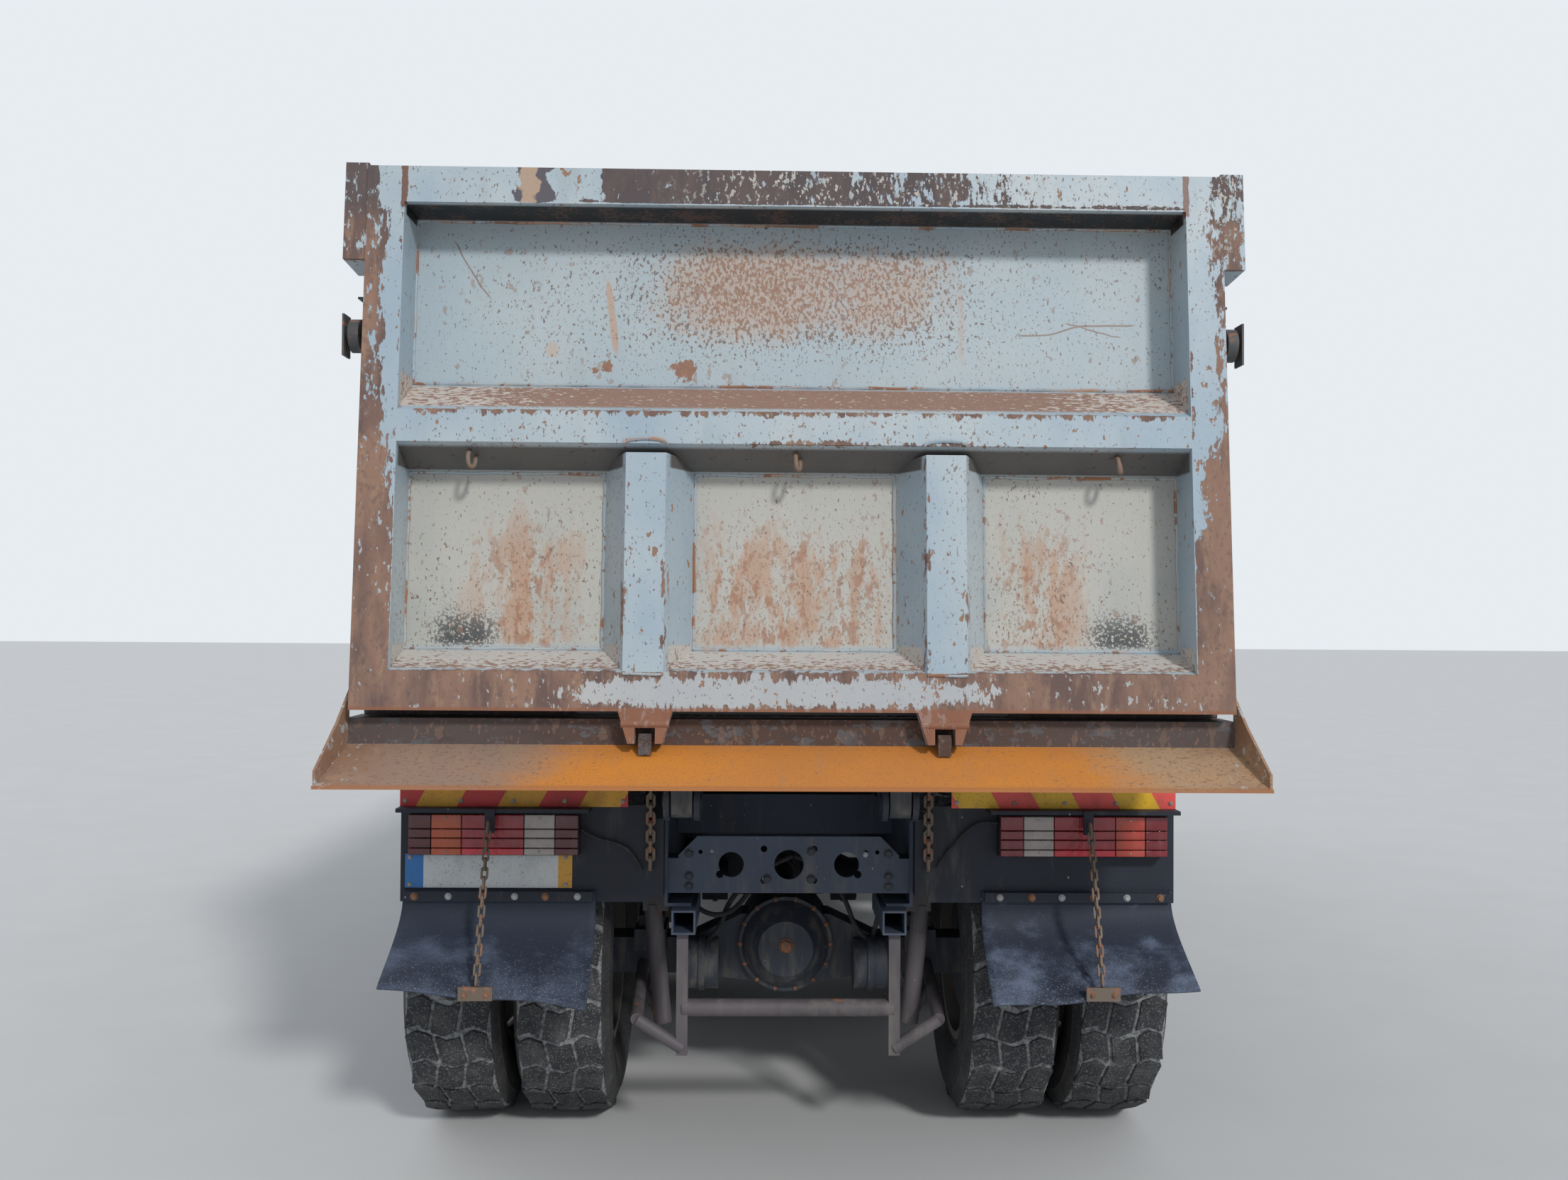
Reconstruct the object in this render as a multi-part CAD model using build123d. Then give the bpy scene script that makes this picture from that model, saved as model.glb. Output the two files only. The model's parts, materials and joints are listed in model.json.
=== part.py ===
from build123d import *

import os
from math import atan2, degrees, hypot, radians, tan

os.makedirs("parts", exist_ok=True)

# An 8x4 dump truck. X points to the truck's right, Y forward, Z up, in millimetres.
# The origin lies on the ground, midway between the chute's lip and the front bumper.

# Along the truck
FRONT_OVERHANG = 1440.0
AXLE_1_TO_2 = 1700.0
AXLE_2_TO_3 = 2800.0
AXLE_3_TO_4 = 1350.0
REAR_OVERHANG = 1207.0
LENGTH = FRONT_OVERHANG + AXLE_1_TO_2 + AXLE_2_TO_3 + AXLE_3_TO_4 + REAR_OVERHANG
FRONT_Y = LENGTH / 2
Y1 = FRONT_Y - FRONT_OVERHANG
Y2 = Y1 - AXLE_1_TO_2
Y3 = Y2 - AXLE_2_TO_3
Y4 = Y3 - AXLE_3_TO_4

# Gaps between pieces
SEAT_GAP = 0.3
RUN_GAP = 0.3

# Wheels and tyres
TYRE_R = 530.0
TYRE_W = 315.0
TREAD_W = 262.0
BEAD_W = 230.0
RIM_R = 286.0
RIM_T = 12.0
FLANGE_R = 302.0
FLANGE_W = 10.0
DISC_T = 14.0
HUB_R = 105.0
DUAL_SPACING = 350.0
FRONT_WHEEL_X = 1020.0
REAR_WHEEL_X = 902.0
SPINDLE_R = 45.0
DRUM_R = 205.0
DRUM_T = 15.0
HAND_HOLE_R = 32.0
HAND_HOLES = 6

# Steering
KINGPIN_X = 800.0
KINGPIN_R = 25.0
EYE_R = 50.0
EYE_H = 110.0
EAR_H = 38.0
STEER_RADIUS = hypot(FRONT_WHEEL_X + TYRE_W / 2 - KINGPIN_X, TYRE_R)

# Chassis frame
FRAME_W = 790.0
FRAME_TOP = 1105.0
RAIL_H = 300.0
RAIL_FLANGE = 85.0
RAIL_T = 10.0
FRAME_REAR_Y = Y4 - 520.0
FRAME_FRONT_Y = FRONT_Y - 240.0
RAIL_X = FRAME_W / 2
RAIL_INNER_X = RAIL_X - RAIL_FLANGE
FRAME_BOTTOM = FRAME_TOP - RAIL_H
REAR_MEMBER_W = 704.0
REAR_MEMBER_H = 180.0
REAR_MEMBER_Z = 936.0
REAR_MEMBER_T = 12.0
COUPLING_HOLE_R = 47.0
SIDE_HOLE_R = 40.0
SIDE_HOLE_X = 184.0
BOLT_HOLE_R = 10.5
LESSER_HOLES = ((282.0, 40.0, 7.0), (246.0, 40.0, 7.0), (220.0, -31.0, 12.0))
BOLT_SPACING_X = 160.0
BOLT_SPACING_Z = 100.0
SOCKET_W = 75.0
SOCKET_T = 6.0
SOCKET_X = 331.0
SOCKET_LENGTH = 370.0
SOCKET_Z = FRAME_BOTTOM - SEAT_GAP - SOCKET_W / 2
SOCKET_REAR_Y = FRAME_REAR_Y - 60.0

# Subframe and the bed's hinge
SUBFRAME_W = 70.0
SUBFRAME_H = 115.0
SUBFRAME_TOP = FRAME_TOP + SUBFRAME_H
SUBFRAME_FRONT_Y = Y1 - 390.0
HINGE_Y = Y4 - 700.0
HINGE_Z = 1165.0
HINGE_PIN_R = 25.0
HINGE_LUG_X = 330.0
HINGE_LUG_W = 64.0
HINGE_LUG_R = 50.0
HINGE_EAR_T = 18.0
HINGE_EAR_R = 58.0
PAD_H = 15.0

# Bed: a half-round tub, closed at the front by a leaning wall
FLOOR_Z = 1455.0
TUB_T = 10.0
BED_TOP = 2990.0
TOP_RAIL_H = 90.0
TOP_RAIL_X = 1240.0
FLOOR_HALF = 610.0
TUB_HALF = 1208.0
CREASE_Z = 2020.0
BED_REAR_Y = Y4 - 915.0
WALL_FOOT_Y = Y1 - 1110.0
WALL_KNEE_Z = 2200.0
WALL_LEAN = 150.0
WALL_T = 10.0
RUNNER_W = 70.0
RUNNER_X = HINGE_LUG_X
BEARER_H = 130.0
BEARER_W = 80.0
SIDE_RAIL_X = 1250.0
SIDE_RAIL_TOP_Z = 1530.0
SIDE_RAIL_BOTTOM_Z = 1392.0
SIDE_RAIL_T = 8.0
POST_X = 1228.0
POST_LENGTH = 300.0
POST_TOP = BED_TOP - 40.0
BOLSTER_Y = Y4 - 1027.0
BOLSTER_BOTTOM = 1368.0
BOLSTER_TOP = 1440.0

# Tailgate, hung at the top and leaning forward
GATE_HALF = 1220.0
GATE_BOTTOM_Z = 1466.0
GATE_FOOT_Y = Y4 - 1087.0
GATE_LEAN = 4.36
GATE_RISE = 16.0
GATE_H = BED_TOP + GATE_RISE - GATE_BOTTOM_Z
GATE_T = 158.0
GATE_SHEET = 8.0
GATE_POST_W = 106.0
GATE_BEAM_H = 105.0
GATE_PIN_Y = Y4 - 620.0
GATE_PIN_Z = BED_TOP - 60.0
GATE_PIN_R = 20.0
GATE_ARM_X0 = 1256.0
GATE_ARM_X1 = 1284.0

# Chute under the gate
LIP_Z = 1274.0
CREASE_HALF = POST_X + 17.0
LIP_HALF = CREASE_HALF + 30.0
CHUTE_T = 8.0
CHUTE_SIDE_TOP = 1610.0

# Hoist
HOIST_FOOT_Y = Y1 - 610.0
HOIST_FOOT_Z = 980.0
HOIST_EYE_Y = Y1 - 630.0
HOIST_EYE_Z = 2450.0
HOIST_BASE_R = 95.0
HOIST_STEP = 13.0
HOIST_STAGES = 4
HOIST_NECK = 98.0
HOIST_HEAD_R = 50.0
HOIST_EAR_X = 75.0
HOIST_EAR_T = 20.0
TRUNNION_R = 30.0
TRUNNION_X = 165.0

# Cab
CAB_FRONT_Y = FRONT_Y - 20.0
CAB_REAR_Y = Y1 - 300.0
CAB_HALF = 1150.0
CAB_FLOOR = 1160.0
CAB_ROOF = 3010.0
CAB_WAIST = 1960.0
CAB_T = 45.0
CAB_CORNER_R = 260.0
CAB_SKIRT_Z = 940.0
CAB_SKIRT_T = 40.0
CAB_TUMBLEHOME = 45.0
GLASS_DEPTH = 18.0
GLASS_T = 6.0
TUNNEL_HALF = 420.0
TUNNEL_TOP = 1500.0
TILT_Y = FRONT_Y - 150.0
TILT_Z = 750.0
TILT_PIN_R = 25.0
TILT_ARM_X = 460.0
TILT_ARM_T = 40.0
DOOR_FRONT_Y = CAB_FRONT_Y - 300.0
DOOR_REAR_Y = DOOR_FRONT_Y - 950.0
DOOR_SILL = 1215.0
DOOR_TOP = CAB_ROOF - 210.0
DOOR_GAP = 10.0
DOOR_PIN_R = 6.0
DOOR_BARREL_R = 12.0
DOOR_BARREL_H = 60.0
DOOR_EAR_T = 14.0
DOOR_LEAF_X = CAB_HALF + 8.0
DOOR_PIN_X = CAB_HALF + DOOR_BARREL_R + 1
DOOR_PIN_Y = DOOR_FRONT_Y - DOOR_GAP
DOOR_HINGES = (1400.0, 1850.0)
WINDOW_SILL = 2030.0
WINDOW_TOP = DOOR_TOP - 80.0
BUMPER_TOP = 880.0
BUMPER_BOTTOM = 400.0
BUMPER_T = 30.0
STEP_X = 800.0
STEP_Y0 = Y1 + STEER_RADIUS + 15
STEP_Y1 = FRONT_Y - 262.0
STEP_BRACKETS = (FRONT_Y - 680.0, FRONT_Y - 330.0)

# Rear lamps, brackets and flaps
BRACKET_Y = Y4 - 570.0
BRACKET_X0 = 436.0
BRACKET_X1 = 1215.0
BRACKET_Z0 = 830.0
BRACKET_Z1 = 1120.0
BRACKET_T = 8.0
LAMP_X0 = 654.0
LAMP_X1 = 1178.0
LAMP_Z0 = 981.0
LAMP_Z1 = 1115.0
LAMP_DEPTH = 60.0
FLAP_X0 = 612.0
FLAP_X1 = 1200.0
FLAP_T = 8.0
FLAP_FOOT_Z = 600.0


def block(x0, x1, y0, y1, z0, z1):
    """A box between its low and high limits."""
    middle = Pos((x0 + x1) / 2, (y0 + y1) / 2, (z0 + z1) / 2)
    return middle * Box(x1 - x0, y1 - y0, z1 - z0)


def prism_x(points, x0, x1):
    """A side outline of (y, z) points, extruded across the truck."""
    face = Plane.YZ * make_face(Polyline(*points, close=True))
    return Pos(x0, 0, 0) * extrude(face, x1 - x0)


def prism_y(points, y0, y1):
    """A rear outline of (x, z) points, extruded along the truck."""
    face = Plane.XZ * make_face(Polyline(*points, close=True))
    return Pos(0, y1, 0) * extrude(face, y1 - y0)


def prism_z(points, z0, z1):
    """A plan outline of (x, y) points, extruded upwards."""
    face = make_face(Polyline(*points, close=True))
    return Pos(0, 0, z0) * extrude(face, z1 - z0)


def rod_x(y, z, radius, x0, x1):
    turn = Pos(x0, y, z) * Rot(0, 90, 0)
    return turn * Cylinder(radius, x1 - x0, align=(Align.CENTER, Align.CENTER, Align.MIN))


def rod_y(x, z, radius, y0, y1):
    turn = Pos(x, y0, z) * Rot(-90, 0, 0)
    return turn * Cylinder(radius, y1 - y0, align=(Align.CENTER, Align.CENTER, Align.MIN))


def rod_z(x, y, radius, z0, z1):
    return Pos(x, y, z0) * Cylinder(radius, z1 - z0, align=(Align.CENTER, Align.CENTER, Align.MIN))


def rod_between(start, end, radius):
    """A round bar from one point to another."""
    start = Vector(*start)
    run = Vector(*end) - start
    plane = Plane(origin=start, z_dir=run.normalized())
    return plane * Cylinder(radius, run.length, align=(Align.CENTER, Align.CENTER, Align.MIN))


def turned(points):
    """A profile of (x, radius) points, turned about the X axis."""
    return revolve(make_face(Polyline(*points, close=True)), Axis.X, 360)


def mirrored(shape):
    return mirror(shape, Plane.YZ)


def pair(shape):
    """A right-hand shape and its left-hand mirror image."""
    return [shape, mirrored(shape)]


def symmetric(points):
    """Right-hand points of a rear outline, top to bottom, closed by their mirror image."""
    return points + [(-x, z) for x, z in reversed(points)]


def fused(shapes):
    whole = shapes[0]
    for shape in shapes[1:]:
        whole = whole + shape
    return whole


def save(name, *shapes):
    """Write the solids of one piece as parts/NAME.step."""
    solids = []
    for shape in shapes:
        solids += shape.solids()
    piece = solids[0] if len(solids) == 1 else Compound(solids)
    piece.label = name
    export_step(piece, f"parts/{name}.step")


# Wheels: each tyre is a solid ring, each rim is one turned piece with its hub and brake drum
def tyre(x_centre):
    half = [
        (BEAD_W / 2, RIM_R + SEAT_GAP),
        (BEAD_W / 2, FLANGE_R + 6),
        (TYRE_W / 2, RIM_R + 115),
        (TYRE_W / 2, TYRE_R - 90),
        (TREAD_W / 2 + 6, TYRE_R - 12),
        (TREAD_W / 2 - 8, TYRE_R),
    ]
    points = symmetric(half)
    return Pos(x_centre, 0, 0) * turned(points)


def rim_barrel(x_centre):
    inner = RIM_R - RIM_T
    edge = BEAD_W / 2 + SEAT_GAP
    half = [(edge, RIM_R), (edge, FLANGE_R), (edge + FLANGE_W, FLANGE_R), (edge + FLANGE_W, inner)]
    points = symmetric(half)
    return Pos(x_centre, 0, 0) * turned(points)


def rim_disc(x_barrel, x_hub, x_bolts):
    """A dished disc from the barrel at x_barrel to the hub's flange at x_hub."""
    inner = RIM_R - RIM_T + 1
    disc = turned(
        [
            (x_barrel - DISC_T, inner),
            (x_barrel, inner),
            (x_hub + DISC_T / 2, x_bolts),
            (x_hub + DISC_T / 2, HUB_R - 5),
            (x_hub - DISC_T / 2, HUB_R - 5),
            (x_hub - DISC_T / 2, x_bolts),
        ]
    )
    hole_r = (inner + x_bolts) / 2
    holes = [
        Rot(360 / HAND_HOLES * i, 0, 0) * rod_x(hole_r, 0, HAND_HOLE_R, x_barrel - 300, x_barrel + 300)
        for i in range(HAND_HOLES)
    ]
    return disc - holes


def hub_and_drum(x_inner, x_outer, x_drum0, x_drum1, bore_end):
    hub = turned(
        [
            (x_inner, SPINDLE_R + RUN_GAP),
            (x_inner, HUB_R - 25),
            (x_drum1 - DRUM_T, HUB_R - 25),
            (x_drum1 - DRUM_T, DRUM_R - DRUM_T),
            (x_drum0, DRUM_R - DRUM_T),
            (x_drum0, DRUM_R),
            (x_drum1, DRUM_R),
            (x_drum1, HUB_R),
            (x_outer - 15, HUB_R),
            (x_outer, HUB_R - 15),
            (x_outer, 0),
            (bore_end, 0),
            (bore_end, SPINDLE_R + RUN_GAP),
        ]
    )
    return hub


BOLT_CIRCLE_EDGE = 185.0
FRONT_DISC_X = 80.0
FRONT_HUB_OUTER = FRONT_DISC_X + 65.0
FRONT_DRUM_X0 = -BEAD_W / 2 + 5
FRONT_DRUM_X1 = 10.0
REAR_HUB_OUTER = DUAL_SPACING / 2 - 15
REAR_DRUM_X0 = -DUAL_SPACING / 2 - 70
REAR_DRUM_X1 = -45.0
SPINDLE_END_FRONT = FRONT_DISC_X
SPINDLE_END_REAR = 60.0

front_rim = fused(
    [
        rim_barrel(0),
        rim_disc(20, FRONT_DISC_X, BOLT_CIRCLE_EDGE),
        hub_and_drum(FRONT_DRUM_X0 - 3, FRONT_HUB_OUTER, FRONT_DRUM_X0, FRONT_DRUM_X1, SPINDLE_END_FRONT + 5),
    ]
)
DUAL_EDGE = DUAL_SPACING / 2 - BEAD_W / 2
rear_rims = fused(
    [
        rim_barrel(DUAL_SPACING / 2),
        rim_barrel(-DUAL_SPACING / 2),
        rim_disc(DUAL_EDGE + 30, DISC_T / 2, BOLT_CIRCLE_EDGE + 20),
        mirrored(rim_disc(DUAL_EDGE + 30, DISC_T / 2, BOLT_CIRCLE_EDGE + 20)),
        hub_and_drum(REAR_DRUM_X0 - 3, REAR_HUB_OUTER, REAR_DRUM_X0, REAR_DRUM_X1, SPINDLE_END_REAR + 5),
    ]
)

# Each wheel: axle number, place along the truck, distance of its middle from the centre line, twin or not
WHEELS = [
    (1, Y1, FRONT_WHEEL_X, False),
    (2, Y2, FRONT_WHEEL_X, False),
    (3, Y3, REAR_WHEEL_X, True),
    (4, Y4, REAR_WHEEL_X, True),
]
for axle, y, x, twin in WHEELS:
    place = Pos(x, y, TYRE_R)
    tyre_places = (-DUAL_SPACING / 2, DUAL_SPACING / 2) if twin else (0.0,)
    tyres = [place * tyre(shift) for shift in tyre_places]
    rim = place * (rear_rims if twin else front_rim)
    save(f"tyre_{axle}_right", *tyres)
    save(f"tyre_{axle}_left", *[mirrored(t) for t in tyres])
    save(f"rim_{axle}_right", rim)
    save(f"rim_{axle}_left", mirrored(rim))


# Steering knuckle: two ears on a kingpin, a web, a backplate and the wheel's spindle
def knuckle():
    half_eye = EYE_H / 2
    ear_end = EYE_R + 8
    web_end = ear_end + 30
    top = half_eye + RUN_GAP
    pin = rod_z(0, 0, KINGPIN_R, -top - EAR_H, top + EAR_H)
    ears = []
    for z0 in (top, -top - EAR_H):
        ears.append(rod_z(0, 0, EYE_R, z0, z0 + EAR_H))
        ears.append(block(0, web_end, -EYE_R, EYE_R, z0, z0 + EAR_H))
    web = block(ear_end, web_end, -EYE_R, EYE_R, -top - EAR_H, top + EAR_H)
    plate = rod_x(0, 0, DRUM_R - 5, web_end, web_end + 8)
    spindle = rod_x(0, 0, SPINDLE_R, web_end, FRONT_WHEEL_X - KINGPIN_X + SPINDLE_END_FRONT)
    return fused([pin] + ears + [web, plate, spindle])


for axle, y in ((1, Y1), (2, Y2)):
    right = Pos(KINGPIN_X, y, TYRE_R) * knuckle()
    save(f"knuckle_{axle}_right", right)
    save(f"knuckle_{axle}_left", mirrored(right))


# Front axles: dropped beams with an eye for each kingpin and seats for the springs
SPRING_X = 400.0
SPRING_W = 80.0
BEAM_DEPTH = 100.0
FRONT_DROP = 110.0
FRONT_SPRING_SEAT = 560.0


def front_axle(y):
    upper = TYRE_R + 45
    lower = TYRE_R - 45
    neck = KINGPIN_X - EYE_R + 5
    outline = symmetric(
        [
            (SPRING_X + 60, upper - FRONT_DROP),
            (SPRING_X + 170, upper - FRONT_DROP + 20),
            (neck, upper),
            (neck, lower),
            (SPRING_X + 170, lower - FRONT_DROP + 30),
            (SPRING_X + 60, lower - FRONT_DROP + 20),
        ]
    )
    beam = prism_y(outline, y - BEAM_DEPTH / 2, y + BEAM_DEPTH / 2)
    solids = [beam]
    for side in (1, -1):
        eye = rod_z(side * KINGPIN_X, y, EYE_R, TYRE_R - EYE_H / 2, TYRE_R + EYE_H / 2)
        solids.append(eye)
        seat_x = side * SPRING_X
        solids.append(
            block(
                seat_x - SPRING_W / 2,
                seat_x + SPRING_W / 2,
                y - 90,
                y + 90,
                upper - FRONT_DROP - 40,
                FRONT_SPRING_SEAT,
            )
        )
    axle = fused(solids)
    for side in (1, -1):
        axle = axle - rod_z(side * KINGPIN_X, y, KINGPIN_R + RUN_GAP, 0, 2 * TYRE_R)
    return axle


save("front_axles", front_axle(Y1), front_axle(Y2))

# Driven axles: banjo housings with a bowl in the middle, backplates and spindles at the ends
BANJO_R = 165.0
BANJO_Z = 575.0
HOUSING_END = REAR_WHEEL_X + REAR_DRUM_X0 - 18
REAR_SPRING_X = 475.0
CHAMBER_R = 86.0
CHAMBER_BAND_R = 93.0
CHAMBER_X0 = 232.0
CHAMBER_X1 = 345.0
REAR_SPRING_W = 90.0
REAR_SEAT_Z = 625.0


def driven_axle(y):
    arm_h = 62.0
    outline = symmetric(
        [
            (BANJO_R - 10, BANJO_Z + 100),
            (330, TYRE_R + arm_h),
            (HOUSING_END, TYRE_R + arm_h),
            (HOUSING_END, TYRE_R - arm_h),
            (330, TYRE_R - arm_h),
            (BANJO_R - 10, BANJO_Z - 130),
        ]
    )
    arms = prism_y(outline, y - 65, y + 65)
    bowl = rod_y(0, BANJO_Z, BANJO_R, y - 90, y + 190)
    cover = Pos(0, y - 90, BANJO_Z) * Rot(90, 0, 0) * Cone(
        BANJO_R - 12, 95, 70, align=(Align.CENTER, Align.CENTER, Align.MIN)
    )
    nose = rod_y(0, BANJO_Z + 20, 85, y + 190, y + 300)
    solids = [arms, bowl, cover, nose]
    chamber_y = y - 65 - CHAMBER_BAND_R
    chamber_x = (CHAMBER_X0 + CHAMBER_X1) / 2
    chamber = rod_x(chamber_y, TYRE_R, CHAMBER_R, CHAMBER_X0, CHAMBER_X1)
    band = rod_x(chamber_y, TYRE_R, CHAMBER_BAND_R, chamber_x - 10, chamber_x + 10)
    foot = block(CHAMBER_X0 + 20, CHAMBER_X1 - 10, chamber_y, y - 64, TYRE_R - 45, TYRE_R + 45)
    solids += pair(fused([chamber, band, foot]))
    for side in (1, -1):
        plate = rod_x(y, TYRE_R, DRUM_R - 5, HOUSING_END - 10, HOUSING_END)
        spindle = rod_x(y, TYRE_R, SPINDLE_R, HOUSING_END - 1, REAR_WHEEL_X + SPINDLE_END_REAR)
        seat = block(
            REAR_SPRING_X - 55, REAR_SPRING_X + 55, y - 90, y + 90, TYRE_R + 20, REAR_SEAT_Z
        )
        end = fused([plate, spindle, seat])
        solids.append(end if side == 1 else mirrored(end))
    return fused(solids)


save("rear_axles", driven_axle(Y3), driven_axle(Y4))


# Springs: leaf packs as arcs, the front pair under each steered axle and one pack per side at the rear
def leaf_pack(x, width, y, half_length, z_middle, z_end, thickness):
    """An arched pack whose middle lies at z_middle and whose ends lie at z_end."""
    lower = ThreePointArc((y - half_length, z_end), (y, z_middle), (y + half_length, z_end))
    grow = thickness
    upper = ThreePointArc(
        (y - half_length, z_end + grow / 3), (y, z_middle + grow), (y + half_length, z_end + grow / 3)
    )
    face = Plane.YZ * make_face(
        [
            lower,
            Line(lower @ 1, upper @ 1),
            upper,
            Line(upper @ 0, lower @ 0),
        ]
    )
    return Pos(x - width / 2, 0, 0) * extrude(face, width)


FRONT_LEAF_HALF = 720.0
FRONT_LEAF_T = 66.0
REAR_LEAF_HALF = AXLE_3_TO_4 / 2 + 40
BOGIE_Y = (Y3 + Y4) / 2
springs = []
for y in (Y1, Y2):
    pack = leaf_pack(
        SPRING_X, SPRING_W, y, FRONT_LEAF_HALF, FRONT_SPRING_SEAT + SEAT_GAP, 690, FRONT_LEAF_T
    )
    for end in (-1, 1):
        hanger_y = y + end * (FRONT_LEAF_HALF - 20)
        hanger = block(
            SPRING_X - 45, SPRING_X + 45, hanger_y - 30, hanger_y + 30, 690, FRAME_BOTTOM - SEAT_GAP
        )
        pack = pack + hanger
    springs += pair(pack)
REAR_LEAF_Z = 700.0
rear_pack = leaf_pack(
    REAR_SPRING_X, REAR_SPRING_W, BOGIE_Y, REAR_LEAF_HALF, REAR_LEAF_Z, REAR_SEAT_Z + SEAT_GAP, 110
)
trunnion = prism_x(
    [
        (BOGIE_Y - 120, REAR_LEAF_Z + 10),
        (BOGIE_Y - 60, 480),
        (BOGIE_Y + 60, 480),
        (BOGIE_Y + 120, REAR_LEAF_Z + 10),
    ],
    REAR_SPRING_X - 50,
    REAR_SPRING_X + 50,
)
stool = prism_x(
    [
        (BOGIE_Y - 220, FRAME_TOP - 60),
        (BOGIE_Y - 220, FRAME_BOTTOM),
        (BOGIE_Y - 70, 500),
        (BOGIE_Y + 70, 500),
        (BOGIE_Y + 220, FRAME_BOTTOM),
        (BOGIE_Y + 220, FRAME_TOP - 60),
    ],
    RAIL_X + SEAT_GAP,
    REAR_SPRING_X - 49,
)
springs += pair(fused([rear_pack, trunnion, stool]))
save("leaf_springs", *springs)


# Chassis frame: two channel rails, crossmembers, rear sockets and the brackets that carry the side gear
def rail():
    outline = [
        (RAIL_X, FRAME_BOTTOM),
        (RAIL_X, FRAME_TOP),
        (RAIL_INNER_X, FRAME_TOP),
        (RAIL_INNER_X, FRAME_TOP - RAIL_T),
        (RAIL_X - RAIL_T, FRAME_TOP - RAIL_T),
        (RAIL_X - RAIL_T, FRAME_BOTTOM + RAIL_T),
        (RAIL_INNER_X, FRAME_BOTTOM + RAIL_T),
        (RAIL_INNER_X, FRAME_BOTTOM),
    ]
    return prism_y(outline, FRAME_REAR_Y, FRAME_FRONT_Y)


def rear_member():
    """The plate between the rail ends, with a coupling hole, four bolt holes and lesser ones beside them."""
    half = REAR_MEMBER_W / 2
    z0 = REAR_MEMBER_Z - REAR_MEMBER_H / 2
    z1 = REAR_MEMBER_Z + REAR_MEMBER_H / 2
    outline = [(-half, z0), (half, z0), (half, z1 - 60), (half - 60, z1), (60 - half, z1), (-half, z1 - 60)]
    y1 = FRAME_REAR_Y + REAR_MEMBER_T + 8
    plate = prism_y(outline, y1 - REAR_MEMBER_T, y1)
    cuts = [rod_y(0, REAR_MEMBER_Z, COUPLING_HOLE_R, y1 - 50, y1 + 50)]
    for side in (1, -1):
        cuts.append(rod_y(side * SIDE_HOLE_X, REAR_MEMBER_Z, SIDE_HOLE_R, y1 - 50, y1 + 50))
        for rise in (1, -1):
            x = side * BOLT_SPACING_X / 2
            z = REAR_MEMBER_Z + rise * BOLT_SPACING_Z / 2
            cuts.append(rod_y(x, z, BOLT_HOLE_R, y1 - 50, y1 + 50))
        for x, z, radius in LESSER_HOLES:
            cuts.append(rod_y(side * x, REAR_MEMBER_Z + z, radius, y1 - 50, y1 + 50))
    plate = plate - cuts
    ties = []
    for side in (1, -1):
        low = min(side * (half - 1), side * (RAIL_X - RAIL_T - SEAT_GAP))
        high = max(side * (half - 1), side * (RAIL_X - RAIL_T - SEAT_GAP))
        ties.append(block(low, high, y1 - REAR_MEMBER_T, y1 + 80, z0, z1 - 70))
    return fused([plate] + ties)


def socket():
    """A square tube under the rail, open to the rear."""
    half = SOCKET_W / 2
    bore = half - SOCKET_T
    z = SOCKET_Z
    y0 = SOCKET_REAR_Y
    tube = block(SOCKET_X - half, SOCKET_X + half, y0, y0 + SOCKET_LENGTH, z - half, z + half)
    hollow = block(SOCKET_X - bore, SOCKET_X + bore, y0 - 1, y0 + SOCKET_LENGTH - 8, z - bore, z + bore)
    return tube - hollow


FRONT_MEMBER_Z = FRAME_BOTTOM + RAIL_T + 2

# Crossmembers: place along the truck, lower and upper limits, length along the truck
CROSSMEMBERS = [
    (Y4 + 60, FRAME_TOP - 160, FRAME_TOP - 20, 90),
    (BOGIE_Y, FRAME_BOTTOM + 20, FRAME_TOP - 20, 160),
    (Y3 + 620, FRAME_TOP - 160, FRAME_TOP - 20, 90),
    (Y2 - 620, FRAME_TOP - 160, FRAME_TOP - 20, 90),
    (Y2 + 500, FRAME_TOP - 100, FRAME_TOP - 20, 90),
    (FRAME_FRONT_Y - 45, FRONT_MEMBER_Z, FRAME_TOP - 30, 90),
]

# Side brackets: side (1 right, -1 left), place along the truck, reach from the centre line, lower limit
TANK_X = 500.0
SIDE_BRACKETS = [
    (1, Y3 + 800, TANK_X, 700),
    (1, Y3 + 1180, TANK_X, 560),
    (1, Y3 + 1930, TANK_X, 560),
    (-1, Y3 + 800, TANK_X, 560),
    (-1, Y3 + 1350, TANK_X, 560),
    (-1, Y3 + 1750, TANK_X, 620),
    (-1, Y3 + 2060, TANK_X, 620),
]
frame_solids = [*pair(rail()), rear_member(), *pair(socket())]
for y, z0, z1, length in CROSSMEMBERS:
    reach = RAIL_X - RAIL_T - SEAT_GAP
    frame_solids.append(block(-reach, reach, y - length / 2, y + length / 2, z0, z1))
rail_side = RAIL_X + SEAT_GAP
for side, y, reach, z0 in SIDE_BRACKETS:
    reach = reach - SEAT_GAP
    outline = [
        (rail_side, z0),
        (reach, z0),
        (reach, z0 + 60),
        (RAIL_X + 30, FRAME_TOP - 60),
        (rail_side, FRAME_TOP - 60),
    ]
    bracket = prism_y(outline, y - BRACKET_T, y + BRACKET_T)
    frame_solids.append(bracket if side == 1 else mirrored(bracket))
step_arms = [
    block(rail_side, STEP_X - SEAT_GAP, y - 25, y + 25, FRAME_BOTTOM + 10, FRAME_BOTTOM + 60)
    for y in STEP_BRACKETS
]
frame_solids += pair(step_arms[0])
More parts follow.
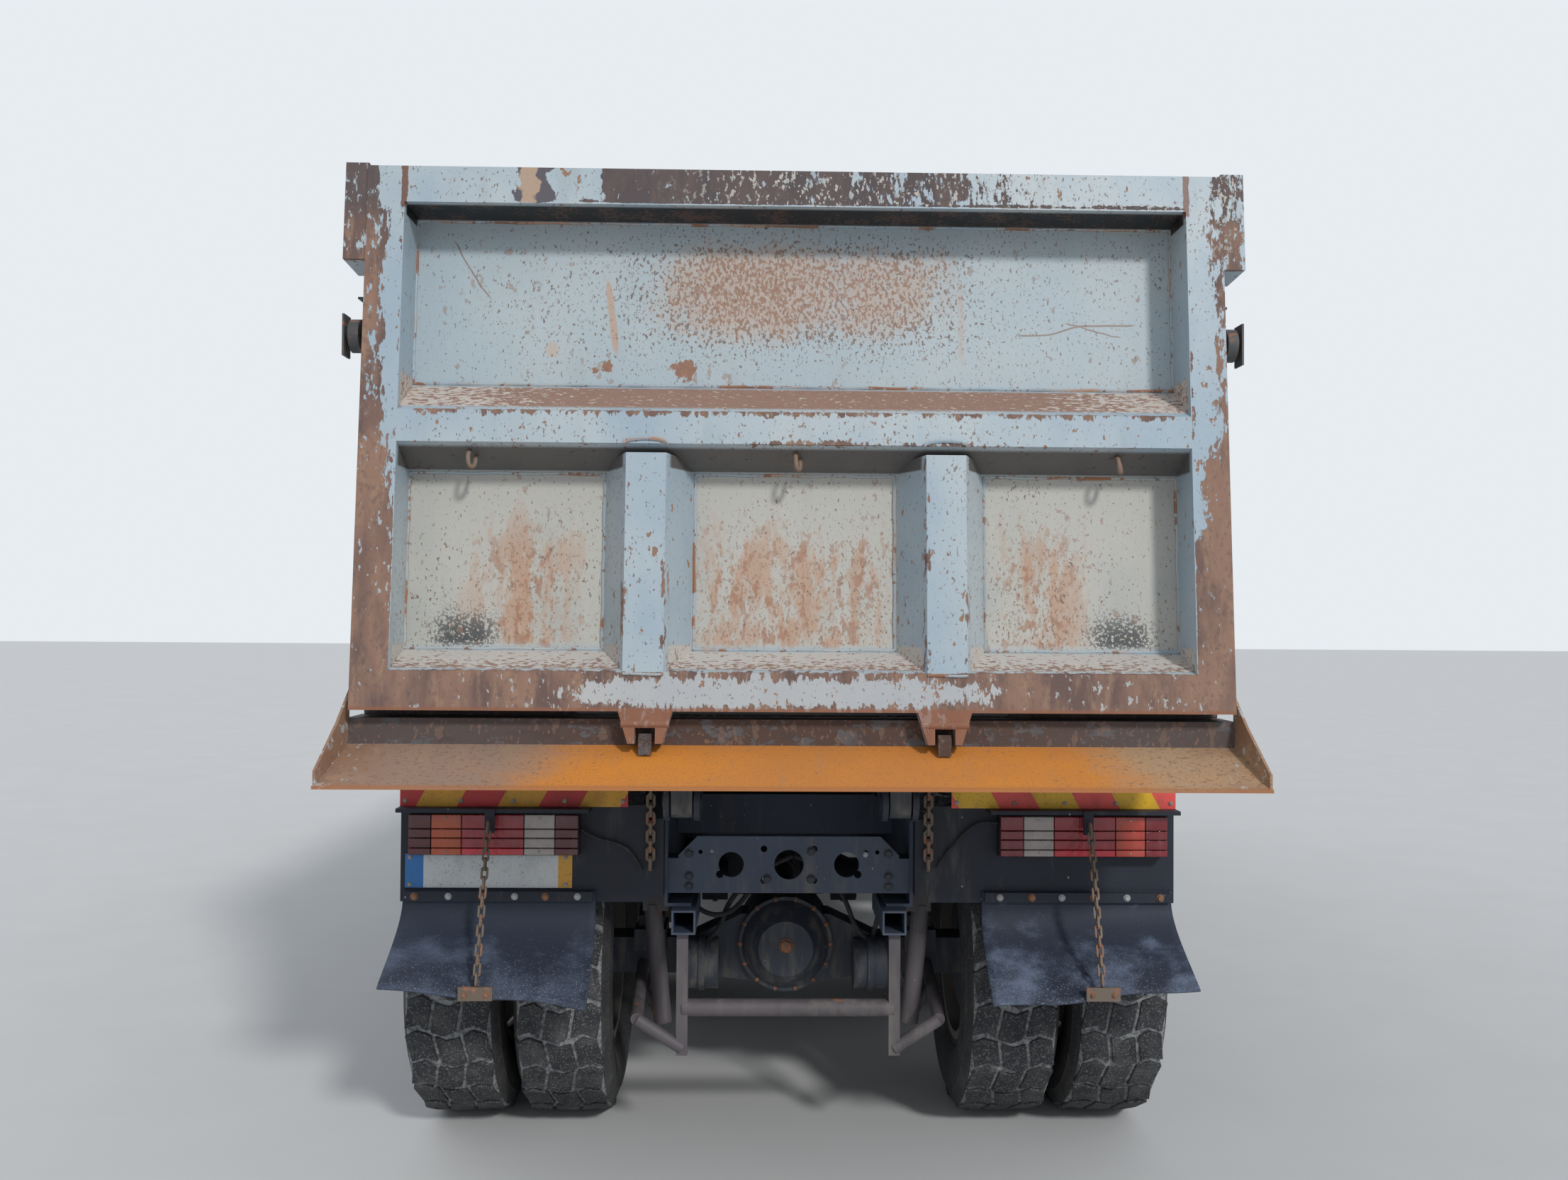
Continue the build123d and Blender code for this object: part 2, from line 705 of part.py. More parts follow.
# Ends that carry the bumper, the towing jaw and the cab's tilt pins
BUMPER_ARM = block(
    RAIL_INNER_X,
    RAIL_X,
    FRAME_FRONT_Y + SEAT_GAP,
    FRONT_Y - BUMPER_T - SEAT_GAP,
    FRAME_BOTTOM,
    FRAME_BOTTOM + 70,
)
frame_solids += pair(BUMPER_ARM)
TILT_PLATE_X1 = TILT_ARM_X - TILT_ARM_T / 2 - 5
tilt_plate = prism_x(
    [
        (TILT_Y - 45, TILT_Z - 40),
        (TILT_Y + 45, TILT_Z - 40),
        (TILT_Y + 45, TILT_Z + 45),
        (FRAME_FRONT_Y, FRAME_BOTTOM + 120),
        (FRAME_FRONT_Y - 120, FRAME_BOTTOM + 120),
        (FRAME_FRONT_Y - 120, FRAME_BOTTOM),
    ],
    rail_side,
    TILT_PLATE_X1,
)
tilt_pin = rod_x(TILT_Y, TILT_Z, TILT_PIN_R, TILT_PLATE_X1 - 1, TILT_ARM_X + TILT_ARM_T / 2 + 5)
frame_solids += pair(fused([tilt_plate, tilt_pin, step_arms[1]]))
TOW_Y = FRONT_Y - 75.0
TOW_Z = 650.0
TOW_BORE_R = 16.0
TOW_GAP = 60.0
tow_jaw = block(-60, 60, FRAME_FRONT_Y - 90, TOW_Y + 40, TOW_Z - TOW_GAP / 2 - 20, TOW_Z + TOW_GAP / 2 + 20)
tow_jaw = tow_jaw - block(-70, 70, TOW_Y - 60, TOW_Y + 50, TOW_Z - TOW_GAP / 2, TOW_Z + TOW_GAP / 2)
tow_jaw = tow_jaw - rod_z(0, TOW_Y, TOW_BORE_R, TOW_Z - 100, TOW_Z + 100)
tow_post = block(-60, 60, FRAME_FRONT_Y - 90, FRAME_FRONT_Y - 10, TOW_Z, FRONT_MEMBER_Z - SEAT_GAP)
frame_solids.append(tow_jaw + tow_post)
save("chassis_frame", *frame_solids)

# Subframe: two box rails with pads, hinge ears at the back and the hoist's bearing plates in front
subframe = []
SUBFRAME_REAR_Y = HINGE_Y + HINGE_LUG_R + 20
sub_x0 = RAIL_X - 5 - SUBFRAME_W
sub_x1 = RAIL_X - 5
side_rail = block(sub_x0, sub_x1, SUBFRAME_REAR_Y, SUBFRAME_FRONT_Y, FRAME_TOP + SEAT_GAP, SUBFRAME_TOP)
PADS = (Y4 + 100, Y3 + 100, Y3 + 1100, Y2 - 700, Y2 + 100)
pads = [
    block(sub_x0, sub_x1, y - 60, y + 60, SUBFRAME_TOP - 1, SUBFRAME_TOP + PAD_H - SEAT_GAP) for y in PADS
]
ears = []
for x in (HINGE_LUG_X - HINGE_LUG_W / 2 - 5 - HINGE_EAR_T, HINGE_LUG_X + HINGE_LUG_W / 2 + 5):
    ear = rod_x(HINGE_Y, HINGE_Z, HINGE_EAR_R, x, x + HINGE_EAR_T)
    foot = block(
        x, x + HINGE_EAR_T, HINGE_Y, SUBFRAME_REAR_Y + 60, FRAME_TOP + SEAT_GAP, HINGE_Z + HINGE_EAR_R - 6
    )
    ears += [ear, foot]
ear_root = block(
    HINGE_LUG_X - HINGE_LUG_W / 2 - 6 - HINGE_EAR_T,
    HINGE_LUG_X + HINGE_LUG_W / 2 + 6 + HINGE_EAR_T,
    SUBFRAME_REAR_Y,
    SUBFRAME_REAR_Y + 60,
    FRAME_TOP + SEAT_GAP,
    SUBFRAME_TOP,
)
pin = rod_x(
    HINGE_Y,
    HINGE_Z,
    HINGE_PIN_R,
    HINGE_LUG_X - HINGE_LUG_W / 2 - 10 - HINGE_EAR_T,
    HINGE_LUG_X + HINGE_LUG_W / 2 + 10 + HINGE_EAR_T,
)
subframe += pair(fused([side_rail, *pads, *ears, ear_root, pin]))
SUB_CROSS = (Y4 + 350, Y3 + 600, Y2 - 400, HOIST_FOOT_Y - 290, HOIST_FOOT_Y + 180)
cross_x = sub_x0 - SEAT_GAP
crosses = [block(-cross_x, cross_x, y - 35, y + 35, FRAME_TOP + 5, FRAME_TOP + 75) for y in SUB_CROSS]
subframe += crosses[:3]
BEARING_T = 22.0
bearing_x0 = TRUNNION_X - BEARING_T - 12
bearing = prism_x(
    [
        (HOIST_FOOT_Y - 290, FRAME_TOP + 10),
        (HOIST_FOOT_Y - 60, HOIST_FOOT_Z - 55),
        (HOIST_FOOT_Y + 60, HOIST_FOOT_Z - 55),
        (HOIST_FOOT_Y + 180, FRAME_TOP + 10),
        (HOIST_FOOT_Y + 180, FRAME_TOP + 60),
        (HOIST_FOOT_Y - 290, FRAME_TOP + 60),
    ],
    bearing_x0,
    bearing_x0 + BEARING_T,
)
bearing = bearing - rod_x(HOIST_FOOT_Y, HOIST_FOOT_Z, TRUNNION_R + RUN_GAP, 0, TRUNNION_X + 50)
subframe.append(fused([*pair(bearing), *crosses[3:]]))
save("hoist_subframe", *subframe)

# Driveline: engine with gearbox as a plain block, and the shafts to the driven axles
ENGINE_HALF = 290.0
ENGINE_Y0 = Y1 - 60.0
ENGINE_Y1 = FRAME_FRONT_Y - 110.0
ENGINE_Z0 = 600.0
ENGINE_Z1 = 1440.0
SHAFT_R = 60.0
GEARBOX_Y0 = ENGINE_Y0 - 560.0
engine = block(-ENGINE_HALF, ENGINE_HALF, ENGINE_Y0, ENGINE_Y1, ENGINE_Z0, ENGINE_Z1)
gearbox = block(-200, 200, GEARBOX_Y0, ENGINE_Y0 - SEAT_GAP, 640, 880)
NOSE = 300.0
YOKE_R = 70.0
YOKE_LENGTH = 60.0


def propshaft(front, rear):
    """A tube with a round yoke at each end, from (y, z) in front to (y, z) behind."""
    yokes = [
        rod_y(0, front[1], YOKE_R, front[0] - YOKE_LENGTH, front[0]),
        rod_y(0, rear[1], YOKE_R, rear[0], rear[0] + YOKE_LENGTH),
    ]
    tube = rod_between(
        (0, front[0] - YOKE_LENGTH / 2, front[1]), (0, rear[0] + YOKE_LENGTH / 2, rear[1]), SHAFT_R
    )
    return fused([tube, *yokes])


main_shaft = propshaft((GEARBOX_Y0 - SEAT_GAP, 790), (Y3 + NOSE + SEAT_GAP, BANJO_Z + 20))
link_shaft = propshaft((Y3 - 160 - SEAT_GAP, BANJO_Z), (Y4 + NOSE + SEAT_GAP, BANJO_Z + 20))
save("driveline", engine, gearbox, main_shaft, link_shaft)


# Bed: outlines of the tub, from the middle of the floor outwards and up
TUB_LINE = [(0, FLOOR_Z), (FLOOR_HALF, FLOOR_Z), (890, 1597), (1072, 1777), (1195, CREASE_Z)]
TUB_LINE.append((TUB_HALF, BED_TOP - TOP_RAIL_H))


def offset_line(points, distance, closed=False):
    """Points moved to the right of the way they run, with mitred corners."""
    count = len(points)
    normals = []
    for i in range(count if closed else count - 1):
        (x0, y0), (x1, y1) = points[i], points[(i + 1) % count]
        length = hypot(x1 - x0, y1 - y0)
        normals.append(((y1 - y0) / length, (x0 - x1) / length))
    moved = []
    for i, (x, y) in enumerate(points):
        before = normals[i - 1] if closed or i > 0 else normals[0]
        after = normals[i] if closed or i < count - 1 else normals[-1]
        scale = distance / (1 + before[0] * after[0] + before[1] * after[1])
        moved.append((x + (before[0] + after[0]) * scale, y + (before[1] + after[1]) * scale))
    return moved


def tub_fill(grow, y0, y1):
    """The tub's inside as a solid, grown outwards by a wall or more."""
    line = offset_line(TUB_LINE, grow)[1:]
    return prism_y(symmetric(line[::-1]), y0, y1)


def rear_plane(z):
    """Where the bed's rear face lies at a height: it leans forward with the gate."""
    return BED_REAR_Y + (z - GATE_BOTTOM_Z) * tan(radians(GATE_LEAN))


FAR = 6000.0
behind_bed = prism_x(
    [(rear_plane(0), 0), (rear_plane(FAR), FAR), (rear_plane(FAR) - FAR, FAR), (rear_plane(0) - FAR, 0)],
    -FAR,
    FAR,
)
WALL_TOP_Z = BED_TOP - TOP_RAIL_H
WALL_TOP_Y = WALL_FOOT_Y + WALL_LEAN
wall_slab = prism_x(
    [
        (WALL_FOOT_Y, FLOOR_Z - TUB_T),
        (WALL_FOOT_Y, WALL_KNEE_Z),
        (WALL_TOP_Y, WALL_TOP_Z),
        (WALL_TOP_Y + WALL_T, WALL_TOP_Z),
        (WALL_FOOT_Y + WALL_T, WALL_KNEE_Z),
        (WALL_FOOT_Y + WALL_T, FLOOR_Z - TUB_T),
    ],
    -FAR,
    FAR,
)
ahead_of_wall = prism_x(
    [
        (WALL_FOOT_Y + WALL_T, 0),
        (WALL_FOOT_Y + WALL_T, WALL_KNEE_Z),
        (WALL_TOP_Y + WALL_T, WALL_TOP_Z),
        (WALL_TOP_Y + WALL_T, FAR),
        (WALL_TOP_Y + FAR, FAR),
        (WALL_TOP_Y + FAR, 0),
    ],
    -FAR,
    FAR,
)
tub_y1 = WALL_TOP_Y + WALL_T
channel = tub_fill(TUB_T, BED_REAR_Y, tub_y1) - tub_fill(0, BED_REAR_Y - 1, tub_y1 + 1)
channel = channel - behind_bed - ahead_of_wall
front_wall = tub_fill(TUB_T, WALL_FOOT_Y - 1, tub_y1 + 1) & wall_slab
tub = channel + front_wall
for side in (1, -1):
    low = min(side * (TOP_RAIL_X - 66), side * TOP_RAIL_X)
    top_rail = block(low, low + 66, BED_REAR_Y + 60, tub_y1 + 20, BED_TOP - TOP_RAIL_H - 5, BED_TOP)
    tub = tub + (top_rail - behind_bed)
tub = tub + block(-TOP_RAIL_X, TOP_RAIL_X, tub_y1 - 40, tub_y1 + 20, BED_TOP - TOP_RAIL_H - 5, BED_TOP)
save("bed_tub", tub)

# Rear frame of the bed: posts, gussets to the round tub, the bolster under the gate and the lock claws
LUG_X = 412.0
CLAW_W = 36.0
POST_FOOT = 1560.0


def post():
    side = block(
        TUB_HALF - 110, POST_X, BED_REAR_Y, BED_REAR_Y + POST_LENGTH + 100, POST_FOOT, POST_TOP
    )
    side = side & prism_x(
        [
            (rear_plane(POST_FOOT), POST_FOOT),
            (rear_plane(POST_FOOT) + POST_LENGTH, POST_FOOT),
            (rear_plane(POST_TOP) + POST_LENGTH, POST_TOP),
            (rear_plane(POST_TOP), POST_TOP),
        ],
        0,
        FAR,
    )
    gusset = block(0, POST_X, BED_REAR_Y - 20, BED_REAR_Y + 60, FLOOR_Z - TUB_T, POST_FOOT + 200)
    gusset = gusset - behind_bed
    shape = (side + gusset) - tub_fill(TUB_T, BED_REAR_Y - 100, BED_REAR_Y + 600)
    shape = shape - block(TUB_HALF - 120, TOP_RAIL_X + 1, Y4 - 1000, Y4, BED_TOP - TOP_RAIL_H - 5.3, BED_TOP)
    boss = rod_x(GATE_PIN_Y, GATE_PIN_Z, 46, POST_X - 1, GATE_ARM_X0 - 6)
    boss = boss - block(0, TOP_RAIL_X + SEAT_GAP, Y4 - 1000, Y4, BED_TOP - TOP_RAIL_H - 5.3, BED_TOP)
    web_z = GATE_PIN_Z - 150
    web = block(TOP_RAIL_X + SEAT_GAP, GATE_ARM_X0 - 6, GATE_PIN_Y - 46, GATE_PIN_Y + 46, web_z, GATE_PIN_Z)
    web_foot = block(POST_X - 1, GATE_ARM_X0 - 6, GATE_PIN_Y - 46, GATE_PIN_Y - 1, web_z, web_z + 100)
    pin = rod_x(GATE_PIN_Y, GATE_PIN_Z, GATE_PIN_R, TOP_RAIL_X + 2, GATE_ARM_X1 + 8)
    return fused([shape, boss, web, web_foot, pin])


def claw(x):
    """A hook on the bolster, its tip under the gate's lug bar."""
    outline = [
        (BOLSTER_Y + 1, BOLSTER_TOP - 36),
        (BOLSTER_Y + 1, BOLSTER_BOTTOM + 8),
        (BOLSTER_Y - 56, BOLSTER_BOTTOM - 22),
        (BOLSTER_Y - 62, BOLSTER_TOP - 50),
        (BOLSTER_Y - 50, BOLSTER_TOP - 36),
    ]
    return prism_x(outline, x - CLAW_W / 2, x + CLAW_W / 2)


bolster = block(
    -CREASE_HALF + 4, CREASE_HALF - 4, BOLSTER_Y, BED_REAR_Y + 20, BOLSTER_BOTTOM, BOLSTER_TOP
)
bolster = bolster + block(
    -POST_X, POST_X, BED_REAR_Y + 1, BED_REAR_Y + 20, BOLSTER_TOP - 1, FLOOR_Z - TUB_T
)
save("bed_rear_frame", fused([bolster, *pair(post()), claw(LUG_X), claw(-LUG_X)]))

# Chute: a sloping plate from the bolster to the lip, with flaring sides
CHUTE_Y1 = BOLSTER_Y - SEAT_GAP
LIP_Y = Y4 - REAR_OVERHANG
slope = prism_x(
    [
        (CHUTE_Y1, BOLSTER_BOTTOM),
        (LIP_Y, LIP_Z),
        (LIP_Y, LIP_Z - CHUTE_T),
        (CHUTE_Y1, BOLSTER_BOTTOM - CHUTE_T),
    ],
    -LIP_HALF,
    LIP_HALF,
)
plan = prism_z(
    symmetric([(CREASE_HALF, CHUTE_Y1), (LIP_HALF, LIP_Y)]), LIP_Z - 50, BOLSTER_BOTTOM + 1
)
flare = degrees(atan2(LIP_HALF - CREASE_HALF, BOLSTER_Y - LIP_Y))
chute_side = prism_x(
    [
        (BED_REAR_Y + 40, POST_FOOT + 30),
        (BED_REAR_Y + 40, BOLSTER_BOTTOM + 10),
        (BOLSTER_Y, BOLSTER_BOTTOM - 1),
        (LIP_Y + 4, LIP_Z + 2),
        (LIP_Y + 4, LIP_Z + 40),
        (BOLSTER_Y - 60, BOLSTER_BOTTOM + 60),
        (BED_REAR_Y - 20, CHUTE_SIDE_TOP),
    ],
    0,
    CHUTE_T,
)
chute_side = Pos(CREASE_HALF, BOLSTER_Y, 0) * Rot(0, 0, flare) * Pos(-CHUTE_T, -BOLSTER_Y, 0) * chute_side
chute_side = chute_side - block(0, POST_X + SEAT_GAP, Y4 - 2000, Y4, 0, FAR)
chute_side = chute_side - block(0, CREASE_HALF - 4 + SEAT_GAP, BOLSTER_Y - SEAT_GAP, Y4, 0, FAR)
save("bed_chute", fused([slope & plan, *pair(chute_side)]))

# Floor runners with the hinge lugs, and bearers across them
RUNNER_BOTTOM = SUBFRAME_TOP + PAD_H
RUNNER_TOP = FLOOR_Z - TUB_T - SEAT_GAP
RUNNER_Y0 = BED_REAR_Y + 20 + SEAT_GAP
runner = block(
    RUNNER_X - RUNNER_W / 2, RUNNER_X + RUNNER_W / 2, RUNNER_Y0, WALL_FOOT_Y - 10, RUNNER_BOTTOM, RUNNER_TOP
)
lug_half = HINGE_LUG_W / 2
lug = rod_x(HINGE_Y, HINGE_Z, HINGE_LUG_R, RUNNER_X - lug_half, RUNNER_X + lug_half)
lug = lug + block(
    RUNNER_X - lug_half,
    RUNNER_X + lug_half,
    HINGE_Y - HINGE_LUG_R,
    HINGE_Y + HINGE_LUG_R,
    HINGE_Z,
    RUNNER_BOTTOM + 1,
)
lug = lug - rod_x(HINGE_Y, HINGE_Z, HINGE_PIN_R + RUN_GAP, 0, FAR)
chain_eye = block(
    RUNNER_X + RUNNER_W / 2 - 1, 445, Y4 - 592, Y4 - 580, RUNNER_BOTTOM, RUNNER_BOTTOM + 60
)
chain_eye = chain_eye + block(424, 446, Y4 - 592, Y4 - 580, RUNNER_BOTTOM - 30, RUNNER_BOTTOM + 60)
bearers = []
BEARERS = (Y4 - 420, Y4 + 400, Y3 + 300, Y3 + 1300, Y2 - 500, Y2 + 450)
runner_in = RUNNER_X - RUNNER_W / 2 - SEAT_GAP
runner_out = RUNNER_X + RUNNER_W / 2 + SEAT_GAP
for y in BEARERS:
    for x0, x1 in ((-FLOOR_HALF, -runner_out), (-runner_in, runner_in), (runner_out, FLOOR_HALF)):
        bearers.append(block(x0, x1, y - BEARER_W / 2, y + BEARER_W / 2, RUNNER_TOP - BEARER_H, RUNNER_TOP))
save("bed_runners", *pair(fused([runner, lug, chain_eye])), *bearers)

# Side rails: a sloping deck and a fascia along each side of the tub
deck = prism_y(
    [
        (900, 1652),
        (SIDE_RAIL_X, SIDE_RAIL_TOP_Z),
        (SIDE_RAIL_X, SIDE_RAIL_BOTTOM_Z),
        (SIDE_RAIL_X - SIDE_RAIL_T, SIDE_RAIL_BOTTOM_Z),
        (SIDE_RAIL_X - SIDE_RAIL_T, SIDE_RAIL_TOP_Z - SIDE_RAIL_T),
        (900, 1652 - SIDE_RAIL_T),
    ],
    BED_REAR_Y + POST_LENGTH + 20,
    WALL_FOOT_Y + 40,
)
deck = deck - tub_fill(TUB_T + SEAT_GAP, BED_REAR_Y, WALL_FOOT_Y + 100)
save("bed_side_rails", *pair(deck))

# Frame on the outside of the front wall, with the ears that take the hoist's eye
RIB_PLACES = (-700.0, -HOIST_EAR_X - HOIST_EAR_T, HOIST_EAR_X, 700.0 - HOIST_EAR_T)
BEAM_HALF = 1000.0
ribs = []
for x in RIB_PLACES:
    rib = prism_x(
        [
            (WALL_FOOT_Y + WALL_T, FLOOR_Z + 300),
            (WALL_FOOT_Y + WALL_T, WALL_KNEE_Z),
            (WALL_TOP_Y + WALL_T, WALL_TOP_Z - 6),
            (WALL_TOP_Y + WALL_T + 18, WALL_TOP_Z - 6),
            (WALL_FOOT_Y + WALL_T + 60, WALL_KNEE_Z),
            (WALL_FOOT_Y + WALL_T + 60, FLOOR_Z + 300),
        ],
        x,
        x + HOIST_EAR_T,
    )
    ribs.append(rib)
beams = []
for z in (FLOOR_Z + 340, WALL_KNEE_Z - 80):
    starts = [-BEAM_HALF] + [x + HOIST_EAR_T + SEAT_GAP for x in RIB_PLACES]
    ends = [x - SEAT_GAP for x in RIB_PLACES] + [BEAM_HALF]
    for x0, x1 in zip(starts, ends):
        beams.append(block(x0, x1, WALL_FOOT_Y + WALL_T, WALL_FOOT_Y + WALL_T + 50, z, z + 60))
for i in (1, 2):
    x = RIB_PLACES[i]
    ear = prism_x(
        [
            (WALL_FOOT_Y + WALL_T + 20, WALL_KNEE_Z - 60),
            (HOIST_EYE_Y - 40, HOIST_EYE_Z - HOIST_HEAD_R - 10),
            (HOIST_EYE_Y + 40, HOIST_EYE_Z - HOIST_HEAD_R - 10),
            (HOIST_EYE_Y + 60, HOIST_EYE_Z),
            (HOIST_EYE_Y + 40, HOIST_EYE_Z + HOIST_HEAD_R + 10),
            (HOIST_EYE_Y - 100, HOIST_EYE_Z + 120),
            (WALL_TOP_Y, WALL_TOP_Z - 130),
        ],
        x,
        x + HOIST_EAR_T,
    )
    ribs[i] = ribs[i] + ear
wall_cut = prism_x(
    [
        (WALL_FOOT_Y + WALL_T + SEAT_GAP, 0),
        (WALL_FOOT_Y + WALL_T + SEAT_GAP, WALL_KNEE_Z),
        (WALL_TOP_Y + WALL_T + SEAT_GAP, WALL_TOP_Z),
        (WALL_TOP_Y - FAR, WALL_TOP_Z),
        (WALL_TOP_Y - FAR, 0),
    ],
    -FAR,
    FAR,
)
save("bed_wall_frame", *[piece - wall_cut for piece in ribs + beams])

# Cover pulleys and their angle brackets, on the posts near the gate
PULLEY_Z = BED_TOP - 460.0
PULLEY_SETBACK = 56.1
PULLEY_Y = rear_plane(PULLEY_Z) - PULLEY_SETBACK
fittings = []
plate_face = POST_X + SEAT_GAP
pulley_arm = block(plate_face, plate_face + 8, PULLEY_Y - 40, PULLEY_Y + 200, PULLEY_Z - 35, PULLEY_Z + 35)
axle_pin = rod_x(PULLEY_Y, PULLEY_Z, 10, plate_face, plate_face + 80)
sheave = rod_x(PULLEY_Y, PULLEY_Z, 48, plate_face + 25, plate_face + 55)
cheek = block(plate_face + 70, plate_face + 76, PULLEY_Y - 30, PULLEY_Y + 30, PULLEY_Z - 60, PULLEY_Z + 60)
angle_leg = block(plate_face, plate_face + 6, PULLEY_Y + 60, PULLEY_Y + 140, PULLEY_Z + 80, PULLEY_Z + 130)
angle_top = block(plate_face, plate_face + 60, PULLEY_Y + 60, PULLEY_Y + 140, PULLEY_Z + 124, PULLEY_Z + 130)
fittings += pair(fused([pulley_arm, axle_pin, sheave, cheek]))
fittings += pair(angle_leg + angle_top)
save("bed_pulleys", *fittings)

# Tailgate: sheet, posts, three beams, two ribs, hinge arms and lock lugs, drawn upright and then leaned
RIB_X = 420.0
gate_y = GATE_T - GATE_SHEET
post_in = GATE_HALF - GATE_POST_W
gate_solids = [
    block(-GATE_HALF, GATE_HALF, gate_y, GATE_T, 0, GATE_H),
    block(post_in, GATE_HALF, 0, gate_y + 1, 0, GATE_H),
    block(-GATE_HALF, -post_in, 0, gate_y + 1, 0, GATE_H),
]
# Beams: lower and upper edge at the sheet, lower and upper edge of the outer face
BEAMS = [
    (0, 176, 0, 107),
    (685, 946, 746, 836),
    (GATE_H - GATE_BEAM_H, GATE_H, GATE_H - GATE_BEAM_H, GATE_H),
]
for sheet0, sheet1, face0, face1 in BEAMS:
    outline = [(0, face0), (0, face1), (gate_y + 1, sheet1), (gate_y + 1, sheet0)]
    gate_solids.append(prism_x(outline, -post_in - 1, post_in + 1))
for x in (RIB_X, -RIB_X):
    outline = [(x - 56, 0), (x + 56, 0), (x + 130, gate_y + 1), (x - 130, gate_y + 1)]
    gate_solids.append(prism_z(outline, 100, 720))
for x in (LUG_X, -LUG_X):
    lug_plate = prism_y([(x - 75, 2), (x - 47, -88), (x + 47, -88), (x + 75, 2)], 0, 46)
    slot = block(x - CLAW_W / 2 - 10, x + CLAW_W / 2 + 10, -10, 60, -100, -44)
    gate_solids.append(lug_plate - slot)
    gate_solids.append(rod_x(6, -34, 11, x - 66, x + 66))
GATE_ARM_FOOT = GATE_H - 272.0
gate_place = Pos(0, GATE_FOOT_Y, GATE_BOTTOM_Z) * Rot(-GATE_LEAN, 0, 0)
gate = gate_place * fused(gate_solids)
corner = gate_place * block(GATE_HALF - 1, GATE_ARM_X1, 6, gate_y, GATE_ARM_FOOT, GATE_H + 10)
arm = prism_x(
    [
        (GATE_PIN_Y - 240, GATE_PIN_Z + 70),
        (GATE_PIN_Y - 240, GATE_PIN_Z - 190),
        (GATE_PIN_Y - 180, GATE_PIN_Z - 110),
        (GATE_PIN_Y, GATE_PIN_Z - 48),
        (GATE_PIN_Y, GATE_PIN_Z + 48),
    ],
    GATE_ARM_X0,
    GATE_ARM_X1,
)
arm = arm + rod_x(GATE_PIN_Y, GATE_PIN_Z, 48, GATE_ARM_X0, GATE_ARM_X1)
arm = arm - rod_x(GATE_PIN_Y, GATE_PIN_Z, GATE_PIN_R + RUN_GAP, 0, FAR)
save("tailgate", fused([gate, *pair(corner + arm)]))

# Hoist: a telescopic cylinder between cab and bed, on trunnions in the subframe
hoist_run = hypot(HOIST_EYE_Y - HOIST_FOOT_Y, HOIST_EYE_Z - HOIST_FOOT_Z)
hoist_tilt = degrees(atan2(HOIST_FOOT_Y - HOIST_EYE_Y, HOIST_EYE_Z - HOIST_FOOT_Z))
hoist_place = Pos(0, HOIST_FOOT_Y, HOIST_FOOT_Z) * Rot(hoist_tilt, 0, 0)
HOIST_BOTTOM = -55.0
COLLAR_H = 18.0


def hoist_tube(stage):
    """The tube of one stage: 0 is the base, the last is a solid rod with the eye."""
    radius = HOIST_BASE_R - stage * HOIST_STEP
    low = HOIST_BOTTOM + stage * 14.0
    high = hoist_run - HOIST_NECK - (HOIST_STAGES - stage) * COLLAR_H
    tube = rod_z(0, 0, radius, low, high)
    if stage == HOIST_STAGES:
        neck = rod_z(0, 0, radius, high - 1, hoist_run)
        head = rod_x(0, hoist_run, HOIST_HEAD_R, 5 - HOIST_EAR_X, HOIST_EAR_X - 5)
        return fused([tube, neck, head])
    if stage == 0:
        for side in (1, -1):
            x0 = min(side * (radius - 5), side * TRUNNION_X)
            x1 = max(side * (radius - 5), side * TRUNNION_X)
            tube = tube + rod_x(0, 0, TRUNNION_R, x0, x1)
    bore = rod_z(0, 0, radius - HOIST_STEP + RUN_GAP, low + 12.0, high + 1)
    return tube - bore


save("hoist_base", hoist_place * hoist_tube(0))
for stage in range(1, HOIST_STAGES + 1):
    save(f"hoist_stage_{stage}", hoist_place * hoist_tube(stage))

# Cab: one hollow shell from a side, a plan and a front outline, cut for doors and windows
CAB_SIDE = [
    (CAB_REAR_Y, CAB_FLOOR),
    (CAB_FRONT_Y, CAB_FLOOR),
    (CAB_FRONT_Y, 1700),
    (CAB_FRONT_Y - 45, 1990),
    (CAB_FRONT_Y - 330, CAB_ROOF - 90),
    (CAB_FRONT_Y - 520, CAB_ROOF),
    (CAB_REAR_Y + 60, CAB_ROOF),
    (CAB_REAR_Y, CAB_ROOF - 70),
]
ROOF_CORNER_R = 120.0


def cab_plan(inset, front_y, z0, z1):
    """The cab's plan with rounded front corners, extruded upwards."""
    width = 2 * (CAB_HALF - inset)
    y0 = CAB_REAR_Y + inset
    y1 = front_y - inset
    sheet = Pos(0, (y0 + y1) / 2) * Rectangle(width, y1 - y0)
    sheet = fillet(sheet.vertices().group_by(Axis.Y)[-1], CAB_CORNER_R - inset)
    return Pos(0, 0, z0) * extrude(sheet, z1 - z0)


def cab_block(inset):
    """The cab's outer form, or the same form moved inwards on every face."""
    side = prism_x(offset_line(CAB_SIDE, -inset, closed=True), -CAB_HALF - 1, CAB_HALF + 1)
    half = CAB_HALF - inset
    outline = symmetric(
        [(half - CAB_TUMBLEHOME, CAB_ROOF - inset), (half, CAB_WAIST), (half, CAB_FLOOR - 1)]
    )
    face = Plane.XZ * make_face(Polyline(*outline, close=True))
    face = fillet(face.vertices().group_by(Axis.Z)[-1], ROOF_CORNER_R - inset)
    front = Pos(0, CAB_FRONT_Y + 1, 0) * extrude(face, CAB_FRONT_Y - CAB_REAR_Y + 2)
    return side & cab_plan(inset, CAB_FRONT_Y, CAB_FLOOR - 1, CAB_ROOF + 1) & front


